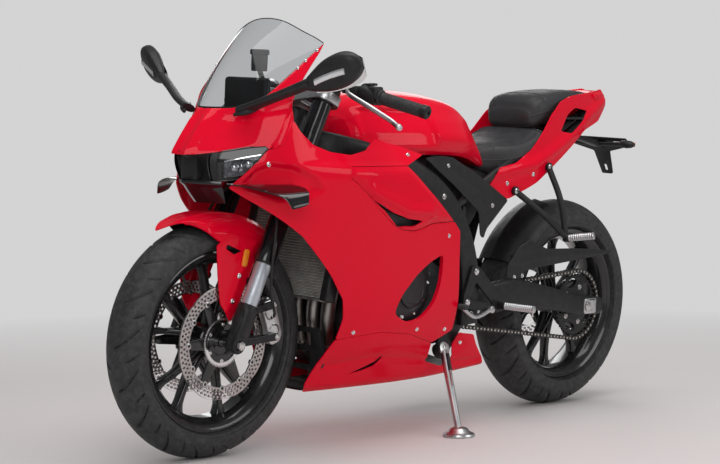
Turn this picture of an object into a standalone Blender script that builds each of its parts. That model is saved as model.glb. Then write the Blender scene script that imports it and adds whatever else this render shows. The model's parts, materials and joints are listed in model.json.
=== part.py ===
"""Faired sport bike on its side stand, as separate named solids.

Lengths are metres. Every piece is modelled in the upright bike frame: x forwards, y to the rider's
left, z up, with the origin on the ground midway between the axles. At the end the whole bike leans
onto its side stand, and its bounding box is centred over the origin.
"""

import math

import bmesh
import bpy
from mathutils import Euler, Matrix, Vector

# Stance
LEAN = math.radians(4.0)
WHEELBASE = 1.405
RAKE = math.radians(24.5)
TRAIL = 0.098
GAP = 0.0003
RUNNING_GAP = 0.0006

# Wheels
RIM_SEAT_R = 0.2159
RIM_LIP_R = 0.229
RIM_LIP_T = 0.005
FRONT = {"x": WHEELBASE / 2, "r": 0.300, "width": 0.120, "crown": 0.0625, "rim_width": 0.094}
REAR = {"x": -WHEELBASE / 2, "r": 0.313, "width": 0.158, "crown": 0.088, "rim_width": 0.120}
TYRE_STEPS = 44
RIM_STEPS = 24
SPOKE_PAIRS = 5
SPOKE_SPREAD = math.radians(11.0)
HUB_R = 0.036
AXLE_R = 0.011

# Brakes
DISC_R = 0.145
DISC_BAND = 0.034
DISC_T = 0.0045
DISC_Y = 0.064
DISC_WAVES = 8
REAR_DISC_R = 0.110
REAR_DISC_BAND = 0.026
REAR_CARRIER_Y = 0.082
CARRIER_T = 0.006
CARRIER_ARMS = 6
CARRIER_LAP = 0.006
CARRIER_ROOT_R = 0.052
CALIPER_GAP = 0.0055
CALIPER_AT = Vector((-0.1400, 0, 0.0470))
CALIPER_HALF = Vector((0.024, 0.0297, 0.058))
CALIPER_FACE_Y = DISC_Y + CALIPER_HALF.y

# Fork
FORK_Y = 0.106
STANCHION_R = 0.0205
FORK_TUBE_R = 0.027
FORK_TOP_Z = 0.945
TUBE_FOOT_Z = 0.500
FORK_FOOT_TOP_Z = 0.385
LOWER_YOKE_Z = 0.715
UPPER_YOKE_Z = 0.915
YOKE_T = 0.026
STEM_R = 0.014

# Bodywork
PANEL_T = 0.004
SEAM = 0.0008
SCREEN_T = 0.003
FENDER_T = 0.0035
GUARD_T = 0.0035

# Final drive
REAR_HUB_HALF = 0.088
SPROCKET_T = 0.006
CHAIN_Y = 0.0913
CHAIN_W = 0.018
CHAIN_PITCH = 0.0159
CHAIN_H = 0.015
SPROCKET_R = 0.103
DRIVE_R = 0.038
DRIVE_X = -0.075
DRIVE_Z = 0.335

# Swingarm and stand
PIVOT_X = -0.165
PIVOT_Z = 0.340
PIVOT_R = 0.012
ARM_Y = 0.124
ARM_T = 0.028
STAND_PIVOT = Vector((-0.040, 0.150, 0.238))
STAND_FOOT = Vector((0.018, 0.268, 0.268 * math.tan(LEAN)))
STAND_AXIS = Vector((0, 0.925, 0.379)).normalized()
STAND_FOOT_R = 0.044
STAND_FOOT_T = 0.028
STAND_EYE_R = 0.019

FORK_DIR = Vector((-math.sin(RAKE), 0, math.cos(RAKE)))
FORK_ACROSS = Vector((math.cos(RAKE), 0, math.sin(RAKE)))
STEER_GROUND = Vector((FRONT["x"] + TRAIL, 0, 0))
FRONT_HUB = Vector((FRONT["x"], 0, FRONT["r"]))
REAR_HUB = Vector((REAR["x"], 0, REAR["r"]))
FORK_OFFSET = (FRONT_HUB - STEER_GROUND).dot(FORK_ACROSS)
REAR_DISC_Y = -(REAR_CARRIER_Y + CARRIER_T / 2 + GAP + DISC_T / 2)

# Half widths of the side bodywork at stations along x (rows) and levels of z (columns).
WIDTH_LEVELS = (0.135, 0.200, 0.280, 0.360, 0.460, 0.580, 0.680, 0.740, 0.800, 0.900)
WIDTH_STATIONS = {
    0.780: (0.040, 0.050, 0.055, 0.060, 0.060, 0.060, 0.060, 0.060, 0.060, 0.055),
    0.740: (0.050, 0.062, 0.075, 0.080, 0.085, 0.090, 0.094, 0.094, 0.094, 0.080),
    0.700: (0.060, 0.075, 0.095, 0.105, 0.112, 0.122, 0.130, 0.132, 0.128, 0.110),
    0.660: (0.065, 0.083, 0.105, 0.118, 0.134, 0.152, 0.164, 0.165, 0.158, 0.140),
    0.620: (0.070, 0.090, 0.115, 0.130, 0.155, 0.176, 0.188, 0.190, 0.182, 0.165),
    0.520: (0.072, 0.098, 0.130, 0.160, 0.190, 0.205, 0.218, 0.220, 0.200, 0.175),
    0.420: (0.078, 0.105, 0.152, 0.182, 0.202, 0.222, 0.238, 0.240, 0.202, 0.170),
    0.300: (0.092, 0.120, 0.168, 0.198, 0.216, 0.232, 0.244, 0.240, 0.198, 0.160),
    0.150: (0.105, 0.132, 0.176, 0.206, 0.220, 0.230, 0.236, 0.224, 0.186, 0.150),
    0.000: (0.112, 0.138, 0.172, 0.200, 0.212, 0.216, 0.218, 0.204, 0.174, 0.140),
    -0.130: (0.112, 0.136, 0.165, 0.190, 0.202, 0.206, 0.206, 0.192, 0.164, 0.132),
    -0.260: (0.110, 0.132, 0.155, 0.180, 0.194, 0.198, 0.196, 0.182, 0.156, 0.126),
}

# Nose and screen surface by level: z, centre x, half width, sweep back at the side, bluntness.
NOSE_LEVELS = (
    (0.640, 0.745, 0.130, 0.110, 1.3),
    (0.700, 0.797, 0.172, 0.160, 1.3),
    (0.765, 0.821, 0.186, 0.188, 1.3),
    (0.800, 0.800, 0.188, 0.183, 1.35),
    (0.840, 0.770, 0.186, 0.165, 1.4),
    (0.884, 0.735, 0.181, 0.142, 1.5),
    (0.940, 0.697, 0.176, 0.128, 1.6),
    (1.000, 0.650, 0.173, 0.117, 1.7),
    (1.060, 0.592, 0.168, 0.102, 1.8),
    (1.116, 0.529, 0.160, 0.085, 2.0),
)


def empty_scene():
    for obj in list(bpy.data.objects):
        bpy.data.objects.remove(obj)


def new_collection(name):
    made = bpy.data.collections.new(name)
    bpy.context.scene.collection.children.link(made)
    return made


def new_material(name, colour, roughness, metallic=0.0, alpha=1.0):
    made = bpy.data.materials.new(name)
    made.use_nodes = True
    shader = made.node_tree.nodes["Principled BSDF"]
    shader.inputs["Base Color"].default_value = (*colour, 1.0)
    shader.inputs["Roughness"].default_value = roughness
    shader.inputs["Metallic"].default_value = metallic
    shader.inputs["Alpha"].default_value = alpha
    made.diffuse_color = (*colour, alpha)
    return made


empty_scene()
PARTS = new_collection("sport_bike")
MATERIALS = {
    "red_paint": new_material("red_paint", (0.72, 0.005, 0.016), 0.22),
    "black_plastic": new_material("black_plastic", (0.018, 0.018, 0.020), 0.5),
    "tyre_rubber": new_material("tyre_rubber", (0.022, 0.022, 0.023), 0.8),
    "wheel_black": new_material("wheel_black", (0.010, 0.010, 0.011), 0.25, 0.3),
    "frame_black": new_material("frame_black", (0.020, 0.020, 0.022), 0.45, 0.3),
    "disc_steel": new_material("disc_steel", (0.42, 0.40, 0.39), 0.35, 1.0),
    "bright_steel": new_material("bright_steel", (0.62, 0.62, 0.63), 0.25, 1.0),
    "exhaust_steel": new_material("exhaust_steel", (0.45, 0.42, 0.38), 0.3, 1.0),
    "alloy": new_material("alloy", (0.66, 0.66, 0.67), 0.35, 1.0),
    "engine_grey": new_material("engine_grey", (0.045, 0.045, 0.048), 0.5, 0.4),
    "chain_steel": new_material("chain_steel", (0.20, 0.16, 0.11), 0.4, 1.0),
    "seat_vinyl": new_material("seat_vinyl", (0.028, 0.028, 0.030), 0.65),
    "screen": new_material("screen", (0.55, 0.57, 0.58), 0.05, 0.0, 0.3),
    "lamp_lens": new_material("lamp_lens", (0.30, 0.32, 0.34), 0.08),
    "tail_lens": new_material("tail_lens", (0.35, 0.01, 0.01), 0.15),
    "radiator_grey": new_material("radiator_grey", (0.10, 0.095, 0.085), 0.5, 0.5),
}


def empty_at(name, point, parent=None):
    made = bpy.data.objects.new(name, None)
    PARTS.objects.link(made)
    made.location = point
    made.parent = parent
    bpy.context.view_layer.update()
    return made


BIKE = empty_at("bike", (0, 0, 0))
STEERING = empty_at("steering_axis", STEER_GROUND + FORK_DIR * 0.8, BIKE)
STEERING.matrix_parent_inverse = Matrix.Identity(4)
FRONT_SPIN = empty_at("front_wheel_axis", FRONT_HUB, BIKE)
REAR_SPIN = empty_at("rear_wheel_axis", REAR_HUB, BIKE)
STAND_HINGE = empty_at("stand_axis", STAND_PIVOT, BIKE)


def ride(obj, holder):
    """Parents a piece that is already in place to the empty on its joint's axis."""
    bpy.context.view_layer.update()
    obj.parent = holder
    obj.matrix_parent_inverse = holder.matrix_world.inverted()
    return obj


def finish(obj, name, material, holder=None, smooth=math.radians(32)):
    """Names, colours and parents a finished mesh piece."""
    bm = bmesh.new()
    bm.from_mesh(obj.data)
    bmesh.ops.dissolve_limit(bm, angle_limit=math.radians(0.4), verts=bm.verts, edges=bm.edges)
    bm.to_mesh(obj.data)
    bm.free()
    obj.name = name
    obj.data.name = name
    obj.data.materials.clear()
    obj.data.materials.append(MATERIALS[material])
    obj.data.shade_smooth()
    obj.data.set_sharp_from_angle(angle=smooth)
    return ride(obj, holder or BIKE)


def mesh_object(bm, name="shape"):
    bmesh.ops.recalc_face_normals(bm, faces=bm.faces)
    mesh = bpy.data.meshes.new(name)
    bm.to_mesh(mesh)
    bm.free()
    obj = bpy.data.objects.new(name, mesh)
    PARTS.objects.link(obj)
    return obj


def baked(obj):
    """The object with its modifiers applied; a curve becomes a welded mesh."""
    bpy.context.view_layer.update()
    graph = bpy.context.evaluated_depsgraph_get()
    mesh = bpy.data.meshes.new_from_object(obj.evaluated_get(graph))
    if obj.type == "MESH":
        obj.modifiers.clear()
        obj.data = mesh
        return obj
    made = bpy.data.objects.new(obj.name, mesh)
    PARTS.objects.link(made)
    made.matrix_world = obj.matrix_world
    bm = bmesh.new()
    bm.from_mesh(mesh)
    bmesh.ops.remove_doubles(bm, verts=bm.verts, dist=0.00005)
    bmesh.ops.recalc_face_normals(bm, faces=bm.faces)
    bm.to_mesh(mesh)
    bm.free()
    bpy.data.objects.remove(obj)
    return made


def combine(base, others, operation):
    """Joins, cuts or intersects a piece with others, which are then removed."""
    for other in others:
        step = base.modifiers.new(operation, "BOOLEAN")
        step.operation = operation
        step.object = other
        baked(base)
        bpy.data.objects.remove(other)
    return base


def fit_around(piece, others, gap=GAP):
    """Cuts a piece where others lie, so that it seats on them with an even gap."""
    for other in others:
        bpy.context.view_layer.update()
        grown = bpy.data.objects.new("grown", other.data.copy())
        grown.data.transform(other.matrix_world)
        PARTS.objects.link(grown)
        swell = grown.modifiers.new("Gap", "DISPLACE")
        swell.strength = gap
        swell.mid_level = 0.0
        baked(grown)
        combine(piece, [grown], "DIFFERENCE")
    return piece


def loft(rings, caps=True):
    """A closed skin through rings of equal length."""
    bm = bmesh.new()
    made = [[bm.verts.new(point) for point in ring] for ring in rings]
    count = len(rings[0])
    for near, far in zip(made, made[1:]):
        for i in range(count):
            j = (i + 1) % count
            bm.faces.new((near[i], near[j], far[j], far[i]))
    if caps:
        bm.faces.new(made[0])
        bm.faces.new(made[-1])
    else:
        for i in range(count):
            j = (i + 1) % count
            bm.faces.new((made[-1][i], made[-1][j], made[0][j], made[0][i]))
    return mesh_object(bm)


def shell(rows, thickness, offset=-1.0):
    """A surface through rows of points, thickened to a wall."""
    bm = bmesh.new()
    made = [[bm.verts.new(point) for point in row] for row in rows]
    for near, far in zip(made, made[1:]):
        for i in range(len(near) - 1):
            bm.faces.new((near[i], near[i + 1], far[i + 1], far[i]))
    obj = mesh_object(bm)
    wall = obj.modifiers.new("Wall", "SOLIDIFY")
    wall.thickness = thickness
    wall.offset = offset
    wall.use_even_offset = True
    return baked(obj)


def tube(points, radius, sides=2):
    """A round bar along points; sides is the bevel resolution."""
    data = bpy.data.curves.new("bar", "CURVE")
    data.dimensions = "3D"
    data.bevel_depth = radius
    data.bevel_resolution = sides
    data.use_fill_caps = True
    spline = data.splines.new("POLY")
    spline.points.add(len(points) - 1)
    for point, place in zip(spline.points, points):
        point.co = (*place, 1)
    obj = bpy.data.objects.new("bar", data)
    PARTS.objects.link(obj)
    return baked(obj)


def smooth_path(points, per_span=4):
    """A Catmull-Rom path through the points."""
    ends = [points[0], *points, points[-1]]
    path = []
    for a, b, c, d in zip(ends, ends[1:], ends[2:], ends[3:]):
        a, b, c, d = Vector(a), Vector(b), Vector(c), Vector(d)
        for i in range(per_span):
            t = i / per_span
            path.append(
                0.5 * (2 * b + (c - a) * t + (2 * a - 5 * b + 4 * c - d) * t * t
                       + (3 * b - a - 3 * c + d) * t ** 3)
            )
    return [*path, Vector(points[-1])]


def plate(outlines, y, thickness, holder_matrix=None, bevel=0.0):
    """Flat outlines in x and z (the first is the edge, the rest are holes), centred on y."""
    data = bpy.data.curves.new("outline", "CURVE")
    data.dimensions = "2D"
    data.fill_mode = "BOTH"
    data.extrude = thickness / 2
    for outline in outlines:
        spline = data.splines.new("POLY")
        spline.use_cyclic_u = True
        spline.points.add(len(outline) - 1)
        for point, (px, pz) in zip(spline.points, outline):
            point.co = (px, pz, 0, 1)
    obj = bpy.data.objects.new("outline", data)
    PARTS.objects.link(obj)
    obj.matrix_world = holder_matrix or Matrix.Translation((0, y, 0)) @ Matrix.Rotation(
        math.pi / 2, 4, "X"
    )
    made = baked(obj)
    if bevel:
        edge = made.modifiers.new("Edge", "BEVEL")
        edge.width = bevel
        edge.segments = 1
        edge.angle_limit = math.radians(50)
        baked(made)
    return made


def turned(profile, steps, centre):
    """A ring turned about the y axis from a closed profile of (radius, y), outer side first."""
    bm = bmesh.new()
    made = [bm.verts.new((r, 0, y)) for r, y in profile]
    for a, b in zip(made, made[1:] + made[:1]):
        bm.edges.new((a, b))
    mesh = bpy.data.meshes.new("ring")
    bm.to_mesh(mesh)
    bm.free()
    obj = bpy.data.objects.new("ring", mesh)
    PARTS.objects.link(obj)
    screw = obj.modifiers.new("Turn", "SCREW")
    screw.steps = screw.render_steps = steps
    screw.use_merge_vertices = True
    screw.merge_threshold = 0.0001
    screw.use_normal_calculate = True
    obj.rotation_euler = (-math.pi / 2, 0, 0)
    obj.location = centre
    baked(obj)
    bm = bmesh.new()
    bm.from_mesh(obj.data)
    bmesh.ops.recalc_face_normals(bm, faces=bm.faces)
    bm.to_mesh(obj.data)
    bm.free()
    return obj


def rod(start, end, radius, steps=24, end_radius=None):
    """A cylinder or cone between two points."""
    start, end = Vector(start), Vector(end)
    bm = bmesh.new()
    bmesh.ops.create_cone(
        bm, cap_ends=True, segments=steps, radius1=radius,
        radius2=radius if end_radius is None else end_radius, depth=(end - start).length,
    )
    obj = mesh_object(bm)
    obj.rotation_mode = "QUATERNION"
    obj.rotation_quaternion = (end - start).to_track_quat("Z", "Y")
    obj.location = (start + end) / 2
    bpy.context.view_layer.update()
    return obj


def block(low, high, bevel=0.0, turn=None):
    """A box between two corners, with its edges broken by bevel."""
    low, high = Vector(low), Vector(high)
    bm = bmesh.new()
    bmesh.ops.create_cube(bm, size=1.0)
    bmesh.ops.scale(bm, vec=high - low, verts=bm.verts)
    obj = mesh_object(bm)
    if bevel:
        edge = obj.modifiers.new("Edge", "BEVEL")
        edge.width = bevel
        edge.segments = 1
        baked(obj)
    if turn is not None:
        obj.rotation_mode = "QUATERNION"
        obj.rotation_quaternion = turn
    obj.location = (low + high) / 2
    bpy.context.view_layer.update()
    return obj


def other_side(obj):
    """A copy of the piece on the other side of the bike."""
    bpy.context.view_layer.update()
    mesh = obj.data.copy()
    mesh.transform(Matrix.Scale(-1, 4, (0, 1, 0)) @ obj.matrix_world)
    mesh.flip_normals()
    made = bpy.data.objects.new("other_side", mesh)
    PARTS.objects.link(made)
    return made


def mirrored(obj, name, material, holder=None):
    """The same piece on the other side of the bike, as a part of its own."""
    return finish(other_side(obj), name, material, holder)


def at_fork(z, across=0.0, y=0.0):
    """A point on the fork leg's centre line at height z, moved across the fork and sideways."""
    along = (z - FRONT_HUB.z) / math.cos(RAKE)
    return FRONT_HUB + FORK_DIR * along + FORK_ACROSS * across + Vector((0, y, 0))


def blend_rows(table, key):
    """The row of a table of tuples at a key between its keys, linearly."""
    keys = sorted(table)
    key = min(max(key, keys[0]), keys[-1])
    for low, high in zip(keys, keys[1:]):
        if key <= high:
            t = (key - low) / (high - low)
            return [a + (b - a) * t for a, b in zip(table[low], table[high])]
    return list(table[keys[-1]])


def side_width(x, z):
    """Half width of the side bodywork's outer face at x and z."""
    row = blend_rows(WIDTH_STATIONS, x)
    levels = {level: (width,) for level, width in zip(WIDTH_LEVELS, row)}
    return blend_rows(levels, z)[0]


def nose_point(z, across, inset=0.0):
    """A point of the nose and screen surface; across runs from -1 at the right to 1 at the left."""
    levels = {row[0]: row[1:] for row in NOSE_LEVELS}
    centre, half, sweep, blunt = blend_rows(levels, z)
    x = centre - sweep * abs(across) ** blunt - inset
    return Vector((x, (half - inset * abs(across)) * across, z))


def side_panel(outline, windows=(), thickness=PANEL_T, steps=(14, 9), width=None):
    """A left side panel: the side surface inside an outline of (x, z), less its windows."""
    width = width or side_width
    xs = [x for x, _ in outline]
    zs = [z for _, z in outline]
    margin = 0.01
    x0, x1 = min(xs) - margin, max(xs) + margin
    z0, z1 = min(zs) - margin, max(zs) + margin
    rows = []
    for i in range(steps[0] + 1):
        x = x0 + (x1 - x0) * i / steps[0]
        row = []
        for k in range(steps[1] + 1):
            z = z0 + (z1 - z0) * k / steps[1]
            row.append((x, width(x, z), z))
        rows.append(row)
    inner = [[(x, y - thickness, z) for x, y, z in row] for row in rows]
    bm = bmesh.new()
    skins = []
    for skin in (rows, inner):
        skins.append([[bm.verts.new(point) for point in row] for row in skin])
    last_i, last_k = steps
    for skin, turn in zip(skins, (1, -1)):
        for i in range(last_i):
            for k in range(last_k):
                face = (skin[i][k], skin[i + 1][k], skin[i + 1][k + 1], skin[i][k + 1])
                bm.faces.new(face[::turn])
    outer_skin, inner_skin = skins
    rim = [(i, 0) for i in range(last_i)] + [(last_i, k) for k in range(last_k)]
    rim += [(i, last_k) for i in range(last_i, 0, -1)] + [(0, k) for k in range(last_k, 0, -1)]
    for (i, k), (m, n) in zip(rim, rim[1:] + rim[:1]):
        bm.faces.new((outer_skin[i][k], inner_skin[i][k], inner_skin[m][n], outer_skin[m][n]))
    panel = mesh_object(bm)
    combine(panel, [plate([outline], 0.2, 0.36)], "INTERSECT")
    return combine(panel, [plate([window], 0.2, 0.36) for window in windows], "DIFFERENCE")


# Wheels


def tyre_profile(wheel):
    """Closed (radius, y) profile: the crown as one arc, two sidewalls and the beads."""
    bead_y = wheel["rim_width"] / 2 - RIM_LIP_T - GAP
    half = wheel["width"] / 2
    crown = wheel["crown"]
    reach = math.asin(0.97 * half / crown)
    arcs = 3
    side = [
        (wheel["r"] - crown * (1 - math.cos(reach * i / arcs)), crown * math.sin(reach * i / arcs))
        for i in range(arcs + 1)
    ]
    side += [
        (RIM_LIP_R + 0.016, half - 0.1 * (half - bead_y)),
        (RIM_LIP_R + GAP, bead_y),
        (RIM_SEAT_R + GAP, bead_y),
    ]
    return [*reversed(side), *((r, -y) for r, y in side[1:])]


def rim_profile(wheel):
    """Closed (radius, y) profile of the rim's barrel, lips and drop centre."""
    half = wheel["rim_width"] / 2
    seat = half - RIM_LIP_T
    left = [
        (RIM_LIP_R, half),
        (RIM_LIP_R, seat),
        (RIM_SEAT_R, seat),
        (RIM_SEAT_R - 0.016, 0.40 * half),
    ]
    inner = [(RIM_SEAT_R - 0.021, 0.42 * half), (RIM_SEAT_R - 0.004, 0.86 * half)]
    right = [(r, -y) for r, y in reversed(left)]
    return [*left, *right, *((r, -y) for r, y in reversed(inner)), *inner]


def spoke(wheel, angle, lean, hub_r, shallow):
    """One cast spoke from the hub to the rim, wider where it meets the barrel."""
    rows = (
        # radius, half breadth, half depth
        (hub_r - 0.006, 0.012, 0.020),
        (0.110, 0.0085, 0.016),
        (0.172, 0.0085, 0.013),
        (RIM_SEAT_R - 0.0188, 0.018, 0.016),
    )
    rings = []
    for r, breadth, full_depth in rows:
        depth = full_depth - shallow
        turn = angle + lean * (r - hub_r) / (RIM_SEAT_R - hub_r)
        out = Vector((math.cos(turn), 0, math.sin(turn)))
        along = Vector((-math.sin(turn), 0, math.cos(turn)))
        centre = out * r
        rings.append([
            centre + along * (breadth * 0.6) + Vector((0, depth, 0)),
            centre + along * breadth,
            centre + along * (breadth * 0.6) - Vector((0, depth, 0)),
            centre - along * (breadth * 0.6) - Vector((0, depth, 0)),
            centre - along * breadth,
            centre - along * (breadth * 0.6) + Vector((0, depth, 0)),
        ])
    made = loft(rings)
    made.location = wheel["hub"]
    bpy.context.view_layer.update()
    return made


def carrier(hub, y, ring_r, thickness, arms, arm_half):
    """Star-shaped disc carrier: a hub ring with arms that end under the brake disc."""
    outline = []
    for i in range(arms):
        middle = 2 * math.pi * i / arms
        tip = math.asin(arm_half / ring_r)
        root = math.asin(min(0.9, 1.5 * arm_half / CARRIER_ROOT_R))
        for angle, r in ((-root, CARRIER_ROOT_R), (-tip, ring_r), (tip, ring_r), (root, CARRIER_ROOT_R)):
            outline.append((r * math.cos(middle + angle), r * math.sin(middle + angle)))
    return plate([outline], 0, thickness, Matrix.Translation(hub + Vector((0, y, 0)))
                 @ Matrix.Rotation(math.pi / 2, 4, "X"))


def wheel_rim(name, wheel, hub_half, carriers):
    """Cast wheel: barrel, paired spokes, hub and disc carriers, bored for its axle."""
    hub = wheel["hub"]
    made = turned(rim_profile(wheel), RIM_STEPS, hub)
    pieces = [rod(hub - Vector((0, hub_half, 0)), hub + Vector((0, hub_half, 0)), HUB_R, 16)]
    for i in range(SPOKE_PAIRS):
        middle = 2 * math.pi * i / SPOKE_PAIRS + wheel["turn"]
        for side in (-1, 1):
            pieces.append(spoke(wheel, middle + side * 0.09, side * SPOKE_SPREAD, HUB_R,
                                0.0004 * (1 + side)))
    for y, ring_r in carriers:
        pieces.append(carrier(hub, y, ring_r, CARRIER_T, CARRIER_ARMS, 0.011))
    combine(made, pieces, "UNION")
    reach = hub_half + 0.05
    bore = rod(hub - Vector((0, reach, 0)), hub + Vector((0, reach, 0)), AXLE_R + RUNNING_GAP, 16)
    combine(made, [bore], "DIFFERENCE")
    return finish(made, name, "wheel_black", wheel["holder"])


def brake_disc(name, hub, y, radius, band, holder, waves=DISC_WAVES):
    """Petal brake disc: a flat ring whose edges follow one wave."""
    steps = waves * 5
    depth = 0.0035

    def edge(r, sign):
        points = []
        for i in range(steps):
            angle = 2 * math.pi * i / steps
            wave = abs(math.sin(waves * angle / 2)) ** 0.5
            distance = r - sign * depth * (1 - wave)
            points.append((distance * math.cos(angle), distance * math.sin(angle)))
        return points

    matrix = Matrix.Translation(hub + Vector((0, y, 0))) @ Matrix.Rotation(math.pi / 2, 4, "X")
    made = plate([edge(radius, 1), edge(radius - band, -1)[::2]], 0, DISC_T, matrix)
    return finish(made, name, "disc_steel", holder)


def sprocket(name, hub, y, radius, holder):
    """Rear sprocket whose teeth run inside the chain's loop."""
    teeth = 41
    tip = radius - CHAIN_H / 2 - 0.0020
    outline = []
    for i in range(teeth):
        for offset, r in ((0.0, tip), (0.5, tip - 0.004)):
            angle = 2 * math.pi * (i + offset) / teeth
            outline.append((r * math.cos(angle), r * math.sin(angle)))
    holes = []
    for i in range(5):
        middle = 2 * math.pi * i / 5
        holes.append([
            ((0.072 + 0.014 * math.sin(a)) * math.cos(middle + 0.34 * math.cos(a)),
             (0.072 + 0.014 * math.sin(a)) * math.sin(middle + 0.34 * math.cos(a)))
            for a in (math.pi * k / 4 for k in range(8))
        ])
    matrix = Matrix.Translation(hub + Vector((0, y, 0))) @ Matrix.Rotation(math.pi / 2, 4, "X")
    made = plate([outline, *holes], 0, SPROCKET_T, matrix)
    bore = rod(hub + Vector((0, y - 0.02, 0)), hub + Vector((0, y + 0.02, 0)), AXLE_R + 0.004, 24)
    combine(made, [bore], "DIFFERENCE")
    return finish(made, name, "chain_steel", holder)


def make_wheels():
    FRONT.update(hub=FRONT_HUB, turn=math.radians(97), holder=FRONT_SPIN)
    REAR.update(hub=REAR_HUB, turn=math.radians(74), holder=REAR_SPIN)
    for name, wheel in (("front_tyre", FRONT), ("rear_tyre", REAR)):
        made = turned(tyre_profile(wheel), TYRE_STEPS, wheel["hub"])
        finish(made, name, "tyre_rubber", wheel["holder"])
    arm_y = DISC_Y - DISC_T / 2 - GAP - CARRIER_T / 2
    ring_r = DISC_R - DISC_BAND + CARRIER_LAP
    wheel_rim("front_wheel_rim", FRONT, arm_y, [(arm_y, ring_r), (-arm_y, ring_r)])
    for name, y in (("front_disc_left", DISC_Y), ("front_disc_right", -DISC_Y)):
        brake_disc(name, FRONT_HUB, y, DISC_R, DISC_BAND, FRONT_SPIN)
    rear_ring_r = REAR_DISC_R - REAR_DISC_BAND + CARRIER_LAP
    wheel_rim("rear_wheel_rim", REAR, REAR_HUB_HALF, [(-REAR_CARRIER_Y, rear_ring_r)])
    brake_disc("rear_disc", REAR_HUB, REAR_DISC_Y, REAR_DISC_R, REAR_DISC_BAND, REAR_SPIN)
    sprocket("rear_sprocket", REAR_HUB, REAR_HUB_HALF + GAP + SPROCKET_T / 2, SPROCKET_R, REAR_SPIN)


# Steered parts


def make_fork():
    for name_end, side in (("left", 1), ("right", -1)):
        y = side * FORK_Y
        leg = rod(at_fork(TUBE_FOOT_Z, 0, y), at_fork(FORK_TOP_Z, 0, y), FORK_TUBE_R, 18)
        outboard = Vector((0, side, 0))
        lug_low, lug_high = FRONT_HUB + CALIPER_AT, at_fork(0.385)
        lug_y = sorted((side * (CALIPER_FACE_Y + GAP), side * (CALIPER_FACE_Y + 0.018)))
        brake_lug = block((lug_low.x - 0.012, lug_y[0], lug_low.z - 0.022),
                          (lug_high.x + 0.006, lug_y[1], lug_low.z + 0.022), 0.003)
        combine(leg, [
            rod(at_fork(TUBE_FOOT_Z, 0, y), at_fork(TUBE_FOOT_Z + 0.035, 0, y), 0.0285, 18),
            rod(at_fork(0.452, 0, side * (FENDER_HALF + 0.0005 + FENDER_T / 2 + GAP)), at_fork(0.452, 0, side * 0.09),
                0.011, 10),
            rod(at_fork(FORK_TOP_Z - 0.004, 0, y), at_fork(FORK_TOP_Z + 0.010, 0, y), 0.020, 6),
            rod(at_fork(FORK_FOOT_TOP_Z - 0.02, 0, y), at_fork(TUBE_FOOT_Z + 0.01, 0, y),
                STANCHION_R, 16),
            rod(at_fork(0.315, 0, y), at_fork(FORK_FOOT_TOP_Z, 0, y), 0.024, 16, 0.026),
            rod(FRONT_HUB + outboard * 0.086, FRONT_HUB + outboard * 0.130, 0.026, 16),
            brake_lug,
        ], "UNION")
        bore = rod(FRONT_HUB + outboard * 0.07, FRONT_HUB + outboard * 0.14, AXLE_R + GAP, 16)
        combine(leg, [bore], "DIFFERENCE")
        finish(leg, "fork_leg_" + name_end, "frame_black", STEERING)
    axle = rod(FRONT_HUB - Vector((0, 0.136, 0)), FRONT_HUB + Vector((0, 0.136, 0)), AXLE_R, 16)
    finish(axle, "front_axle", "bright_steel", STEERING)


def yoke(name, z, material, stem=None):
    """Fork yoke: a plate square to the steering axis, bored for both legs."""
    origin = at_fork(z)
    matrix = Matrix((
        (FORK_ACROSS.x, 0, FORK_DIR.x, origin.x),
        (0, 1, 0, 0),
        (FORK_ACROSS.z, 0, FORK_DIR.z, origin.z),
        (0, 0, 0, 1),
    ))
    reach = FORK_Y + 0.040
    outline = [
        (0.040, -reach + 0.022), (0.024, -0.055), (0.008, 0.0), (0.024, 0.055),
        (0.040, reach - 0.022), (0.022, reach), (-0.022, reach), (-0.040, reach - 0.022),
        (-0.062, 0.045), (-0.066, 0.0), (-0.062, -0.045), (-0.040, -reach + 0.022),
        (-0.022, -reach), (0.022, -reach),
    ]
    made = plate([outline], 0, YOKE_T, matrix)
    holes = [
        rod(at_fork(z - 0.05, 0, side * FORK_Y), at_fork(z + 0.05, 0, side * FORK_Y),
            FORK_TUBE_R + GAP, 18)
        for side in (-1, 1)
    ]
    combine(made, holes, "DIFFERENCE")
    if stem:
        combine(made, [stem], "UNION")
    return finish(made, name, material, STEERING)


def at_stem(z):
    """The point of the steering axis level with the fork legs' centre at height z."""
    return at_fork(z, -FORK_OFFSET)


def make_yokes():
    top = at_stem(UPPER_YOKE_Z) - FORK_DIR * (YOKE_T / 2 + GAP)
    yoke("lower_yoke", LOWER_YOKE_Z, "frame_black", rod(at_stem(LOWER_YOKE_Z), top, STEM_R, 20))
    yoke("upper_yoke", UPPER_YOKE_Z, "alloy")


GRIP_IN = Vector((0.350, 0.235, 0.924))
GRIP_OUT = Vector((0.316, 0.372, 0.891))
BAR_ROOT = Vector((0.392, 0.122, 0.948))


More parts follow.
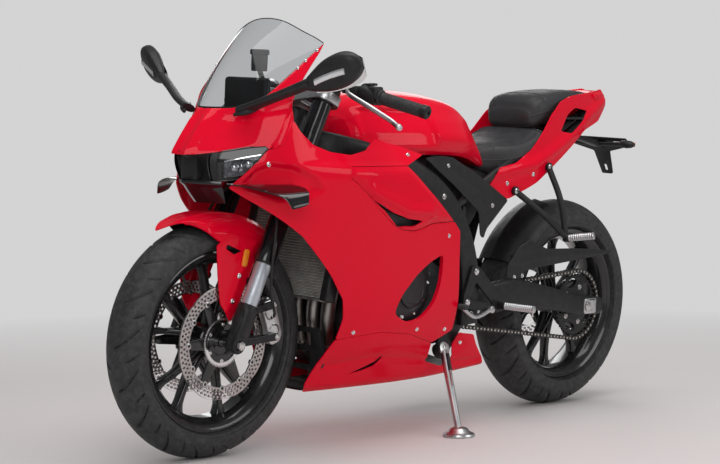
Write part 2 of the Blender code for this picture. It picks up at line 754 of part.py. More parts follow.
def make_bars():
    along = (GRIP_OUT - GRIP_IN).normalized()
    for name_end, side in (("left", 1), ("right", -1)):
        flip = Vector((1, side, 1))
        root, grip_in, grip_out = (BAR_ROOT * flip, GRIP_IN * flip, GRIP_OUT * flip)
        way = along * flip
        bar = rod(root, grip_in + way * 0.004, 0.011, 10)
        pieces = [
            rod(at_fork(0.9285 + GAP, 0, side * FORK_Y), at_fork(0.9440, 0, side * FORK_Y), 0.036, 16),
            rod(grip_in - way * 0.055, grip_in - way * 0.006, 0.024, 10),
            block(grip_in - way * 0.052 - Vector((0.022, 0.016, 0.018)),
                  grip_in - way * 0.012 + Vector((0.022, 0.016, 0.026)), 0.004),
            block(grip_in - way * 0.085 - Vector((0.014, 0.014, 0.014)),
                  grip_in - way * 0.062 + Vector((0.034, 0.014, 0.014)), 0.003),
            rod(grip_in, grip_out - way * 0.018, 0.0165, 14),
            rod(grip_out - way * 0.020, grip_out, 0.0175, 14),
        ]
        if side < 0:
            pieces += reservoir(grip_in - way * 0.078)
        combine(bar, pieces, "UNION")
        bore = rod(at_fork(0.90, 0, side * FORK_Y), at_fork(0.99, 0, side * FORK_Y),
                   FORK_TUBE_R + GAP, 18)
        combine(bar, [bore], "DIFFERENCE")
        finish(bar, "clip_on_" + name_end, "black_plastic", STEERING)
        lever = smooth_path([
            grip_in - way * 0.074 + Vector((0.028, 0, 0.002)),
            grip_in - way * 0.045 + Vector((0.060, 0, -0.004)),
            grip_in + way * 0.020 + Vector((0.066, 0, -0.018)),
            grip_in + way * 0.085 + Vector((0.064, 0, -0.036)),
            grip_in + way * 0.118 + Vector((0.074, 0, -0.044)),
        ], 2)
        blade = tube([tuple(p) for p in lever], 0.0058, 1)
        ball = rod(lever[-1] - Vector((0, 0, 0.008)), lever[-1] + Vector((0, 0, 0.008)), 0.0095, 12)
        combine(blade, [ball], "UNION")
        finish(blade, "lever_" + name_end, "alloy", STEERING)


def reservoir(perch):
    """Brake fluid cup on a stalk above the right perch."""
    base = perch + Vector((0.040, 0.006, 0.036))
    return [
        rod(perch + Vector((0.016, 0, 0.004)), base + Vector((0, 0, 0.006)), 0.007, 10),
        rod(base, base + Vector((0, 0, 0.045)), 0.022, 16),
        rod(base + Vector((0, 0, 0.044)), base + Vector((0, 0, 0.058)), 0.026, 16),
    ]


def make_hoses():
    """Brake hoses from the lower yoke down behind the legs to the calipers."""
    for name_end, side in (("left", 1), ("right", -1)):
        path = smooth_path([
            at_fork(LOWER_YOKE_Z - 0.010, 0.000, side * 0.065),
            at_fork(0.655, 0.034, side * 0.090),
            at_fork(0.600, 0.030, side * 0.128),
            at_fork(0.500, 0.004, side * 0.1400),
            at_fork(0.440, -0.030, side * 0.136),
            at_fork(0.405, -0.075, side * 0.125),
            FRONT_HUB + CALIPER_AT + Vector((0.020, side * (CALIPER_FACE_Y + 0.0175), 0.014)),
        ], 2)
        made = tube([tuple(p) for p in path], 0.004, 1)
        finish(made, "brake_hose_" + name_end, "black_plastic", STEERING)


FENDER_R = FRONT["r"] + 0.020
FENDER_HALF = 0.074


def make_fender():
    section = ((0.0, 0.0), (0.030, -0.004), (0.054, -0.016), (0.069, -0.040), (FENDER_HALF, -0.072))
    first, last, steps = math.radians(58), math.radians(118), 9
    rows = []
    for i in range(steps + 1):
        angle = first + (last - first) * i / steps
        out = Vector((math.cos(angle), 0, math.sin(angle)))
        share = i / steps
        lift = 0.010 * (1 - share) ** 2
        narrow = 0.55 + 0.45 * min(1.0, share * 4) if share < 0.25 else 1.0
        depth = 0.45 + 0.55 * min(1.0, share * 3)
        row = []
        for y, drop in [(-y, d) for y, d in reversed(section)] + list(section[1:]):
            row.append(FRONT_HUB + out * (FENDER_R + lift + drop * depth)
                       + Vector((0, y * narrow, 0)))
        rows.append(row)
    made = shell(rows, FENDER_T, 1.0)
    skirt_outline = [
        (0.628, 0.560), (0.700, 0.575), (0.742, 0.545), (0.735, 0.470), (0.724, 0.400),
        (0.690, 0.352), (0.668, 0.385), (0.618, 0.490), (0.596, 0.545),
    ]
    skirt = plate([skirt_outline], FENDER_HALF + 0.0005, FENDER_T)
    combine(made, [skirt, other_side(skirt)], "UNION")
    finish(made, "front_fender", "red_paint", STEERING)


def make_front_calipers():
    turn = Euler((0, math.atan2(CALIPER_AT.z, -CALIPER_AT.x), 0)).to_quaternion()
    for name_end, side in (("left", 1), ("right", -1)):
        disc_centre = FRONT_HUB + Vector((0, side * DISC_Y, 0))
        centre = disc_centre + CALIPER_AT
        body = block(centre - CALIPER_HALF, centre + CALIPER_HALF, 0.007, turn)
        combine(body, [disc_slot(DISC_R, disc_centre)], "DIFFERENCE")
        finish(body, "front_caliper_" + name_end, "alloy", STEERING)


def disc_slot(radius, centre):
    """A disc-shaped cutter that leaves running room on both sides of a brake disc."""
    side = DISC_T / 2 + CALIPER_GAP
    reach = Vector((0, side, 0))
    return rod(centre - reach, centre + reach, radius + 0.006, 44)


# Frame, engine and running gear


def spar_ring(centre, tangent, half_height, half_width):
    """A chamfered box section square to a spar's path."""
    up = Vector((-tangent.z, 0, tangent.x)).normalized()
    out = Vector((0, 1, 0))
    corners = ((1, 0.6), (0.6, 1), (-0.6, 1), (-1, 0.6), (-1, -0.6), (-0.6, -1), (0.6, -1), (1, -0.6))
    return [centre + up * (half_height * a) + out * (half_width * b) for a, b in corners]


HEAD_R = 0.030


def make_frame():
    stations = (
        # x, y, z, half height, half width
        (0.425, 0.020, 0.800, 0.040, 0.018),
        (0.330, 0.098, 0.785, 0.034, 0.015),
        (0.140, 0.136, 0.735, 0.036, 0.016),
        (0.000, 0.148, 0.655, 0.036, 0.016),
        (-0.085, 0.152, 0.550, 0.034, 0.016),
        (-0.128, 0.150, 0.430, 0.036, 0.016),
        (-0.140, 0.146, 0.300, 0.036, 0.014),
    )
    sides = []
    for side in (1, -1):
        centres = [Vector((x, side * y, z)) for x, y, z, _, _ in stations]
        rings = []
        for i, (_, _, _, height, width) in enumerate(stations):
            before, after = centres[max(0, i - 1)], centres[min(len(centres) - 1, i + 1)]
            rings.append(spar_ring(centres[i], (after - before).normalized(), height, width))
        sides.append(loft(rings))
    head = rod(at_stem(0.736), at_stem(0.894), HEAD_R, 20)
    beams = [rod((-0.075, -0.150, 0.585), (-0.075, 0.150, 0.585), 0.016, 12)]
    combine(head, [*sides, *beams], "UNION")
    combine(head, [
        rod(at_stem(0.70), at_stem(0.93), STEM_R + RUNNING_GAP, 20),
    ], "DIFFERENCE")
    rails = [
        tube([(-0.060, side * 0.135, 0.620), (-0.300, side * 0.118, 0.735),
              (-0.480, side * 0.100, 0.800), (-0.760, side * 0.040, 0.895)], 0.012, 1)
        for side in (-1, 1)
    ]
    pivot = rod((PIVOT_X, -0.160, PIVOT_Z), (PIVOT_X, 0.160, PIVOT_Z), PIVOT_R, 16)
    ties = [rod((x, -y, z), (x, y, z), 0.010, 8) for x, y, z in ((-0.30, 0.12, 0.735), (-0.62, 0.07, 0.847))]
    bracket = plate([[(-0.168, 0.340), (-0.110, 0.345), (-0.028, 0.262), (-0.018, 0.222),
                      (-0.040, 0.205), (-0.066, 0.214)]], 0.1343, 0.0078)
    boss = rod(STAND_PIVOT - STAND_AXIS * 0.028, STAND_PIVOT - STAND_AXIS * (0.004 + GAP),
               STAND_EYE_R, 20)
    combine(head, [*rails, pivot, *ties, bracket, boss], "UNION")
    finish(head, "frame", "frame_black")


def make_engine():
    outline = [
        (-0.118, 0.330), (-0.090, 0.440), (0.020, 0.500), (0.060, 0.640), (0.265, 0.640),
        (0.330, 0.520), (0.300, 0.430), (0.330, 0.330), (0.280, 0.255), (-0.060, 0.245),
    ]
    made = plate([outline], 0, 0.220, bevel=0.010)
    covers = [
        rod((0.135, 0.09, 0.415), (0.135, 0.176, 0.415), 0.092, 24, 0.082),
        rod((0.135, -0.09, 0.400), (0.135, -0.172, 0.400), 0.092, 24, 0.082),
        rod((0.225, -0.09, 0.330), (0.225, -0.140, 0.330), 0.045, 16),
    ]
    combine(made, covers, "UNION")
    recess = rod((DRIVE_X, 0.078, DRIVE_Z), (DRIVE_X, 0.200, DRIVE_Z), 0.062, 20)
    combine(made, [recess], "DIFFERENCE")
    sprocket_r = DRIVE_R - CHAIN_H / 2 - 2 * GAP
    sprocket_y = (CHAIN_Y - SPROCKET_T / 2, CHAIN_Y + SPROCKET_T / 2)
    combine(made, [
        rod((-0.099, -0.145, 0.412), (-0.099, 0.145, 0.412), 0.014, 12),
        rod((DRIVE_X, 0.070, DRIVE_Z), (DRIVE_X, sprocket_y[1], DRIVE_Z), 0.012, 12),
        rod((DRIVE_X, sprocket_y[0], DRIVE_Z), (DRIVE_X, sprocket_y[1], DRIVE_Z), sprocket_r, 16),
    ], "UNION")
    finish(made, "engine", "engine_grey")


def chain_outline():
    """Outer edge of the chain's two tangent runs and two wraps, with a waist between links."""
    front = Vector((DRIVE_X, DRIVE_Z))
    rear = Vector((REAR_HUB.x, REAR_HUB.z))
    apart = (rear - front).length
    heading = math.atan2(rear.y - front.y, rear.x - front.x)
    tilt = math.asin((SPROCKET_R - DRIVE_R) / apart)
    path = []

    def wrap(centre, radius, start, end):
        steps = 60
        for i in range(steps + 1):
            angle = start + (end - start) * i / steps
            path.append(centre + Vector((math.cos(angle), math.sin(angle))) * radius)

    side = math.pi / 2 + tilt
    wrap(front, DRIVE_R, heading + side, heading + 2 * math.pi - side)
    wrap(rear, SPROCKET_R, heading - side, heading + side)
    return path


def make_chain():
    path = chain_outline()
    lengths = [0.0]
    for a, b in zip(path, path[1:] + path[:1]):
        lengths.append(lengths[-1] + (b - a).length)
    total = lengths[-1]
    links = 2 * round(total / CHAIN_PITCH / 2)

    def at(distance):
        distance %= total
        for i, (low, high) in enumerate(zip(lengths, lengths[1:])):
            if distance <= high:
                a, b = path[i], path[(i + 1) % len(path)]
                share = (distance - low) / max(high - low, 1e-9)
                return a.lerp(b, share), (b - a).normalized()
        return path[0], (path[1] - path[0]).normalized()

    outer, inner = [], []
    for i in range(links):
        point, along = at(total * i / links)
        across = Vector((-along.y, along.x))
        half = CHAIN_H / 2 * (1.0 if i % 2 == 0 else 0.84)
        outer.append(tuple(point + across * half))
        inner.append(tuple(point - across * half))
    finish(plate([outer, inner], CHAIN_Y, CHAIN_W), "drive_chain", "chain_steel")


def make_swingarm():
    stations = (
        # x, z, half height, y centre, half width
        (-0.138, 0.342, 0.028, 0.1185, 0.011),
        (-0.230, 0.358, 0.040, 0.1185, 0.011),
        (-0.300, 0.366, 0.044, 0.1230, 0.013),
        (-0.380, 0.366, 0.044, ARM_Y, ARM_T / 2),
        (-0.540, 0.344, 0.034, ARM_Y, ARM_T / 2),
        (-0.660, 0.318, 0.029, ARM_Y, ARM_T / 2),
        (-0.780, 0.310, 0.027, ARM_Y, ARM_T / 2),
    )
    arms = []
    for side in (1, -1):
        rings = []
        for x, z, height, y, width in stations:
            centre = Vector((x, side * y, z))
            rings.append(spar_ring(centre, Vector((-1, 0, 0)), height, width))
        arms.append(loft(rings))
    cross = block((-0.345, -0.122, 0.322), (-0.255, 0.122, 0.364), 0.008)
    caliper_lug = block((-0.645, -0.1225, 0.330), (-0.585, -0.1099, 0.415), 0.002)
    barrel = rod((PIVOT_X, -0.132, PIVOT_Z), (PIVOT_X, -0.085, PIVOT_Z), 0.026, 20)
    made = combine(arms[0], [arms[1], cross, barrel, caliper_lug], "UNION")
    combine(made, [
        rod((PIVOT_X, -0.2, PIVOT_Z), (PIVOT_X, 0.2, PIVOT_Z), PIVOT_R + RUNNING_GAP, 16),
        rod((REAR_HUB.x, -0.2, REAR_HUB.z), (REAR_HUB.x, 0.2, REAR_HUB.z), AXLE_R + RUNNING_GAP, 16),
    ], "DIFFERENCE")
    finish(made, "swingarm", "frame_black")
    axle = rod(REAR_HUB - Vector((0, 0.146, 0)), REAR_HUB + Vector((0, 0.146, 0)), AXLE_R, 16)
    finish(axle, "rear_axle", "bright_steel")


GUARD_OUTLINE = [
    (-0.335, 0.404), (-0.395, 0.400), (-0.420, 0.432), (-0.500, 0.440), (-0.660, 0.452),
    (-0.836, 0.466), (-0.838, 0.476), (-0.660, 0.488), (-0.520, 0.492), (-0.440, 0.520),
    (-0.385, 0.500), (-0.340, 0.450),
]
GUARD_Y = ARM_Y - 0.006
HUGGER_R = REAR["r"] + 0.016
HUGGER_HALF = REAR["width"] / 2 + 0.004


def make_hugger():
    """Arch over the front of the rear tyre, with the chain guard beside it on the swingarm."""
    section = ((0.0, 0.0), (0.045, -0.012), (0.070, -0.032), (HUGGER_HALF, -0.060))
    first, last, steps = math.radians(26), math.radians(72), 7
    rows = []
    for i in range(steps + 1):
        angle = first + (last - first) * i / steps
        out = Vector((math.cos(angle), 0, math.sin(angle)))
        rows.append([
            REAR_HUB + out * (HUGGER_R + drop) + Vector((0, y, 0))
            for y, drop in [(-y, drop) for y, drop in reversed(section)] + list(section[1:])
        ])
    made = shell(rows, GUARD_T, 1.0)
    guard = plate([GUARD_OUTLINE], GUARD_Y, GUARD_T)
    bridge = block((-0.470, HUGGER_HALF - 0.012, 0.462), (-0.405, GUARD_Y, 0.474), 0.002)
    stay = block((-0.462, -ARM_Y, 0.386), (-0.440, -HUGGER_HALF + 0.006, 0.447), 0.002)
    combine(made, [guard, bridge, stay], "UNION")
    fit_around(made, [bpy.data.objects["swingarm"]])
    finish(made, "rear_hugger", "black_plastic")


def make_shock():
    low, high = Vector((-0.290, 0, 0.345)), Vector((-0.082, 0, 0.578))
    made = rod(low, high, 0.026, 14)
    finish(made, "rear_shock", "black_plastic")


def make_stand():
    """Side stand: hinge eye, tapered leg and a round foot pad that is flat on the floor."""
    upright = Matrix.Rotation(LEAN, 4, "X")
    foot_up = (upright @ Vector((0, 0, 1))).normalized()
    foot = STAND_FOOT
    eye = rod(STAND_PIVOT - STAND_AXIS * 0.004, STAND_PIVOT + STAND_AXIS * 0.026, STAND_EYE_R, 20)
    leg_top = STAND_PIVOT + STAND_AXIS * 0.015
    leg_foot = foot + foot_up * (STAND_FOOT_T - 0.002)
    leg = rod(leg_top, leg_foot, 0.0125, 16, 0.0095)
    pad = rod(foot, foot + foot_up * STAND_FOOT_T * 0.6, STAND_FOOT_R, 24)
    top = rod(foot + foot_up * STAND_FOOT_T * 0.55, foot + foot_up * STAND_FOOT_T, STAND_FOOT_R, 24,
              0.026)
    tab = rod(foot + foot_up * 0.020 + Vector((-0.018, 0.020, 0)),
              foot + foot_up * 0.060 + Vector((-0.026, 0.040, 0)), 0.005, 10)
    combine(eye, [leg, pad, top, tab], "UNION")
    finish(eye, "side_stand", "bright_steel", STAND_HINGE)


# Bodywork

SIDE_OUTLINE = [
    (0.735, 0.690), (0.700, 0.735), (0.662, 0.787), (0.628, 0.800), (0.598, 0.862), (0.580, 0.835),
    (0.540, 0.802), (0.487, 0.784), (0.422, 0.777), (0.360, 0.788), (0.310, 0.815), (0.225, 0.800),
    (0.140, 0.776), (0.226, 0.750), (0.138, 0.682), (0.020, 0.598), (-0.011, 0.570),
    (-0.016, 0.490), (-0.042, 0.293), (0.030, 0.262), (0.140, 0.296), (0.254, 0.310),
    (0.402, 0.297), (0.398, 0.354), (0.412, 0.407), (0.462, 0.468), (0.563, 0.571),
    (0.640, 0.624), (0.700, 0.664),
]
GILL = [(0.363, 0.664), (0.290, 0.630), (0.227, 0.612), (0.164, 0.604), (0.204, 0.589),
        (0.262, 0.592), (0.315, 0.633)]
WINDOW = [(0.057, 0.512), (0.057, 0.431), (0.075, 0.378), (0.115, 0.337), (0.170, 0.330),
          (0.228, 0.358), (0.211, 0.407), (0.160, 0.461), (0.113, 0.492)]
BELLY_OUTLINE = [
    (0.402, 0.297 - SEAM), (0.254, 0.310 - SEAM), (0.140, 0.296 - SEAM), (0.030, 0.262 - SEAM),
    (-0.042, 0.285), (-0.153, 0.270), (-0.182, 0.237), (-0.225, 0.198), (-0.245, 0.170),
    (-0.062, 0.158), (0.120, 0.149), (0.347, 0.144), (0.425, 0.146), (0.437, 0.171), (0.414, 0.268),
]
STAND_NOTCH = [(0.030, 0.262), (0.020, 0.205), (-0.055, 0.185), (-0.085, 0.205), (-0.085, 0.300),
               (0.030, 0.300)]


def make_side_fairings():
    made = side_panel(SIDE_OUTLINE, [GILL, WINDOW])
    finish(made, "side_fairing_left", "red_paint")
    mirrored(made, "side_fairing_right", "red_paint")


def make_belly_pan():
    stations = (-0.26, -0.18, -0.09, 0.0, 0.09, 0.18, 0.27, 0.35, 0.40, 0.445)
    levels = (0.330, 0.280, 0.235, 0.190, 0.160)
    rows = []
    for x in stations:
        floor = 0.148 if x > 0 else 0.148 - 0.08 * x
        left = [(x, side_width(x, z), max(z, floor)) for z in levels if z > floor + 0.01]
        while len(left) < len(levels):
            left.append((x, side_width(x, floor) * 0.98, floor + 0.006))
        bottom = [(x, side_width(x, floor) * 0.82, floor), (x, 0.0, floor - 0.003)]
        half = left + bottom
        rows.append(half + [(px, -py, pz) for px, py, pz in reversed(half[:-1])])
    made = shell(rows, PANEL_T, -1.0)
    combine(made, [plate([BELLY_OUTLINE], 0, 0.6)], "INTERSECT")
    notch = plate([STAND_NOTCH], 0.15, 0.14)
    mouth = block((0.405, -0.070, 0.10), (0.50, 0.070, 0.36))
    pipe_way = rod((-0.010, -0.055, 0.205), (-0.200, -0.235, 0.243), 0.055, 16)
    combine(made, [notch, mouth, pipe_way], "DIFFERENCE")
    finish(made, "belly_pan", "red_paint")


COVER_OUTLINE = [
    (0.085, 0.765), (0.020, 0.7705), (-0.040, 0.7655), (-0.170, 0.712), (-0.311, 0.641),
    (-0.212, 0.562), (-0.200, 0.536), (-0.186, 0.545), (-0.172, 0.612), (-0.050, 0.690),
]


def cover_width(x, _):
    """Half width of the side cover's outer face, which follows the seat rail behind it."""
    return 0.1545 + 0.0708 * x


def make_side_covers():
    """Black covers between the frame spars and the tail, below the tank."""
    made = side_panel(COVER_OUTLINE, steps=(3, 2), width=cover_width)
    fit_around(made, [bpy.data.objects[name] for name in ("frame", "fuel_tank", "tail_cowl")])
    finish(made, "side_cover_left", "black_plastic")
    mirrored(made, "side_cover_right", "black_plastic")


COWL_COLUMNS = (
    # across, lower edge z, upper edge z
    (0.00, 0.773, 0.882),
    (0.20, 0.776, 0.883),
    (0.40, 0.781, 0.887),
    (0.58, 0.786, 0.900),
    (0.70, 0.789, 0.926),
    (0.80, 0.790, 0.962),
    (0.87, 0.794, 0.992),
    (0.92, 0.870, 1.016),
    (0.96, 0.955, 1.034),
    (1.00, 1.030, 1.052),
)


def make_upper_cowl():
    columns = [(-a, low, high) for a, low, high in reversed(COWL_COLUMNS[1:])] + list(COWL_COLUMNS)
    rows = []
    for across, low, high in columns:
        rows.append([nose_point(low + (high - low) * k / 5, across) for k in range(6)])
    made = shell(rows, PANEL_T, -1.0)
    finish(made, "upper_cowl", "red_paint")


SCREEN_COLUMNS = (
    # across, lower edge z, upper edge z
    (0.00, 0.882, 1.114),
    (0.20, 0.883, 1.113),
    (0.40, 0.887, 1.111),
    (0.58, 0.900, 1.104),
    (0.70, 0.926, 1.092),
    (0.80, 0.962, 1.072),
    (0.87, 0.992, 1.058),
)


def make_screen():
    columns = [(-a, low, high) for a, low, high in reversed(SCREEN_COLUMNS[1:])]
    columns += list(SCREEN_COLUMNS)
    rows = []
    for across, low, high in columns:
        bottom = low + SEAM
        rows.append([
            nose_point(bottom + (high - bottom) * k / 5, across, 0.0008) for k in range(6)
        ])
    made = shell(rows, SCREEN_T, -1.0)
    finish(made, "windscreen", "screen")


LAMP_LOW = ((0.42, 0.706), (0.52, 0.708), (0.63, 0.713), (0.73, 0.720))
LAMP_HIGH = ((0.445, 0.778), (0.58, 0.782), (0.72, 0.785), (0.85, 0.786))


def make_lamps():
    rows = []
    for (a_low, z_low), (a_high, z_high) in zip(LAMP_LOW, LAMP_HIGH):
        rows.append([
            nose_point(z_low + (z_high - z_low) * k / 4, a_low + (a_high - a_low) * k / 4, 0.005)
            for k in range(5)
        ])
    made = shell(rows, 0.024, -1.0)
    finish(made, "headlamp_left", "lamp_lens")
    mirrored(made, "headlamp_right", "lamp_lens")


def nose_patch(reach, low, high, inset):
    """A wall on the nose surface between two heights, from side to side."""
    rows = [
        [nose_point(low + (high - low) * k / 3, reach * (i / 4 - 1), inset) for k in range(4)]
        for i in range(9)
    ]
    return shell(rows, 0.005, -1.0)


def make_nose():
    """Black middle of the nose, its lower lip and the inner frame that carries the cowl."""
    made = nose_patch(0.38, 0.660, 0.771, 0.002)
    lip = nose_patch(0.455, 0.648, 0.700, 0.0024)
    stay = [
        block((0.478, -0.026, 0.790), (0.760, 0.026, 0.822), 0.004),
        block((0.590, -0.140, 0.796), (0.622, 0.140, 0.818), 0.004),
        block((0.740, -0.028, 0.700), (0.7915, 0.028, 0.770), 0.004),
        block((0.735, -0.026, 0.740), (0.765, 0.026, 0.815), 0.004),
        block((0.575, -0.075, 0.815), (0.600, 0.075, 0.990), 0.006),
    ]
    combine(made, [lip, *stay], "UNION")
    finish(made, "nose_frame", "black_plastic")


def make_winglets():
    rows = (
        ((0.735, 0.093, 0.6985), (0.668, 0.150, 0.6985), (0.600, 0.188, 0.702)),
        ((0.722, 0.150, 0.696), (0.660, 0.172, 0.698), (0.598, 0.205, 0.700)),
        ((0.700, 0.200, 0.686), (0.645, 0.212, 0.690), (0.594, 0.228, 0.694)),
        ((0.674, 0.238, 0.674), (0.630, 0.246, 0.680), (0.590, 0.252, 0.686)),
        ((0.660, 0.254, 0.650), (0.622, 0.260, 0.656), (0.590, 0.264, 0.664)),
    )
    made = shell(rows, 0.005, 0.0)
    finish(made, "winglet_left", "black_plastic")
    mirrored(made, "winglet_right", "black_plastic")


def oval_ring(centre, half_x, half_z, lean, count=12):
    """A flattened ring in the x-z plane, turned by lean."""
    points = []
    for i in range(count):
        angle = 2 * math.pi * i / count
        u, v = half_x * math.cos(angle), half_z * math.sin(angle)
        points.append((
            centre[0] + u * math.cos(lean) - v * math.sin(lean),
            centre[1],
            centre[2] + u * math.sin(lean) + v * math.cos(lean),
        ))
    return points


def make_mirrors():
    head = (
        # x, y, z, half depth, half height
        (0.634, 0.286, 0.958, 0.006, 0.010),
        (0.628, 0.298, 0.966, 0.017, 0.025),
        (0.620, 0.325, 0.980, 0.023, 0.038),
        (0.611, 0.360, 0.993, 0.024, 0.043),
        (0.602, 0.390, 1.002, 0.019, 0.036),
        (0.597, 0.404, 1.006, 0.007, 0.014),
    )
    stem = (
        (0.698, 0.100, 0.881, 0.020, 0.006),
        (0.690, 0.150, 0.899, 0.017, 0.006),
        (0.664, 0.215, 0.928, 0.016, 0.007),
        (0.636, 0.290, 0.961, 0.014, 0.009),
    )
    made = loft([oval_ring((x, y, z), depth, height, -0.35) for x, y, z, depth, height in head])
    arm = loft([oval_ring((x, y, z), depth, height, 0.25, 8) for x, y, z, depth, height in stem])
    combine(made, [arm], "UNION")
    finish(made, "mirror_left", "black_plastic")
    mirrored(made, "mirror_right", "black_plastic")


def make_lower_duct():
    """Black guard at the front of the belly with three windows."""
    outline = [(-0.072, 0.150), (0.072, 0.150), (0.099, 0.190), (0.1275, 0.240), (0.100, 0.318),
               (-0.100, 0.318), (-0.1275, 0.240), (-0.099, 0.190)]
    windows = []
    for low, high in ((0.170, 0.205), (0.220, 0.255), (0.270, 0.303)):
        windows.append([(-0.066, low), (0.066, low), (0.072, high), (-0.072, high)])
    matrix = Matrix.Translation((0.398, 0, 0)) @ Matrix.Rotation(math.pi / 2, 4, "Z")
    matrix @= Matrix.Rotation(math.pi / 2, 4, "X")
    made = plate([outline, *windows], 0, 0.008, matrix)
    fit_around(made, [bpy.data.objects["belly_pan"]])
    finish(made, "lower_duct", "black_plastic")


TANK_STATIONS = (
    # x, top z, bottom z, half width low, half width high
    (0.305, 0.868, 0.800, 0.090, 0.070),
    (0.275, 0.905, 0.784, 0.126, 0.100),
    (0.210, 0.932, 0.772, 0.150, 0.112),
    (0.120, 0.940, 0.772, 0.162, 0.116),
    (0.020, 0.936, 0.772, 0.164, 0.110),
    (-0.080, 0.922, 0.768, 0.150, 0.100),
    (-0.140, 0.902, 0.760, 0.130, 0.088),
    (-0.190, 0.862, 0.750, 0.106, 0.078),
    (-0.232, 0.812, 0.738, 0.088, 0.066),
    (-0.252, 0.770, 0.732, 0.078, 0.058),
)


def make_tank():
    rings = []
    for x, top, bottom, low, high in TANK_STATIONS:
        rise = top - bottom
        half = [(0.0, top), (0.45 * high, top - 0.02 * rise), (0.85 * high, top - 0.10 * rise),
                (1.0 * high + 0.2 * (low - high), top - 0.28 * rise), (low, bottom + 0.34 * rise),
                (0.97 * low, bottom + 0.12 * rise), (0.88 * low, bottom)]
        ring = [(x, y, z) for y, z in half]
        ring += [(x, -y, z) for y, z in reversed(half[1:])]
        rings.append(ring)
    made = loft(rings)
    finish(made, "fuel_tank", "red_paint")


def seat_rings(stations):
    rings = []
    for x, top, bottom, half in stations:
        edge = min(0.022, (top - bottom) * 0.45)
        left = [(0.0, top - 0.003), (0.55 * half, top), (0.88 * half, top - 0.25 * edge),
                (half, top - edge), (0.94 * half, bottom)]
        rings.append([(x, y, z) for y, z in left] + [(x, -y, z) for y, z in reversed(left[1:])])
    return rings


RIDER_SEAT = (
    # x, top z, bottom z, half width
    (-0.2565, 0.790, 0.738, 0.060),
    (-0.285, 0.797, 0.742, 0.092),
    (-0.335, 0.800, 0.748, 0.126),
    (-0.390, 0.808, 0.762, 0.146),
    (-0.440, 0.826, 0.786, 0.148),
    (-0.478, 0.848, 0.815, 0.128),
)
PILLION_SEAT = (
    (-0.462, 0.905, 0.868, 0.070),
    (-0.485, 0.936, 0.876, 0.098),
    (-0.560, 0.950, 0.896, 0.106),
    (-0.640, 0.956, 0.912, 0.098),
    (-0.720, 0.956, 0.922, 0.078),
    (-0.775, 0.952, 0.930, 0.052),
)


def make_seats():
    finish(loft(seat_rings(RIDER_SEAT)), "rider_seat", "seat_vinyl")
    finish(loft(seat_rings(PILLION_SEAT)), "pillion_seat", "seat_vinyl")


TAIL_WIDTHS = {
    -0.180: (0.128,), -0.300: (0.138,), -0.420: (0.142,), -0.520: (0.128,), -0.620: (0.108,),
    -0.740: (0.080,), -0.830: (0.054,), -0.900: (0.028,),
}
TAIL_OUTLINE = [
    (-0.205, 0.647), (-0.311, 0.645), (-0.430, 0.690), (-0.535, 0.745), (-0.630, 0.793),
    (-0.716, 0.841), (-0.821, 0.868), (-0.889, 0.918), (-0.886, 0.942), (-0.857, 0.966),
    (-0.780, 0.956), (-0.700, 0.950), (-0.620, 0.942), (-0.555, 0.925), (-0.500, 0.885),
    (-0.455, 0.835), (-0.400, 0.784), (-0.330, 0.748), (-0.262, 0.735),
]
TAIL_HOLE = [(-0.560, 0.838), (-0.600, 0.888), (-0.650, 0.908), (-0.730, 0.900), (-0.690, 0.868),
             (-0.620, 0.832)]


def tail_width(x, z):
    """Half width of the tail's outer face."""
    return blend_rows(TAIL_WIDTHS, x)[0] - 0.10 * max(0.0, z - 0.90) + 0.05 * min(0.0, z - 0.75)


def make_tail():
    left = side_panel(TAIL_OUTLINE, [TAIL_HOLE], steps=(9, 3), width=tail_width)
    right = other_side(left)
    deck = []
    for x, top, bottom, half in (
        (-0.780, 0.952, 0.938, 0.066), (-0.830, 0.960, 0.915, 0.052), (-0.872, 0.958, 0.905, 0.036),
        (-0.884, 0.940, 0.915, 0.030),
    ):
        deck.append([(x, -half, bottom), (x, half, bottom), (x, half * 0.9, top - 0.004),
                     (x, 0, top), (x, -half * 0.9, top - 0.004)])
    tray = block((-0.700, -0.094, 0.872), (-0.480, 0.094, 0.880), 0.0)
    front_bar = block((-0.470, -0.139, 0.772), (-0.440, 0.139, 0.785), 0.0)
    combine(left, [right, loft(deck), tray, front_bar], "UNION")
    finish(left, "tail_cowl", "red_paint")
    lens = block((-0.8795, -0.026, 0.885), (-0.845, 0.026, 0.9045), 0.004)
    finish(lens, "tail_lamp", "tail_lens")


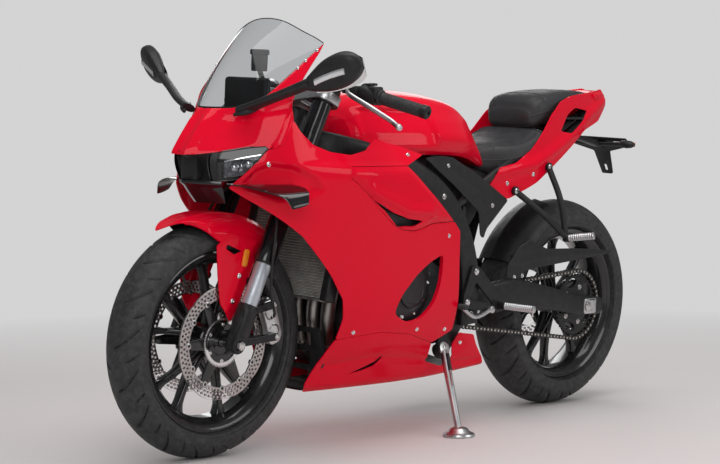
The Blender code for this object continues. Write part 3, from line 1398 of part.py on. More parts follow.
def make_plate_holder():
    """Under-tail tray, arm and slotted plate holder."""
    tray = []
    for x, z, half in ((-0.470, 0.725, 0.060), (-0.560, 0.770, 0.066), (-0.680, 0.830, 0.060),
                       (-0.780, 0.862, 0.044), (-0.850, 0.880, 0.030)):
        tray.append([(x, -half, z), (x, half, z), (x, half * 0.9, z + 0.012),
                     (x, -half * 0.9, z + 0.012)])
    made = loft(tray)
    arm = loft([
        [(x, -half, z), (x, half, z), (x, half, z + 0.016), (x, -half, z + 0.016)]
        for x, z, half in ((-0.640, 0.812, 0.020), (-0.720, 0.824, 0.018), (-0.810, 0.812, 0.016),
                           (-0.915, 0.790, 0.016))
    ])
    outline = [(-0.105, 0.066), (0.105, 0.066), (0.105, 0.038), (0.030, 0.018), (0.020, -0.062),
               (-0.020, -0.062), (-0.030, 0.018), (-0.105, 0.038)]
    slots = [
        [(-0.090, 0.046), (-0.050, 0.046), (-0.050, 0.054), (-0.090, 0.054)],
        [(0.050, 0.046), (0.090, 0.046), (0.090, 0.054), (0.050, 0.054)],
        [(-0.006, -0.050), (0.006, -0.050), (0.006, -0.030), (-0.006, -0.030)],
    ]
    tilt = Matrix.Translation((-0.935, 0, 0.758)) @ Matrix.Rotation(math.radians(27), 4, "Y")
    matrix = tilt @ Matrix.Rotation(math.pi / 2, 4, "Z") @ Matrix.Rotation(math.pi / 2, 4, "X")
    face = plate([outline, *slots], 0, 0.005, matrix)
    neck = rod((-0.900, 0, 0.799), (-0.936, 0, 0.775), 0.014, 10)
    stubs = []
    for side in (-1, 1):
        stubs.append(rod((-0.880, 0, 0.800), (-0.888, side * 0.135, 0.800), 0.008, 8))
        stubs.append(block((-0.905, side * 0.150 - 0.022, 0.789), (-0.872, side * 0.150 + 0.022, 0.811),
                           0.006))
    combine(made, [arm, face, neck, *stubs], "UNION")
    finish(made, "plate_holder", "black_plastic")


PEG_BOLTS = ((-0.135, 0.449), (-0.102, 0.365))


def make_footrests():
    outline = [(-0.085, 0.350), (-0.085, 0.380), (-0.118, 0.465), (-0.150, 0.462), (-0.262, 0.362),
               (-0.262, 0.335), (-0.232, 0.328)]
    hole = [(-0.110, 0.374), (-0.135, 0.420), (-0.215, 0.352)]
    for name_end, side in (("left", 1), ("right", -1)):
        made = plate([outline, hole], side * 0.1715, 0.008, bevel=0.001)
        tip = 0.390 if side > 0 else 0.345
        control = smooth_path([(-0.200, side * 0.181, 0.340), (-0.120, side * 0.190, 0.325),
                               (-0.045, side * 0.200, tip - 0.03)], 2)
        combine(made, [
            rod((-0.236, side * 0.170, 0.350), (-0.236, side * 0.205, 0.350), 0.017, 16),
            rod((-0.236, side * 0.200, 0.350), (-0.254, side * 0.292, 0.349), 0.0105, 12),
            rod((-0.253, side * 0.284, 0.351), (-0.257, side * 0.284, 0.325), 0.004, 8),
            rod((-0.200, side * 0.168, 0.340), (-0.200, side * 0.190, 0.340), 0.011, 12),
            tube([tuple(p) for p in control], 0.006, 1),
            rod((-0.045, side * 0.192, tip - 0.03), (-0.045, side * 0.238, tip - 0.03), 0.0075, 12),
        ], "UNION")
        finish(made, "footrest_" + name_end, "frame_black")


def make_pillion_footrests():
    for name_end, side in (("left", 1), ("right", -1)):
        made = tube([(-0.330, side * 0.1405, 0.668), (-0.420, side * 0.178, 0.600),
                     (-0.505, side * 0.196, 0.534)], 0.009, 2)
        combine(made, [
            tube([(-0.480, side * 0.1395, 0.735), (-0.492, side * 0.180, 0.640),
                  (-0.505, side * 0.196, 0.534)], 0.009, 2),
            rod((-0.508, side * 0.184, 0.532), (-0.508, side * 0.210, 0.532), 0.015, 12),
            rod((-0.508, side * 0.205, 0.532), (-0.524, side * 0.284, 0.545), 0.009, 12),
        ], "UNION")
        finish(made, "pillion_footrest_" + name_end, "frame_black")


def make_exhaust():
    """Four header pipes down to a collector and a short silencer on the right."""
    collector = rod((0.150, -0.020, 0.205), (-0.040, -0.075, 0.205), 0.038, 20)
    pieces = []
    for y in (-0.090, -0.032, 0.032, 0.090):
        path = smooth_path([(0.318, y, 0.500), (0.342, y, 0.430), (0.352, y * 0.95, 0.330),
                            (0.300, y * 0.8, 0.225), (0.140, y * 0.25 - 0.02, 0.205)], 2)
        pieces.append(tube([tuple(p) for p in path], 0.019, 1))
    pieces.append(rod((-0.030, -0.072, 0.205), (-0.150, -0.172, 0.232), 0.026, 16))
    pieces.append(rod((-0.130, -0.190, 0.225), (-0.400, -0.215, 0.275), 0.047, 20, 0.042))
    pieces.append(rod((-0.100, -0.140, 0.220), (-0.150, -0.192, 0.230), 0.030, 16, 0.044))
    combine(collector, pieces, "UNION")
    combine(collector, [rod((-0.350, -0.2104, 0.2657), (-0.420, -0.2168, 0.2787), 0.028, 16)],
            "DIFFERENCE")
    finish(collector, "exhaust", "exhaust_steel")


RADIATOR_RISE = 0.051


def make_radiator():
    turn = Euler((0, math.atan2(RADIATOR_RISE, 0.229), 0)).to_quaternion()
    centre = Vector((0.404 + RADIATOR_RISE / 2 - 0.020, 0, 0.520))
    core_half, tank_half = Vector((0.014, 0.150, 0.122)), Vector((0.018, 0.014, 0.126))
    core = block(centre - core_half, centre + core_half, 0.0, turn)
    tanks = []
    for side in (-1, 1):
        middle = centre + Vector((0, side * 0.160, 0))
        tanks.append(block(middle - tank_half, middle + tank_half, 0.005, turn))
    stays = [rod((0.428, side * 0.152, 0.628), (0.290, side * 0.112, 0.775), 0.007, 8)
             for side in (-1, 1)]
    combine(core, [*tanks, *stays], "UNION")
    finish(core, "radiator", "radiator_grey")


def make_rear_caliper():
    disc_centre = REAR_HUB + Vector((0, REAR_DISC_Y, 0))
    centre = disc_centre + Vector((0.0915, 0, 0.0850))
    size = Vector((0.030, 0.022, 0.020))
    made = block(centre - size, centre + size, 0.005, Euler((0, math.radians(43), 0)).to_quaternion())
    combine(made, [disc_slot(REAR_DISC_R, disc_centre)], "DIFFERENCE")
    finish(made, "rear_caliper", "frame_black")


def seat_pieces():
    """Seats covers on what carries them."""
    find = bpy.data.objects
    for name, carriers in (
        ("engine", ("frame",)),
        ("rear_shock", ("frame", "swingarm")),
        ("radiator", ("frame",)),
        ("lever_left", ("clip_on_left",)),
        ("lever_right", ("clip_on_right",)),
        ("brake_hose_left", ("lower_yoke", "fork_leg_left")),
        ("brake_hose_right", ("lower_yoke", "fork_leg_right")),
        ("exhaust", ("engine",)),
        ("fuel_tank", ("frame",)),
        ("tail_cowl", ("frame",)),
        ("rider_seat", ("frame", "tail_cowl", "fuel_tank")),
        ("pillion_seat", ("tail_cowl",)),
        ("side_fairing_left", ("headlamp_left",)),
        ("side_fairing_right", ("headlamp_right",)),
        ("nose_frame", ("upper_cowl", "windscreen", "headlamp_left", "headlamp_right",
                        "side_fairing_left", "side_fairing_right", "frame")),
        ("plate_holder", ("tail_cowl", "frame", "tail_lamp")),
        ("pillion_footrest_left", ("tail_cowl",)),
        ("pillion_footrest_right", ("tail_cowl",)),
        ("winglet_left", ("side_fairing_left", "headlamp_left")),
        ("winglet_right", ("side_fairing_right", "headlamp_right")),
        ("mirror_left", ("upper_cowl",)),
        ("mirror_right", ("upper_cowl",)),
    ):
        fit_around(find[name], [find[carrier_name] for carrier_name in carriers])


def build():
    make_wheels()
    make_fork()
    make_yokes()
    make_bars()
    make_hoses()
    make_fender()
    make_front_calipers()
    make_frame()
    make_engine()
    make_chain()
    make_swingarm()
    make_hugger()
    make_shock()
    make_stand()
    make_side_fairings()
    make_belly_pan()
    make_upper_cowl()
    make_screen()
    make_lamps()
    make_nose()
    make_winglets()
    make_mirrors()
    make_lower_duct()
    make_tank()
    make_seats()
    make_tail()
    make_plate_holder()
    make_footrests()
    make_pillion_footrests()
    make_exhaust()
    make_radiator()
    make_rear_caliper()
    seat_pieces()
    make_side_covers()


def lean_over():
    """Leans the bike onto its stand and centres its bounding box over the origin."""
    BIKE.rotation_euler = (-LEAN, 0, 0)
    bpy.context.view_layer.update()
    corners = [
        obj.matrix_world @ vertex.co
        for obj in PARTS.objects
        if obj.type == "MESH"
        for vertex in obj.data.vertices
    ]
    for i in (0, 1):
        values = [corner[i] for corner in corners]
        BIKE.location[i] = -(min(values) + max(values)) / 2
    BIKE.location.z = -min(corner.z for corner in corners)
    bpy.context.view_layer.update()


build()
lean_over()
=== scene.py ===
"""Looks of the faired sport bike: modelled skins, materials, light and camera around the CAD frame.

Everything is authored in the upright bike frame (x forwards, y left, z up, origin on the ground
midway between the axles) and moved by BIKE into the row frame.
"""

import json
import math

import bmesh
import bpy
import numpy as np
from mathutils import Matrix, Vector, geometry


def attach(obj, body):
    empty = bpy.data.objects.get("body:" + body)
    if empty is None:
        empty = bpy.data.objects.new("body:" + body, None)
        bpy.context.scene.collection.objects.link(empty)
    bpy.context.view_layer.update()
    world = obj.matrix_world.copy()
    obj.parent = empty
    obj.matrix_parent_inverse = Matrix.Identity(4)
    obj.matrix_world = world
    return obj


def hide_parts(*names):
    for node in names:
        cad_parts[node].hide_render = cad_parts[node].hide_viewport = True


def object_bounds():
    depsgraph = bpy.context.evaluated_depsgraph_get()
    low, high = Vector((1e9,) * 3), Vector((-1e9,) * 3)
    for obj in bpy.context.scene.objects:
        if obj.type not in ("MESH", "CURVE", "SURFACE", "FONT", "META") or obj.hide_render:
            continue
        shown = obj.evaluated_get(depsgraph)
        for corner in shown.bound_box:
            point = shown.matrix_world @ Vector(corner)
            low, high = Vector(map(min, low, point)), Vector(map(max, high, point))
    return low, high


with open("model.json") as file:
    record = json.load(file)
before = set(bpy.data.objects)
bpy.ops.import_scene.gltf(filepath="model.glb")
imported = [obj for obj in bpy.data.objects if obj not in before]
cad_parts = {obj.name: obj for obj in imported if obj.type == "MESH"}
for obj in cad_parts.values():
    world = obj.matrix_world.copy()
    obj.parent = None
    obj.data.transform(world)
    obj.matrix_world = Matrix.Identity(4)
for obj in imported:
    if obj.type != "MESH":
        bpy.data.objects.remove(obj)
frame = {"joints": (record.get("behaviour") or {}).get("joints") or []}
CAD_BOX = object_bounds()
JOINTS = {j["name"]: j for j in frame["joints"]}
SIDES = (("left", 1), ("right", -1))

WHEELBASE = 1.405
FRONT_HUB = Vector((WHEELBASE / 2, 0, 0.300))
REAR_HUB = Vector((-WHEELBASE / 2, 0, 0.313))
SPIN_AXIS = Vector(JOINTS["front_wheel_spin"]["axis"])
LEAN = math.atan2(-SPIN_AXIS.z, SPIN_AXIS.y)
TURN = Matrix.Rotation(-LEAN, 4, "X")
SHIFT = Vector(JOINTS["front_wheel_spin"]["pos_m"]) - TURN @ FRONT_HUB
BIKE = Matrix.Translation(SHIFT) @ TURN

RAKE = math.radians(24.5)
FORK_DIR = Vector((-math.sin(RAKE), 0, math.cos(RAKE)))
FORK_ACROSS = Vector((math.cos(RAKE), 0, math.sin(RAKE)))
FORK_Y = 0.106
STEM_ACROSS = -0.0352
# the height of the fork legs' ends
FORK_FOOT = 0.385
GRIP_IN, GRIP_OUT = Vector((0.350, 0.235, 0.924)), Vector((0.316, 0.372, 0.891))
BAR_ROOT = Vector((0.392, 0.122, 0.948))

STAND_PIVOT = Vector((-0.040, 0.150, 0.238))
STAND_AXIS = Vector((0, 0.925, 0.379)).normalized()

CHAIN_Y, CHAIN_PITCH = 0.0913, 0.0159
FRONT_PITCH_R, REAR_PITCH_R = 0.038, 0.103
# a radius that closes a turned end
ON_AXIS = 1e-5


def at_fork(z, across=0.0, y=0.0):
    """A point on the fork leg's centre line at height z, moved across the fork and sideways."""
    along_leg = FORK_DIR * ((z - 0.3) / math.cos(RAKE))
    return FRONT_HUB + along_leg + FORK_ACROSS * across + Vector((0, y, 0))


# Materials

# a noise's scale and a bump's depth in metres
FINE_GRAIN = (220.0, 0.00004)
COAT_ROUGH, CLEAR_ROUGH = 0.04, 0.03


def placed(name, data):
    """A new object in the scene."""
    made = bpy.data.objects.new(name, data)
    bpy.context.scene.collection.objects.link(made)
    return made


def node(tree, kind, **values):
    made = tree.nodes.new(kind)
    for key, value in values.items():
        setattr(made, key, value)
    return made


def noise_of(tree, scale, detail=4.0, rough=0.55):
    """A noise on object coordinates."""
    made = node(tree, "ShaderNodeTexNoise")
    for key, value in (("Scale", scale), ("Detail", detail), ("Roughness", rough)):
        made.inputs[key].default_value = value
    tree.links.new(node(tree, "ShaderNodeTexCoord").outputs["Object"], made.inputs["Vector"])
    return made.outputs["Fac"]


def ranged(tree, value, low, high, start=0.3, end=0.7):
    made = node(tree, "ShaderNodeMapRange")
    for key, number in (("From Min", start), ("From Max", end), ("To Min", low), ("To Max", high)):
        made.inputs[key].default_value = number
    tree.links.new(value, made.inputs["Value"])
    return made.outputs["Result"]


def mixed(tree, factor, low, high):
    made = node(tree, "ShaderNodeMix", data_type="RGBA")
    tree.links.new(factor, made.inputs[0])
    for place, colour in ((6, low), (7, high)):
        if isinstance(colour, tuple):
            made.inputs[place].default_value = (*colour, 1)
        else:
            tree.links.new(colour, made.inputs[place])
    return made.outputs[2]


def product(tree, operation, first, second):
    """A math node's result; the second value is a socket or a number."""
    made = node(tree, "ShaderNodeMath", operation=operation)
    tree.links.new(first, made.inputs[0])
    if isinstance(second, (int, float)):
        made.inputs[1].default_value = second
    else:
        tree.links.new(second, made.inputs[1])
    return made.outputs["Value"]


def blended(tree, factor, first, second):
    """Two shaders mixed by a factor."""
    made = node(tree, "ShaderNodeMixShader")
    for place, socket in enumerate((factor, first, second)):
        tree.links.new(socket, made.inputs[place])
    return made.outputs["Shader"]


def finish_of(name, colour, rough, metal=0.0, vary=0.10, rough_vary=0.25, scale=9.0,
              grain=FINE_GRAIN, coat=0.0, dust=0.0, specular=0.5):
    """A Principled finish whose colour, roughness and surface all follow noises."""
    made = bpy.data.materials.new(name)
    made.use_nodes = True
    tree = made.node_tree
    shader = tree.nodes["Principled BSDF"]
    for key, value in (("Metallic", metal), ("Specular IOR Level", specular), ("Coat Weight", coat),
                       ("Coat Roughness", COAT_ROUGH)):
        shader.inputs[key].default_value = value
    dark = tuple(c * (1 - vary) for c in colour)
    light = tuple(min(1.0, c * (1 + vary)) for c in colour)
    shade = mixed(tree, ranged(tree, noise_of(tree, scale), 0, 1), dark, light)
    if dust:
        specks = noise_of(tree, scale * 5, 8.0, 0.7)
        grey = tuple(0.5 * c + 0.09 for c in colour)
        shade = mixed(tree, ranged(tree, specks, 0, dust, 0.45, 0.75), shade, grey)
    tree.links.new(shade, shader.inputs["Base Color"])
    uneven = noise_of(tree, scale * 3, 5.0, 0.6)
    low, high = rough * (1 - rough_vary), min(1.0, rough * (1 + rough_vary))
    tree.links.new(ranged(tree, uneven, low, high), shader.inputs["Roughness"])
    size, depth = grain
    bump = node(tree, "ShaderNodeBump")
    bump.inputs["Strength"].default_value = 0.6
    bump.inputs["Distance"].default_value = depth
    tree.links.new(noise_of(tree, size, 3.0, 0.6), bump.inputs["Height"])
    tree.links.new(bump.outputs["Normal"], shader.inputs["Normal"])
    return made


def clear_of(name, tint, gloss):
    """Thin clear sheet: light passes, tinted, under a grazing sheen."""
    made = bpy.data.materials.new(name)
    made.use_nodes = True
    tree = made.node_tree
    tree.nodes.clear()
    passing = node(tree, "ShaderNodeBsdfTransparent")
    low = tuple(c * 0.97 for c in tint)
    shade = mixed(tree, ranged(tree, noise_of(tree, 6.0), 0, 1), low, tint)
    tree.links.new(shade, passing.inputs["Color"])
    sheen = node(tree, "ShaderNodeBsdfGlossy")
    tree.links.new(ranged(tree, noise_of(tree, 30.0), CLEAR_ROUGH * 0.6, CLEAR_ROUGH * 1.6),
                   sheen.inputs["Roughness"])
    fresnel = node(tree, "ShaderNodeFresnel")
    fresnel.inputs["IOR"].default_value = 1.45
    weight = product(tree, "MULTIPLY", fresnel.outputs["Fac"], gloss)
    shader = blended(tree, weight, passing.outputs["BSDF"], sheen.outputs["BSDF"])
    tree.links.new(shader, node(tree, "ShaderNodeOutputMaterial").inputs["Surface"])
    return made


# the material slot, colour and roughness of each finish, and what differs from finish_of's values
FINISHES = {
    "red": ("red_paint", (0.74, 0.0008, 0.021), 0.34,
            dict(vary=0.04, rough_vary=0.15, scale=3.0, grain=(60.0, 0.00001), coat=0.33,
                 specular=0.03)),
    "plastic": ("black_plastic", (0.013, 0.013, 0.014), 0.46,
                dict(scale=8.0, grain=(900.0, 0.00010), dust=0.12, specular=0.35)),
    "gloss_black": ("black_plastic", (0.006, 0.006, 0.007), 0.14,
                    dict(scale=6.0, coat=0.5, specular=0.4)),
    "satin": ("frame_black", (0.012, 0.012, 0.013), 0.40,
              dict(metal=0.1, scale=10.0, grain=(700.0, 0.00008), dust=0.15, specular=0.35)),
    "rubber": ("tyre_rubber", (0.020, 0.020, 0.021), 0.62,
               dict(scale=14.0, grain=(600.0, 0.00015), dust=0.45, rough_vary=0.15)),
    "wheel": ("wheel_black", (0.012, 0.012, 0.013), 0.22,
              dict(metal=0.3, scale=7.0, coat=0.5, dust=0.2)),
    "stanchion": ("bright_steel", (0.50, 0.53, 0.58), 0.42, dict(metal=0.6, scale=20.0, vary=0.06)),
    "steel": ("bright_steel", (0.62, 0.61, 0.60), 0.24, dict(metal=1.0, scale=20.0)),
    "disc": ("disc_steel", (0.50, 0.47, 0.46), 0.34,
             dict(metal=1.0, scale=30.0, grain=(160.0, 0.00005))),
    "chrome": ("bright_steel", (0.78, 0.78, 0.78), 0.12, dict(metal=1.0, vary=0.05, scale=25.0)),
    "alloy": ("alloy", (0.60, 0.60, 0.61), 0.34,
              dict(metal=1.0, scale=18.0, grain=(500.0, 0.00008))),
    "cast": ("engine_grey", (0.034, 0.034, 0.037), 0.42,
             dict(metal=0.5, scale=12.0, grain=(350.0, 0.00018), dust=0.15)),
    "pipe": ("exhaust_steel", (0.40, 0.38, 0.36), 0.42, dict(metal=1.0, vary=0.2, scale=6.0)),
    "chain": ("chain_steel", (0.085, 0.080, 0.074), 0.42,
              dict(metal=0.9, vary=0.3, scale=60.0, dust=0.2)),
    "seat": ("seat_vinyl", (0.023, 0.023, 0.025), 0.55,
             dict(scale=14.0, grain=(420.0, 0.00030), vary=0.12)),
    "thread": ("seat_vinyl", (0.055, 0.055, 0.058), 0.7, dict(scale=50.0)),
    "fin": ("radiator_grey", (0.56, 0.55, 0.51), 0.50,
            dict(metal=0.5, vary=0.2, scale=40.0, dust=0.2)),
    "core": ("radiator_grey", (0.060, 0.058, 0.054), 0.6, dict(metal=0.3, scale=40.0, dust=0.3)),
    "amber": ("lamp_lens", (0.85, 0.24, 0.01), 0.18,
              dict(vary=0.12, scale=60.0, coat=0.6, grain=(240.0, 0.0003))),
    "tail_red": ("tail_lens", (0.36, 0.008, 0.010), 0.14, dict(vary=0.15, scale=40.0, coat=0.8)),
    "bulb": ("bright_steel", (0.80, 0.82, 0.84), 0.10, dict(metal=0.9, vary=0.05, scale=30.0)),
    "reflector": ("bright_steel", (0.34, 0.35, 0.37), 0.30, dict(metal=0.7, scale=40.0, vary=0.3)),
    "grip": ("black_plastic", (0.018, 0.018, 0.019), 0.62,
             dict(scale=25.0, grain=(500.0, 0.0003), dust=0.3)),
    "face": ("black_plastic", (0.010, 0.011, 0.013), 0.12, dict(scale=6.0, coat=1.0)),
}
# the slot, tint and strength of the sheen of each clear sheet
CLEAR = {"screen": ("screen", (0.66, 0.675, 0.69), 1.0),
         "lens": ("lamp_lens", (0.72, 0.73, 0.75), 1.4)}
M = {key: finish_of(key, colour, rough, **more)
     for key, (_, colour, rough, more) in FINISHES.items()}
M.update({key: clear_of(key, tint, gloss) for key, (_, tint, gloss) in CLEAR.items()})


# Mesh kit


class Piece:
    """Collects shapes in the bike frame and becomes one shown object."""

    def __init__(self, name, body, *nodes):
        self.name, self.body, self.nodes = name, body, nodes
        self.verts, self.faces, self.marks, self.used = [], [], [], []

    def add(self, shape, material):
        verts, faces = shape
        if material not in self.used:
            self.used.append(material)
        base = len(self.verts)
        self.verts += [tuple(v) for v in verts]
        self.faces += [tuple(base + i for i in f) for f in faces]
        self.marks += [self.used.index(material)] * len(faces)

    def add_all(self, parts, side=1):
        """Adds (shape, material) parts; side -1 puts them on the right."""
        for shape, material in parts:
            self.add(moved(shape, Matrix.Diagonal((1, side, 1, 1))), material)

    def add_both(self, parts):
        """Adds the left side's parts, then the same on the right."""
        for shape, material in parts:
            self.add(shape, material)
        for shape, material in parts:
            self.add(mirrored(shape), material)

    def done(self, angle=40):
        """Makes the object; edges sharper than the angle in degrees stay sharp."""
        mesh = bpy.data.meshes.new(self.name)
        mesh.from_pydata(self.verts, [], self.faces)
        bm = bmesh.new()
        bm.from_mesh(mesh)
        bmesh.ops.recalc_face_normals(bm, faces=bm.faces)
        bm.to_mesh(mesh)
        bm.free()
        mesh.polygons.foreach_set("material_index", self.marks)
        for key in self.used:
            mesh.materials.append(M[key])
        mesh.transform(BIKE)
        mesh.shade_smooth()
        mesh.set_sharp_from_angle(angle=math.radians(angle))
        made = placed(self.name, mesh)
        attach(made, self.body)
        if self.nodes:
            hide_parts(*self.nodes)
        return made


def moved(shape, matrix):
    return [matrix @ Vector(v) for v in shape[0]], shape[1]


def mirrored(shape):
    """The shape on the other side of the bike, with its faces turned to match."""
    return [(v[0], -v[1], v[2]) for v in shape[0]], [tuple(reversed(f)) for f in shape[1]]


def around(count, start=0.0):
    """The angles of count equal steps of a turn."""
    return [2 * math.pi * (i + start) / count for i in range(count)]


def polar(r, a, y=0.0):
    """A point at radius r and angle a about the y axis."""
    return Vector((r * math.cos(a), y, r * math.sin(a)))


def squared(count, power, power_v=None):
    """Points round a superellipse that reaches 1 each way."""
    def bent(value, power):
        return math.copysign(abs(value) ** power, value)
    return [(bent(math.cos(a), power), bent(math.sin(a), power_v or power)) for a in around(count)]


def joined(*shapes):
    verts, faces = [], []
    for shape in shapes:
        base = len(verts)
        verts += list(shape[0])
        faces += [tuple(base + i for i in f) for f in shape[1]]
    return verts, faces


def band_faces(n, steps, closed):
    """The faces between steps sections of n points, set in a ring."""
    faces = []
    for i in range(steps):
        j = (i + 1) % steps
        for k in range(n if closed else n - 1):
            m = (k + 1) % n
            faces.append((i * n + k, i * n + m, j * n + m, j * n + k))
    return faces


def lathe(profile, steps=96, closed=True):
    """A ring about y from (radius, y) pairs."""
    verts = [(r * math.cos(a), y, r * math.sin(a)) for a in around(steps) for r, y in profile]
    return verts, band_faces(len(profile), steps, closed)


def loft(rings):
    """A closed skin over rings of equal length, with flat ends."""
    n, last = len(rings[0]), len(rings)
    verts = [tuple(p) for ring in rings for p in ring]
    faces = []
    for i in range(last - 1):
        for k in range(n):
            j = (k + 1) % n
            faces.append((i * n + k, i * n + j, (i + 1) * n + j, (i + 1) * n + k))
    faces.append(tuple(range(n)))
    faces.append(tuple(reversed(range((last - 1) * n, last * n))))
    return verts, faces


def sheet(rows):
    """An open surface through rows of points."""
    n = len(rows[0])
    verts = [tuple(p) for row in rows for p in row]
    faces = []
    for i in range(len(rows) - 1):
        for k in range(n - 1):
            faces.append((i * n + k, i * n + k + 1, (i + 1) * n + k + 1, (i + 1) * n + k))
    return verts, faces


def rims(rows, inner):
    """The four narrow edges between a sheet and its inner face."""
    pairs = ((rows[0], inner[0]), (rows[-1], inner[-1]),
             ([r[0] for r in rows], [r[0] for r in inner]),
             ([r[-1] for r in rows], [r[-1] for r in inner]))
    return [sheet([a, b]) for a, b in pairs]


def basis(direction):
    d = Vector(direction).normalized()
    return d.to_track_quat("Z", "Y").to_matrix()


def turned(profile, start, direction, steps=32):
    """A solid turned about a direction from (radius, along) pairs; ends close on the axis."""
    m = basis(direction)
    rings = []
    for r, h in profile:
        r = max(r, ON_AXIS)
        rings.append([Vector(start) + m @ Vector((r * math.cos(a), r * math.sin(a), h))
                      for a in around(steps)])
    return loft(rings)


def cyl(start, end, r, r2=None, steps=32, round_=0.0008):
    start, end = Vector(start), Vector(end)
    length = (end - start).length
    r2 = r if r2 is None else r2
    e = min(round_, r * 0.4, r2 * 0.4, length * 0.3)
    profile = [(r - e, 0), (r - e * 0.3, e * 0.3), (r, e), (r2, length - e),
               (r2 - e * 0.3, length - e * 0.3), (r2 - e, length)]
    return turned(profile, start, end - start, steps)


def smooth(points, per_span=8):
    """A Catmull-Rom path through the points."""
    pts = [Vector(p) for p in points]
    ends = [pts[0] * 2 - pts[1], *pts, pts[-1] * 2 - pts[-2]]
    path = []
    for a, b, c, d in zip(ends, ends[1:], ends[2:], ends[3:]):
        for i in range(per_span):
            t = i / per_span
            path.append(0.5 * (2 * b + (c - a) * t + (2 * a - 5 * b + 4 * c - d) * t * t
                               + (3 * b - a - 3 * c + d) * t ** 3))
    return [*path, pts[-1]]


def tube(points, radius, steps=16):
    """A round bar along points; radius is a number or a list."""
    pts = [Vector(p) for p in points]
    radii = radius if isinstance(radius, (list, tuple)) else [radius] * len(pts)
    rings, side = [], None
    for i, p in enumerate(pts):
        way = (pts[min(i + 1, len(pts) - 1)] - pts[max(i - 1, 0)]).normalized()
        if side is None:
            side = way.orthogonal().normalized()
        side = (side - way * side.dot(way)).normalized()
        up = way.cross(side)
        rings.append([p + (side * math.cos(a) + up * math.sin(a)) * radii[i]
                      for a in around(steps)])
    return loft(rings)


def from_bm(bm):
    bm.verts.index_update()
    shape = ([v.co.copy() for v in bm.verts], [tuple(v.index for v in f.verts) for f in bm.faces])
    bm.free()
    return shape


def box(low, high, bevel=0.002, segments=2):
    """A box between two corners with rounded edges."""
    low, high = Vector(low), Vector(high)
    bm = bmesh.new()
    bmesh.ops.create_cube(bm, size=1.0)
    bmesh.ops.scale(bm, vec=high - low, verts=bm.verts)
    bmesh.ops.bevel(bm, geom=list(bm.edges), offset=bevel, segments=segments, affect="EDGES",
                    profile=0.5)
    bmesh.ops.transform(bm, matrix=Matrix.Translation((low + high) / 2), verts=bm.verts)
    return from_bm(bm)


def rounded(outline, radius=0.006, steps=4):
    """The outline with its corners filleted."""
    made = []
    n = len(outline)
    for i in range(n):
        a, b, c = (Vector(outline[(i + k) % n]).to_2d() for k in (-1, 0, 1))
        u, v = a - b, c - b
        cut = min(radius, u.length * 0.45, v.length * 0.45)
        p, q = b + u.normalized() * cut, b + v.normalized() * cut
        for k in range(steps + 1):
            t = k / steps
            made.append(tuple(p * (1 - t) ** 2 + b * 2 * t * (1 - t) + q * t * t))
    return made


XZ = Matrix.Rotation(math.pi / 2, 4, "X")


def flat(outlines, thickness, bevel=0.0008):
    """A plate from outlines in x and z (the first is the edge, the rest are holes), about y = 0."""
    data = bpy.data.curves.new("outline", "CURVE")
    data.dimensions = "2D"
    data.fill_mode = "BOTH"
    data.extrude = thickness / 2 - bevel
    data.bevel_depth = bevel
    data.bevel_resolution = 1
    data.offset = -bevel
    for outline in outlines:
        spline = data.splines.new("POLY")
        spline.use_cyclic_u = True
        spline.points.add(len(outline) - 1)
        for point, (px, pz) in zip(spline.points, outline):
            point.co = (px, pz, 0, 1)
    obj = placed("outline", data)
    bpy.context.view_layer.update()
    mesh = bpy.data.meshes.new_from_object(obj.evaluated_get(bpy.context.evaluated_depsgraph_get()))
    bm = bmesh.new()
    bm.from_mesh(mesh)
    bmesh.ops.remove_doubles(bm, verts=bm.verts, dist=0.00002)
    bmesh.ops.transform(bm, matrix=XZ, verts=bm.verts)
    bpy.data.objects.remove(obj)
    bpy.data.meshes.remove(mesh)
    return from_bm(bm)


def plate(outlines, thickness, y, bevel=0.0008):
    """The same plate about another y."""
    return moved(flat(outlines, thickness, bevel), Matrix.Translation((0, y, 0)))


def circle(cx, cz, r, steps=24):
    return [(cx + r * math.cos(a), cz + r * math.sin(a)) for a in around(steps)]


def slot_hole(a, b, r, steps=8):
    """A round-ended slot between two points."""
    way = math.atan2(b[1] - a[1], b[0] - a[0])
    out = []
    for (x, z), start in ((b, way - math.pi / 2), (a, way + math.pi / 2)):
        turns = [start + math.pi * i / steps for i in range(steps + 1)]
        out += [(x + r * math.cos(t), z + r * math.sin(t)) for t in turns]
    return out


def bolt(place, way, r=0.006, height=0.004, washer=True):
    """A socket-head screw standing on a surface."""
    parts = []
    place, way = Vector(place), Vector(way).normalized()
    if washer:
        parts.append(cyl(place - way * 0.001, place + way * 0.001, r * 1.35, steps=20,
                         round_=0.0004))
    head = [(r, 0.0), (r, height * 0.7), (r * 0.8, height), (r * 0.52, height),
            (r * 0.5, height * 0.45), (0.0, height * 0.45)]
    parts.append(turned(head, place, way, 18))
    return joined(*parts)


def inside(polygon, xs, zs):
    """Even-odd test of many points."""
    poly = np.array(polygon)
    hit = np.zeros(len(xs), bool)
    px, pz = poly[:, 0], poly[:, 1]
    qx, qz = np.roll(px, -1), np.roll(pz, -1)
    for ax, az, bx, bz in zip(px, pz, qx, qz):
        if az == bz:
            continue
        cross = (az > zs) != (bz > zs)
        hit ^= cross & (xs < (bx - ax) * (zs - az) / (bz - az) + ax)
    return hit


def densified(outline, cell):
    out = []
    n = len(outline)
    for i in range(n):
        a, b = Vector(outline[i]).to_2d(), Vector(outline[(i + 1) % n]).to_2d()
        count = max(1, round((b - a).length / cell))
        out += [tuple(a.lerp(b, k / count)) for k in range(count)]
    return out


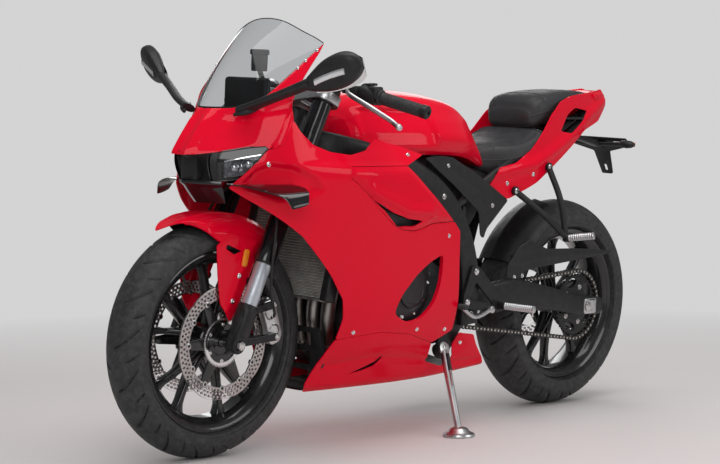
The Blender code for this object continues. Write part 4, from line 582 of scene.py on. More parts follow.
def distance_to(outline, xs, zs):
    best = np.full(len(xs), 1e9)
    poly = np.array(outline)
    for a, b in zip(poly, np.roll(poly, -1, axis=0)):
        d = b - a
        t = np.clip(((xs - a[0]) * d[0] + (zs - a[1]) * d[1]) / max(d @ d, 1e-12), 0, 1)
        best = np.minimum(best, np.hypot(xs - a[0] - t * d[0], zs - a[1] - t * d[1]))
    return best


def skin(outline, surface, holes=(), cell=0.007, thickness=0.0035, edge=0.0012):
    """A moulded panel: the surface y(x, z) inside an outline, with a rolled edge and an inner face.

    surface takes and returns arrays."""
    loops = [densified(o, cell) for o in (outline, *holes)]
    xs = np.arange(min(p[0] for p in outline), max(p[0] for p in outline), cell)
    zs = np.arange(min(p[1] for p in outline), max(p[1] for p in outline), cell)
    gx, gz = (g.ravel() for g in np.meshgrid(xs, zs))
    gx = gx + np.where(np.round((gz - zs[0]) / cell) % 2 > 0.5, cell / 2, 0)
    keep = inside(outline, gx, gz)
    for hole in holes:
        keep &= ~inside(hole, gx, gz)
    for loop in loops:
        keep &= distance_to(loop, gx, gz) > cell * 0.55
    points = [Vector(p) for loop in loops for p in loop]
    edges, base = [], 0
    for loop in loops:
        edges += [(base + i, base + (i + 1) % len(loop)) for i in range(len(loop))]
        base += len(loop)
    points += [Vector((x, z)) for x, z in zip(gx[keep], gz[keep])]
    made, _, faces, _, _, _ = geometry.delaunay_2d_cdt(points, edges, [], 0, 1e-7)
    px = np.array([p.x for p in made])
    pz = np.array([p.y for p in made])
    tri = np.array(faces)
    cx, cz = px[tri].mean(1), pz[tri].mean(1)
    good = inside(loops[0], cx, cz)
    for loop in loops[1:]:
        good &= ~inside(loop, cx, cz)
    tri = tri[good]
    py = surface(px, pz)
    h = 0.0015
    nx = -(surface(px + h, pz) - surface(px - h, pz)) / (2 * h)
    nz = -(surface(px, pz + h) - surface(px, pz - h)) / (2 * h)
    norm = np.sqrt(nx * nx + nz * nz + 1)
    n = np.stack([nx / norm, 1 / norm, nz / norm], 1)
    p = np.stack([px, py, pz], 1)
    border = np.zeros(len(px), bool)
    for loop in loops:
        border |= distance_to(loop, px, pz) < 1e-5
    top = p - n * np.where(border, edge * 0.35, 0)[:, None]
    inner = p - n * thickness
    count = len(p)
    verts = list(map(tuple, top)) + list(map(tuple, inner))
    shown = [tuple(int(i) for i in f) for f in tri]
    faces = [f if _up(p, f) else tuple(reversed(f)) for f in shown]
    faces += [tuple(count + i for i in reversed(f)) for f in faces]
    seen = dict.fromkeys(pair for f in faces[:len(shown)] for pair in zip(f, f[1:] + f[:1]))
    faces += [(b, a, count + a, count + b) for a, b in seen if (b, a) not in seen]
    return verts, faces


def _up(p, f):
    a, b, c = p[f[0]], p[f[1]], p[f[2]]
    return (b[2] - a[2]) * (c[0] - a[0]) - (b[0] - a[0]) * (c[2] - a[2]) > 0


def hermite(t, a, m, b, n):
    """The cubic from a with slope m to b with slope n."""
    return ((2 * t ** 3 - 3 * t ** 2 + 1) * a + (t ** 3 - 2 * t ** 2 + t) * m
            + (3 * t ** 2 - 2 * t ** 3) * b + (t ** 3 - t ** 2) * n)


def spline_of(keys, values):
    """A smooth function through values (numbers or rows) at increasing keys."""
    keys = np.array(keys, float)
    values = np.array(values, float)
    slopes = np.gradient(values, keys, axis=0)

    def at(x):
        x = np.clip(np.asarray(x, float), keys[0], keys[-1])
        i = np.clip(np.searchsorted(keys, x, side="right") - 1, 0, len(keys) - 2)
        h = keys[i + 1] - keys[i]
        t = (x - keys[i]) / h
        if values.ndim > 1:
            t, h = t[..., None], h[..., None]
        return hermite(t, values[i], slopes[i] * h, values[i + 1], slopes[i + 1] * h)

    return at


# Body surfaces


def along(table):
    """A smooth function through the table's rows, evenly spread from 0 to 1."""
    return spline_of(np.linspace(0, 1, len(table)), table)


def level(surface, x, z):
    """The surface's y at one point."""
    return float(surface(np.array([x]), np.array([z]))[0])


def outline_curve(points, per_span):
    """A smooth curve through pairs."""
    return [(p.x, p.y) for p in smooth([(*p, 0) for p in points], per_span)]


def arch_section(points):
    """Both halves of a wheel guard's cross-section from (y, drop) pairs."""
    half = outline_curve(points, 6)
    return [(-y, d) for y, d in reversed(half)] + half[1:]


def box_ring(x, top, bottom, half, count, power):
    """A rounded box section across x."""
    middle, tall = (top + bottom) / 2, (top - bottom) / 2
    return [Vector((x, half * u, middle + tall * v)) for u, v in squared(count, power)]


def add_shell(piece, rows, inner, finish):
    """A wheel guard from its two faces, dark inside."""
    piece.add(sheet(rows), finish)
    piece.add(sheet([list(reversed(r)) for r in inner]), "plastic")
    for edge in rims(rows, inner):
        piece.add(edge, finish)


WIDTH_LEVELS = (0.135, 0.200, 0.280, 0.360, 0.460, 0.580, 0.680, 0.740, 0.800, 0.900)
WIDTH_STATIONS = {
    0.780: (0.040, 0.050, 0.055, 0.060, 0.060, 0.060, 0.060, 0.060, 0.060, 0.055),
    0.740: (0.050, 0.062, 0.075, 0.080, 0.085, 0.090, 0.094, 0.094, 0.094, 0.080),
    0.700: (0.060, 0.075, 0.095, 0.105, 0.112, 0.122, 0.130, 0.132, 0.128, 0.110),
    0.660: (0.065, 0.083, 0.105, 0.118, 0.134, 0.152, 0.164, 0.165, 0.158, 0.140),
    0.620: (0.070, 0.090, 0.115, 0.130, 0.155, 0.176, 0.188, 0.190, 0.182, 0.165),
    0.520: (0.072, 0.098, 0.130, 0.160, 0.190, 0.205, 0.218, 0.220, 0.200, 0.175),
    0.420: (0.078, 0.105, 0.152, 0.182, 0.202, 0.222, 0.238, 0.240, 0.202, 0.170),
    0.300: (0.092, 0.120, 0.168, 0.198, 0.216, 0.232, 0.244, 0.240, 0.198, 0.160),
    0.150: (0.105, 0.132, 0.176, 0.206, 0.220, 0.230, 0.236, 0.224, 0.186, 0.150),
    0.000: (0.112, 0.138, 0.172, 0.200, 0.212, 0.216, 0.218, 0.204, 0.174, 0.140),
    -0.130: (0.112, 0.136, 0.165, 0.190, 0.202, 0.206, 0.206, 0.192, 0.164, 0.132),
    -0.260: (0.110, 0.132, 0.155, 0.180, 0.194, 0.198, 0.196, 0.182, 0.156, 0.126),
}
NOSE_LEVELS = (
    # z, centre x, half width, sweep, bluntness
    (0.640, 0.745, 0.130, 0.110, 1.3),
    (0.700, 0.797, 0.172, 0.160, 1.3),
    (0.765, 0.821, 0.186, 0.188, 1.3),
    (0.800, 0.800, 0.188, 0.183, 1.35),
    (0.840, 0.770, 0.186, 0.165, 1.4),
    (0.884, 0.735, 0.181, 0.142, 1.5),
    (0.940, 0.697, 0.176, 0.128, 1.6),
    (1.000, 0.650, 0.173, 0.117, 1.7),
    (1.060, 0.592, 0.168, 0.102, 1.8),
    (1.116, 0.529, 0.160, 0.085, 2.0),
)
KEYS = sorted(WIDTH_STATIONS)
ALONG_Z = spline_of(WIDTH_LEVELS, np.array([WIDTH_STATIONS[k] for k in KEYS]).T)
NOSE_AT = spline_of([row[0] for row in NOSE_LEVELS], [row[1:] for row in NOSE_LEVELS])


def side_width(x, z):
    """Half width of the side bodywork at many points, smooth both ways."""
    keys = np.array(KEYS)
    x = np.clip(np.asarray(x, float), keys[0], keys[-1])
    table = ALONG_Z(z)
    slopes = np.gradient(table, keys, axis=-1)
    i = np.clip(np.searchsorted(keys, x, side="right") - 1, 0, len(keys) - 2)
    rows = np.arange(len(x))
    h = keys[i + 1] - keys[i]
    return hermite((x - keys[i]) / h, table[rows, i], slopes[rows, i] * h, table[rows, i + 1],
                   slopes[rows, i + 1] * h)


def nose_point(z, across, inset=0.0):
    centre, half, sweep, blunt = NOSE_AT(z)
    x = centre - sweep * abs(across) ** blunt - inset
    return Vector((x, (half - inset * abs(across)) * across, z))


def signed_to(line, xs, zs):
    """Distance to a polyline; positive on the left of its direction."""
    best = np.full(len(xs), 1e9)
    sign = np.ones(len(xs))
    for a, b in zip(line, line[1:]):
        a, b = np.array(a), np.array(b)
        d = b - a
        t = np.clip(((xs - a[0]) * d[0] + (zs - a[1]) * d[1]) / (d @ d), 0, 1)
        gap = np.hypot(xs - a[0] - t * d[0], zs - a[1] - t * d[1])
        side = np.sign(d[0] * (zs - a[1]) - d[1] * (xs - a[0]))
        nearer = gap < best
        sign = np.where(nearer, side, sign)
        best = np.where(nearer, gap, best)
    return best * sign


def ramp(d, width):
    t = np.clip(d / width, 0, 1)
    return t * t * (3 - 2 * t)


SCOOP = [(0.715, 0.700), (0.690, 0.742), (0.655, 0.758), (0.600, 0.752), (0.540, 0.722),
         (0.515, 0.690), (0.560, 0.668), (0.640, 0.662), (0.700, 0.684)]


def fairing_surface(x, z):
    """The side's height with its scoop behind the lamp, shoulder line and gill step."""
    y = side_width(x, z)
    scoop = np.where(inside(SCOOP, x, z), distance_to(SCOOP, x, z), 0.0)
    y = y - 0.012 * ramp(scoop, 0.014)
    y = y - 0.007 * ramp(z - 0.752, 0.004) * ramp(0.62 - x, 0.10) * ramp(x - 0.20, 0.05)
    gill = signed_to([(0.380, 0.672), (0.290, 0.640), (0.235, 0.618), (0.140, 0.612)], x, z)
    y = y + 0.006 * ramp(-gill, 0.010) * ramp(0.045 - np.abs(gill), 0.030) * ramp(0.40 - x, 0.03) \
        * ramp(x - 0.08, 0.06)
    return y


GILL = [(0.363, 0.664), (0.290, 0.630), (0.227, 0.612), (0.164, 0.604), (0.204, 0.589),
        (0.262, 0.592), (0.315, 0.633)]
WINDOW = [(0.057, 0.512), (0.057, 0.431), (0.075, 0.378), (0.115, 0.337), (0.170, 0.330),
          (0.228, 0.358), (0.211, 0.407), (0.160, 0.461), (0.113, 0.492)]


def upper_surface(x, z):
    """The raised panel round the gill, bevelled all along its edge."""
    rise = ramp(distance_to(UPPER_OUTLINE, x, z) - 0.004, 0.009)
    return fairing_surface(x, z) - 0.0016 + 0.0048 * rise


def ring_wall(loop, surface, depth):
    """An inward flange around an opening."""
    loop = densified(loop, 0.006)
    xs, zs = np.array([p[0] for p in loop]), np.array([p[1] for p in loop])
    y = surface(xs, zs)
    rows = []
    for d in (0.0015, 0.004, depth):
        rows.append([(x, yy - d, z) for x, yy, z in zip(xs, y, zs)] + [(xs[0], y[0] - d, zs[0])])
    return sheet(rows)


MAIN_OUTLINE = [
    (0.735, 0.690), (0.700, 0.735), (0.662, 0.787), (0.628, 0.800), (0.598, 0.862), (0.580, 0.835),
    (0.540, 0.802), (0.487, 0.784), (0.422, 0.777), (0.360, 0.788), (0.310, 0.815), (0.225, 0.800),
    (0.140, 0.776), (0.226, 0.7505), (0.444, 0.7505), (0.448, 0.721), (0.414, 0.700),
    (0.368, 0.664), (0.325, 0.630), (0.280, 0.5975), (0.236, 0.581), (0.194, 0.577), (0.150, 0.585),
    (0.120, 0.5945), (0.018, 0.5965), (-0.011, 0.570),
    (-0.016, 0.490), (-0.042, 0.293), (0.030, 0.262), (0.140, 0.296), (0.254, 0.310),
    (0.402, 0.297), (0.398, 0.354), (0.412, 0.407), (0.462, 0.468), (0.563, 0.571),
    (0.640, 0.624), (0.700, 0.664),
]
UPPER_OUTLINE = [
    (0.226, 0.749), (0.443, 0.749), (0.4465, 0.7225), (0.413, 0.7015),
    (0.367, 0.6655), (0.324, 0.6315), (0.279, 0.5993), (0.2355, 0.5828), (0.194, 0.5788),
    (0.150, 0.5868), (0.120, 0.5963), (0.020, 0.5985), (0.138, 0.682),
]
GILL_BACKING = [(0.37, 0.668), (0.29, 0.636), (0.16, 0.610), (0.15, 0.585), (0.26, 0.585),
                (0.33, 0.63)]
FAIRING_SCREWS = ((-0.005, 0.300), (0.118, 0.309), (0.352, 0.316), (0.040, 0.560), (0.205, 0.775),
                  (0.660, 0.752))


def backing_surface(x, z):
    """The dark panel behind the gill."""
    return side_width(x, z) - 0.018


def make_side_fairings():
    window, gill = rounded(WINDOW, 0.020, 6), rounded(GILL, 0.006, 4)
    backing = densified(rounded(GILL_BACKING, 0.004), 0.01)
    shapes = [
        (skin(rounded(MAIN_OUTLINE, 0.007), fairing_surface, [window], 0.0062), "red"),
        (skin(rounded(UPPER_OUTLINE, 0.006), upper_surface, [gill], 0.0050), "red"),
        (ring_wall(window, fairing_surface, 0.012), "red"),
        (ring_wall(gill, fairing_surface, 0.016), "plastic"),
        (skin(backing, backing_surface, (), 0.012, 0.001), "plastic"),
    ]
    for x, z in FAIRING_SCREWS:
        y = level(fairing_surface, x, z)
        shapes.append((bolt((x, y - 0.0012, z), (0, 1, 0.05), 0.0052, 0.003), "chrome"))
    for name, side in SIDES:
        piece = Piece("fairing_skin_" + name, "frame", "side_fairing_" + name)
        for shape, material in shapes:
            piece.add(shape if side > 0 else mirrored(shape), material)
        piece.done(38)


def belly_level(x):
    return np.where(x > 0, 0.148, 0.148 - 0.08 * x)


# the belly pan's side: its upper edge, the rear edge of each side, and its lower and front edge
BELLY_TOP = [(0.402, 0.2958), (0.254, 0.3088), (0.140, 0.2948), (0.030, 0.2608)]
BELLY_REAR_LEFT = [(0.020, 0.205), (-0.055, 0.185), (-0.085, 0.205), (-0.085, 0.2795),
                   (-0.153, 0.270), (-0.182, 0.237)]
BELLY_REAR_RIGHT = [(-0.0415, 0.2845), (-0.050, 0.250), (-0.100, 0.205), (-0.190, 0.195)]
BELLY_KEEL = [(-0.225, 0.198), (-0.245, 0.170), (-0.062, 0.158), (0.120, 0.151), (0.347, 0.149),
              (0.425, 0.149), (0.437, 0.171), (0.414, 0.268)]


def belly_surface(x, z):
    """The side rolls under towards the keel."""
    floor = belly_level(x)
    y = side_width(x, np.maximum(z, floor))
    t = np.clip((0.200 - z) / (0.200 - floor), 0, 1)
    y = y - 0.16 * y * np.maximum(0, t - 0.55) ** 2 / 0.2
    crease = signed_to([(0.40, 0.232), (0.25, 0.245), (0.10, 0.232), (-0.05, 0.205),
                        (-0.20, 0.200)], x, z)
    y = y - 0.006 * ramp(crease, 0.008) * ramp(0.03 - crease, 0.03)
    # a channel for the folded stand leg behind its pivot
    beside = np.abs(z - 0.238 - 0.0938 * (x + 0.040))
    limit = 0.150 - 0.1503 * (x + 0.040) - 0.0156 + 0.7 * np.maximum(0, beside - 0.012)
    return np.where(x < -0.062, np.minimum(y, limit), y)


def make_belly():
    piece = Piece("belly_skin", "frame", "belly_pan")
    slit = rounded([(0.304, 0.192), (0.262, 0.207), (0.222, 0.224), (0.204, 0.239), (0.203, 0.228),
                    (0.222, 0.209), (0.262, 0.197)], 0.002, 3)
    left, right = (skin(rounded([*BELLY_TOP, *rear, *BELLY_KEEL], 0.006), belly_surface, [slit],
                        0.0065) for rear in (BELLY_REAR_LEFT, BELLY_REAR_RIGHT))
    piece.add(left, "red")
    piece.add(mirrored(right), "red")
    rows = []
    for x in np.linspace(-0.244, 0.404, 40):
        floor = float(belly_level(np.array([x]))[0]) + 0.0015
        half = level(belly_surface, x, floor) - 0.001
        rows.append([(x, half * u, floor + 0.006 * abs(u) ** 6 - 0.003 * (1 - u * u))
                     for u in np.linspace(-1, 1, 25)])
    piece.add(sheet(rows), "red")
    inner = [[(x, y * 0.985, z + 0.0035) for x, y, z in row] for row in rows]
    piece.add(sheet(inner), "plastic")
    x, z = -0.108, 0.252
    piece.add(bolt((x, level(belly_surface, x, z) - 0.001, z), (0, 1, 0), 0.0055, 0.003), "chrome")
    piece.done(38)


def columns_of(table):
    full = [(-a, low, high) for a, low, high in reversed(table[1:])] + list(table)
    return [spline_of([c[0] for c in full], [c[i] for c in full]) for i in (1, 2)]


COWL_COLUMNS = ((0.00, 0.767, 0.882), (0.20, 0.769, 0.883), (0.40, 0.777, 0.887),
                (0.58, 0.787, 0.900), (0.70, 0.793, 0.926), (0.80, 0.796, 0.962),
                (0.87, 0.799, 0.992), (0.92, 0.870, 1.016), (0.96, 0.955, 1.034),
                (1.00, 1.030, 1.052))
SCREEN_COLUMNS = ((0.00, 0.882, 1.1130), (0.20, 0.883, 1.1110), (0.40, 0.887, 1.1040),
                  (0.58, 0.900, 1.0925), (0.70, 0.926, 1.0830), (0.80, 0.962, 1.0750),
                  (0.87, 0.992, 1.0690), (0.92, 1.016, 1.0640), (0.96, 1.034, 1.0595),
                  (1.00, 1.0515, 1.0545))


def cowl_point(z, across, inset=0.0):
    """The nose surface with a centre ridge and a crease from the mirror to the lamp."""
    p = nose_point(z, across, inset)
    a, low = abs(across), min(1.0, max(0.0, (0.888 - z) / 0.035))
    ridge = 0.0100 * max(0.0, 1 - abs(a - 0.13) / 0.09) * low
    valley = 0.0065 * max(0.0, 1 - a / 0.10) * low
    share = min(1.0, max(0.0, (a - 0.22) / 0.50))
    hollow = 0.0110 * max(0.0, math.sin(math.pi * share)) ** 0.8 * low
    hollow *= min(1.0, max(0.15, (z - 0.770) / 0.040))
    p.x += ridge - valley - hollow
    return p


def make_cowl_sides():
    """The short panels that join the cowl's rear edge to the side fairings."""
    piece = Piece("cowl_side_panels", "frame")
    for side in (1, -1):
        rows = []
        for z in np.linspace(0.789, 0.955, 30):
            reach = float(np.interp(z, (0.794, 0.870, 0.955, 1.030), (0.868, 0.918, 0.958, 0.998)))
            near = cowl_point(z, side * reach) - Vector((0.0006, 0, 0))
            x = float(np.interp(z, (0.787, 0.800, 0.862, 0.955), (0.662, 0.628, 0.598, 0.612)))
            far = Vector((x, side * level(side_width, x, min(z, 0.862)), z))
            far = far.lerp(near, float(np.clip((z - 0.880) / 0.075, 0, 1)))
            rows.append([near.lerp(far, t) + Vector((0, side * 0.004 * math.sin(math.pi * t), 0))
                         for t in np.linspace(0, 1, 9)])
        piece.add(sheet(rows), "red")
        back = [[p - Vector((0.002, side * 0.003, 0)) for p in reversed(row)] for row in rows]
        piece.add(sheet(back), "plastic")
    piece.done()


def make_cowl():
    low, high = columns_of(COWL_COLUMNS)
    piece = Piece("cowl_skin", "frame", "upper_cowl")
    rows, back = [], []
    for a in np.linspace(-1, 1, 141):
        z0, z1 = float(low(a)), float(high(a))
        row = [cowl_point(z0 + (z1 - z0) * k / 28, a) for k in range(29)]
        rows.append([p - Vector((0.0012, 0, 0)) if k in (0, 28) else p for k, p in enumerate(row)])
        back.append([p - Vector((0.0038, 0.0012 * a, 0)) for p in row])
    piece.add(sheet(rows), "red")
    piece.add(sheet([list(reversed(r)) for r in back]), "plastic")
    for k in (0, 28):
        piece.add(sheet([[r[k], b[k]] for r, b in zip(rows, back)]), "red")
    for i in (0, -1):
        piece.add(sheet([rows[i], back[i]]), "red")
    for a in (-1, 1):
        for share in (0.885, 0.925, 0.985):
            p = cowl_point(float(high(share)) - 0.010, a * (share - 0.012))
            piece.add(bolt(p, (0.75, a * 0.55, 0.36), 0.0038, 0.002, False), "chrome")
    piece.done()


def make_screen():
    low, high = columns_of(SCREEN_COLUMNS)
    piece = Piece("screen_sheet", "frame", "windscreen")
    rows = []
    for a in np.linspace(-1, 1, 97):
        z0, z1 = float(low(a)) + 0.0008, float(high(a))
        rows.append([nose_point(z0 + (z1 - z0) * k / 24, a, 0.0012) for k in range(25)])
    piece.add(sheet(rows), "screen")
    piece.done(60)
    rim = Piece("screen_edge", "frame")
    rim.add(tube([row[-1] for row in rows], 0.0013, 8), "plastic")
    rim.add(sheet([[row[0] + Vector((0.0004, 0, -0.001)), row[1] * 0.35 + row[0] * 0.65]
                   for row in rows]), "plastic")
    rim.done(60)


LAMP_LOW = ((0.42, 0.706), (0.52, 0.708), (0.63, 0.713), (0.73, 0.720))
LAMP_HIGH = ((0.445, 0.778), (0.58, 0.786), (0.72, 0.793), (0.85, 0.797))


def lamp_point(u, v, inset):
    """A point of the lamp's window: u from the nose outwards, v upwards."""
    at = [spline_of(np.linspace(0, 1, 4), [p[i] for p in table])(u)
          for table in (LAMP_LOW, LAMP_HIGH) for i in (0, 1)]
    a = float(at[0] + (at[2] - at[0]) * v)
    z = float(at[1] + (at[3] - at[1]) * v)
    return nose_point(z, a, inset)


def lamp_patch(us, vs, inset):
    """A sheet of the lamp's window; vs may follow u, and inset may follow u and v."""
    return sheet([[lamp_point(u, v, inset(u, v) if callable(inset) else inset)
                   for v in (vs(u) if callable(vs) else vs)] for u in us])


def bowl_inset(u, v):
    """How deep the lamp's bowl lies behind its window."""
    return 0.006 + 0.030 * (math.sin(math.pi * u) * math.sin(math.pi * v)) ** 0.5


def dish_inset(u, v):
    """How deep the reflector lies behind the window."""
    return 0.009 + 0.020 * math.sin(math.pi * (u - 0.14) / 0.83) ** 0.7 \
        * math.sin(math.pi * (v - 0.10) / 0.62) ** 0.7


def make_lamps():
    span = np.linspace
    lens = [(lamp_patch(span(0.01, 0.99, 33), span(0.02, 0.98, 17), 0.004), "lens")]
    line = [lamp_point(u, 0.0, 0.003) for u in span(0, 1, 20)]
    line += [lamp_point(1.0, v, 0.003) for v in span(0.1, 1, 10)]
    line += [lamp_point(u, 1.0, 0.003) for u in span(0.95, 0, 20)]
    line += [lamp_point(0.0, v, 0.003) for v in span(0.9, 0, 10)]
    parts = [(lamp_patch(span(0, 1, 33), span(0, 1, 17), bowl_inset), "gloss_black"),
             (tube(line, 0.0022, 8), "gloss_black"),
             (lamp_patch(span(0.141, 0.969, 37), span(0.101, 0.719, 17), dish_inset), "reflector")]
    for u, v, r in ((0.36, 0.40, 0.0120), (0.70, 0.45, 0.0130)):
        ball = [(r * math.sin(t), r * 0.55 * math.cos(t)) for t in span(math.pi / 2, 0.02, 8)]
        parts.append((turned([(r * 1.18, -0.012), (r * 1.18, 0.0), *ball], lamp_point(u, v, 0.013),
                             Vector((1, 0.45, 0)).normalized(), 28), "bulb"))
    for u in (0.25, 0.54, 0.87):
        rib = [[lamp_point(u + 0.03 * math.sin(3 * v) - d, v, 0.0075) for v in span(0.10, 0.72, 12)]
               for d in (0.0, 0.012)]
        parts.append((sheet(rib), "gloss_black"))
    parts.append((lamp_patch(span(0.02, 0.99, 30), lambda u: span(0.74 - 0.10 * (1 - u), 0.995, 6),
                             0.0035), "gloss_black"))
    parts.append((lamp_patch(span(0.01, 0.12, 8), span(0.01, 0.98, 12), 0.0036), "gloss_black"))
    parts.append((lamp_patch(span(0.16, 0.95, 26),
                             lambda u: (0.70 - 0.10 * (1 - u), 0.735 - 0.10 * (1 - u)), 0.0030),
                  "bulb"))
    for (u0, v0), (u1, v1) in (((-0.20, 0.62), (-0.03, 0.40)), ((-0.03, 0.43), (-0.19, 0.10))):
        chevron = [[lamp_point(u0 + (u1 - u0) * t + wide, v0 + (v1 - v0) * t, 0.0026)
                    for wide in (0.0, 0.045)] for t in span(0, 1, 8)]
        parts.append((sheet(chevron), "bulb"))
    for name, side in SIDES:
        glass = Piece("lamp_lens_" + name, "frame")
        glass.add_all(lens, side)
        glass.done(60)
        inner = Piece("lamp_inside_" + name, "frame", "headlamp_" + name)
        inner.add_all(parts, side)
        inner.done(45)


def make_nose():
    piece = Piece("nose_front", "frame", "nose_frame")
    patch = [[nose_point(z, a, 0.004 + 0.050 * max(0.0, 1 - (a / 0.36) ** 2) ** 0.6
                         * math.sin(math.pi * min(1, max(0, (z - 0.698) / 0.075))) ** 0.7)
              for z in np.linspace(0.655, 0.776, 30)] for a in np.linspace(-0.45, 0.45, 61)]
    piece.add(sheet(patch), "plastic")
    lip = [[nose_point(z, a, 0.0028 - 0.006 * math.exp(-((z - 0.697) / 0.005) ** 2))
            for z in np.linspace(0.648, 0.704, 22)] for a in np.linspace(-0.455, 0.455, 65)]
    piece.add(sheet(lip), "gloss_black")
    for a in (-0.335, 0.335):
        wall = [[nose_point(z, a * (1 + 0.05 * k), 0.003 + 0.012 * k)
                 for z in np.linspace(0.702, 0.774, 14)] for k in range(4)]
        piece.add(sheet(wall), "gloss_black")
    for low, high in (((0.478, -0.026, 0.790), (0.752, 0.026, 0.818)),
                      ((0.590, -0.136, 0.796), (0.622, 0.136, 0.818)),
                      ((0.740, -0.028, 0.700), (0.782, 0.028, 0.770)),
                      ((0.735, -0.024, 0.740), (0.762, 0.024, 0.800))):
        piece.add(box(low, high, 0.006), "plastic")
    piece.add(box((0.580, -0.078, 0.815), (0.604, 0.078, 0.962), 0.010, 3), "plastic")
    piece.add(box((0.5745, -0.068, 0.850), (0.5825, 0.068, 0.954), 0.003), "face")
    for y, z in ((-0.050, 0.835), (0.0, 0.833), (0.050, 0.835)):
        piece.add(cyl((0.582, y, z), (0.577, y, z), 0.006, steps=16), "satin")
    piece.done(45)


WINGLET = (
    ((0.735, 0.093, 0.6985), (0.668, 0.150, 0.6985), (0.600, 0.188, 0.702)),
    ((0.722, 0.150, 0.696), (0.660, 0.172, 0.698), (0.598, 0.205, 0.700)),
    ((0.700, 0.200, 0.686), (0.645, 0.212, 0.690), (0.594, 0.228, 0.694)),
    ((0.676, 0.238, 0.674), (0.640, 0.245, 0.679), (0.606, 0.251, 0.684)),
    ((0.664, 0.254, 0.650), (0.640, 0.258, 0.655), (0.616, 0.262, 0.661)),
)


def make_winglets():
    rings = []
    for row in zip(*([smooth([row[i] for row in WINGLET], 8) for i in range(3)])):
        chord, top, bottom = smooth(row, 8), [], []
        for k, p in enumerate(chord):
            share = 0.06 + 0.90 * (k / (len(chord) - 1)) ** 0.8
            rise = Vector((0, 0, 0.0032 * math.sin(math.pi * share) ** 0.5))
            top.append(p + rise)
            bottom.append(p - rise)
        rings.append(top + bottom[::-1])
    for name, side in SIDES:
        piece = Piece("winglet_blade_" + name, "frame", "winglet_" + name)
        piece.add_all([(loft(rings), "gloss_black")], side)
        piece.done(50)


def oval(centre, a, b, lean, count=40, power=1.0):
    """A superellipse across y, leaned about y."""
    c, s = math.cos(lean), math.sin(lean)
    x, y, z = centre
    return [Vector((x + a * u * c - b * v * s, y, z + a * u * s + b * v * c))
            for u, v in squared(count, power)]


MIRROR_HEAD = ((0.650, 0.258, 0.946, 0.009, 0.013), (0.638, 0.282, 0.958, 0.017, 0.026),
               (0.624, 0.318, 0.976, 0.024, 0.040), (0.612, 0.356, 0.991, 0.025, 0.044),
               (0.604, 0.386, 1.000, 0.021, 0.036), (0.598, 0.4035, 1.006, 0.011, 0.018))
MIRROR_STEM = ((0.700, 0.098, 0.879, 0.021, 0.010), (0.690, 0.150, 0.899, 0.018, 0.009),
               (0.664, 0.215, 0.928, 0.017, 0.010), (0.640, 0.280, 0.957, 0.016, 0.013))


def make_mirrors():
    head = spline_of(np.linspace(0, 1, 6), MIRROR_HEAD)
    stem = spline_of(np.linspace(0, 1, 4), MIRROR_STEM)
    shell, arm, lamp = [], [], []
    for t in np.linspace(0, 1, 41):
        x, y, z, a, b = head(t)
        close = math.sin(math.pi * min(max(t, 0.012), 0.988)) ** 0.25
        shell.append(oval((x, y, z), a * close, b * close, -0.35, 48, 0.72))
    for t in np.linspace(0, 1, 33):
        x, y, z, a, b = stem(t)
        arm.append(oval((x, y, z), a, b, 0.25, 28, 0.8))
    foot = smooth([(0.720, 0.092, 0.869), (0.698, 0.120, 0.880), (0.670, 0.128, 0.888)], 6)
    glass = [oval((x - 0.0205, y, z - 0.004), a * 0.10, b * 0.90, -0.35, 40)
             for x, y, z, a, b in (head(t) for t in np.linspace(0.14, 0.90, 15))]
    for t in np.linspace(0.30, 0.72, 17):
        x, y, z, a, b = head(t)
        lamp.append(oval((x + a * 0.90, y, z - 0.010), 0.0030, 0.0080, -0.35, 14))
    parts = [(loft(shell), "plastic"), (loft(arm), "plastic"),
             (tube(foot, [0.004 + 0.005 * math.sin(math.pi * k / 12) for k in range(13)], 14),
              "plastic"),
             (loft(glass), "chrome"), (loft(lamp), "bulb")]
    for name, side in SIDES:
        piece = Piece("mirror_body_" + name, "frame", "mirror_" + name)
        piece.add_all(parts, side)
        piece.done(50)


# Wheels

RIM_SEAT_R, RIM_LIP_R = 0.2159, 0.229
WHEELS = {
    "front": dict(hub=FRONT_HUB, r=0.300, width=0.120, crown=0.0625, rim=0.094, turn=97,
                  half=0.0582),
    "rear": dict(hub=REAR_HUB, r=0.313, width=0.158, crown=0.088, rim=0.120, turn=74, half=0.088),
}
DISC_R, DISC_BAND, DISC_T, DISC_Y = 0.145, 0.034, 0.0045, 0.064
HUB_R = 0.036
TREAD_STEPS, TREAD_SLOTS, TREAD_DEPTH = 720, 17, 0.0058
DISC_WAVES = 8


def groove(angle, s):
    """Depth share of the slash tread at an angle and a place across the crown (-1 to 1)."""
    side = np.where(s < 0, 0.5, 0.0)
    a = np.abs(s)
    depth = np.zeros_like(angle)
    for shift, bend, start, end, width in ((0.0, 0.62, 0.10, 0.93, 0.046),
                                           (0.42, 0.34, 0.52, 0.96, 0.034)):
        phase = angle * TREAD_SLOTS / (2 * math.pi) + side + shift - bend * a ** 1.5
        off = np.abs(phase - np.round(phase))
        taper = np.clip((a - start) / 0.22, 0, 1) * np.clip((end - a) / 0.12, 0, 1)
        w = width * np.sqrt(taper)
        depth = np.maximum(depth, np.clip((w - off) / 0.010, 0, 1) * (taper > 0.001))
    return depth


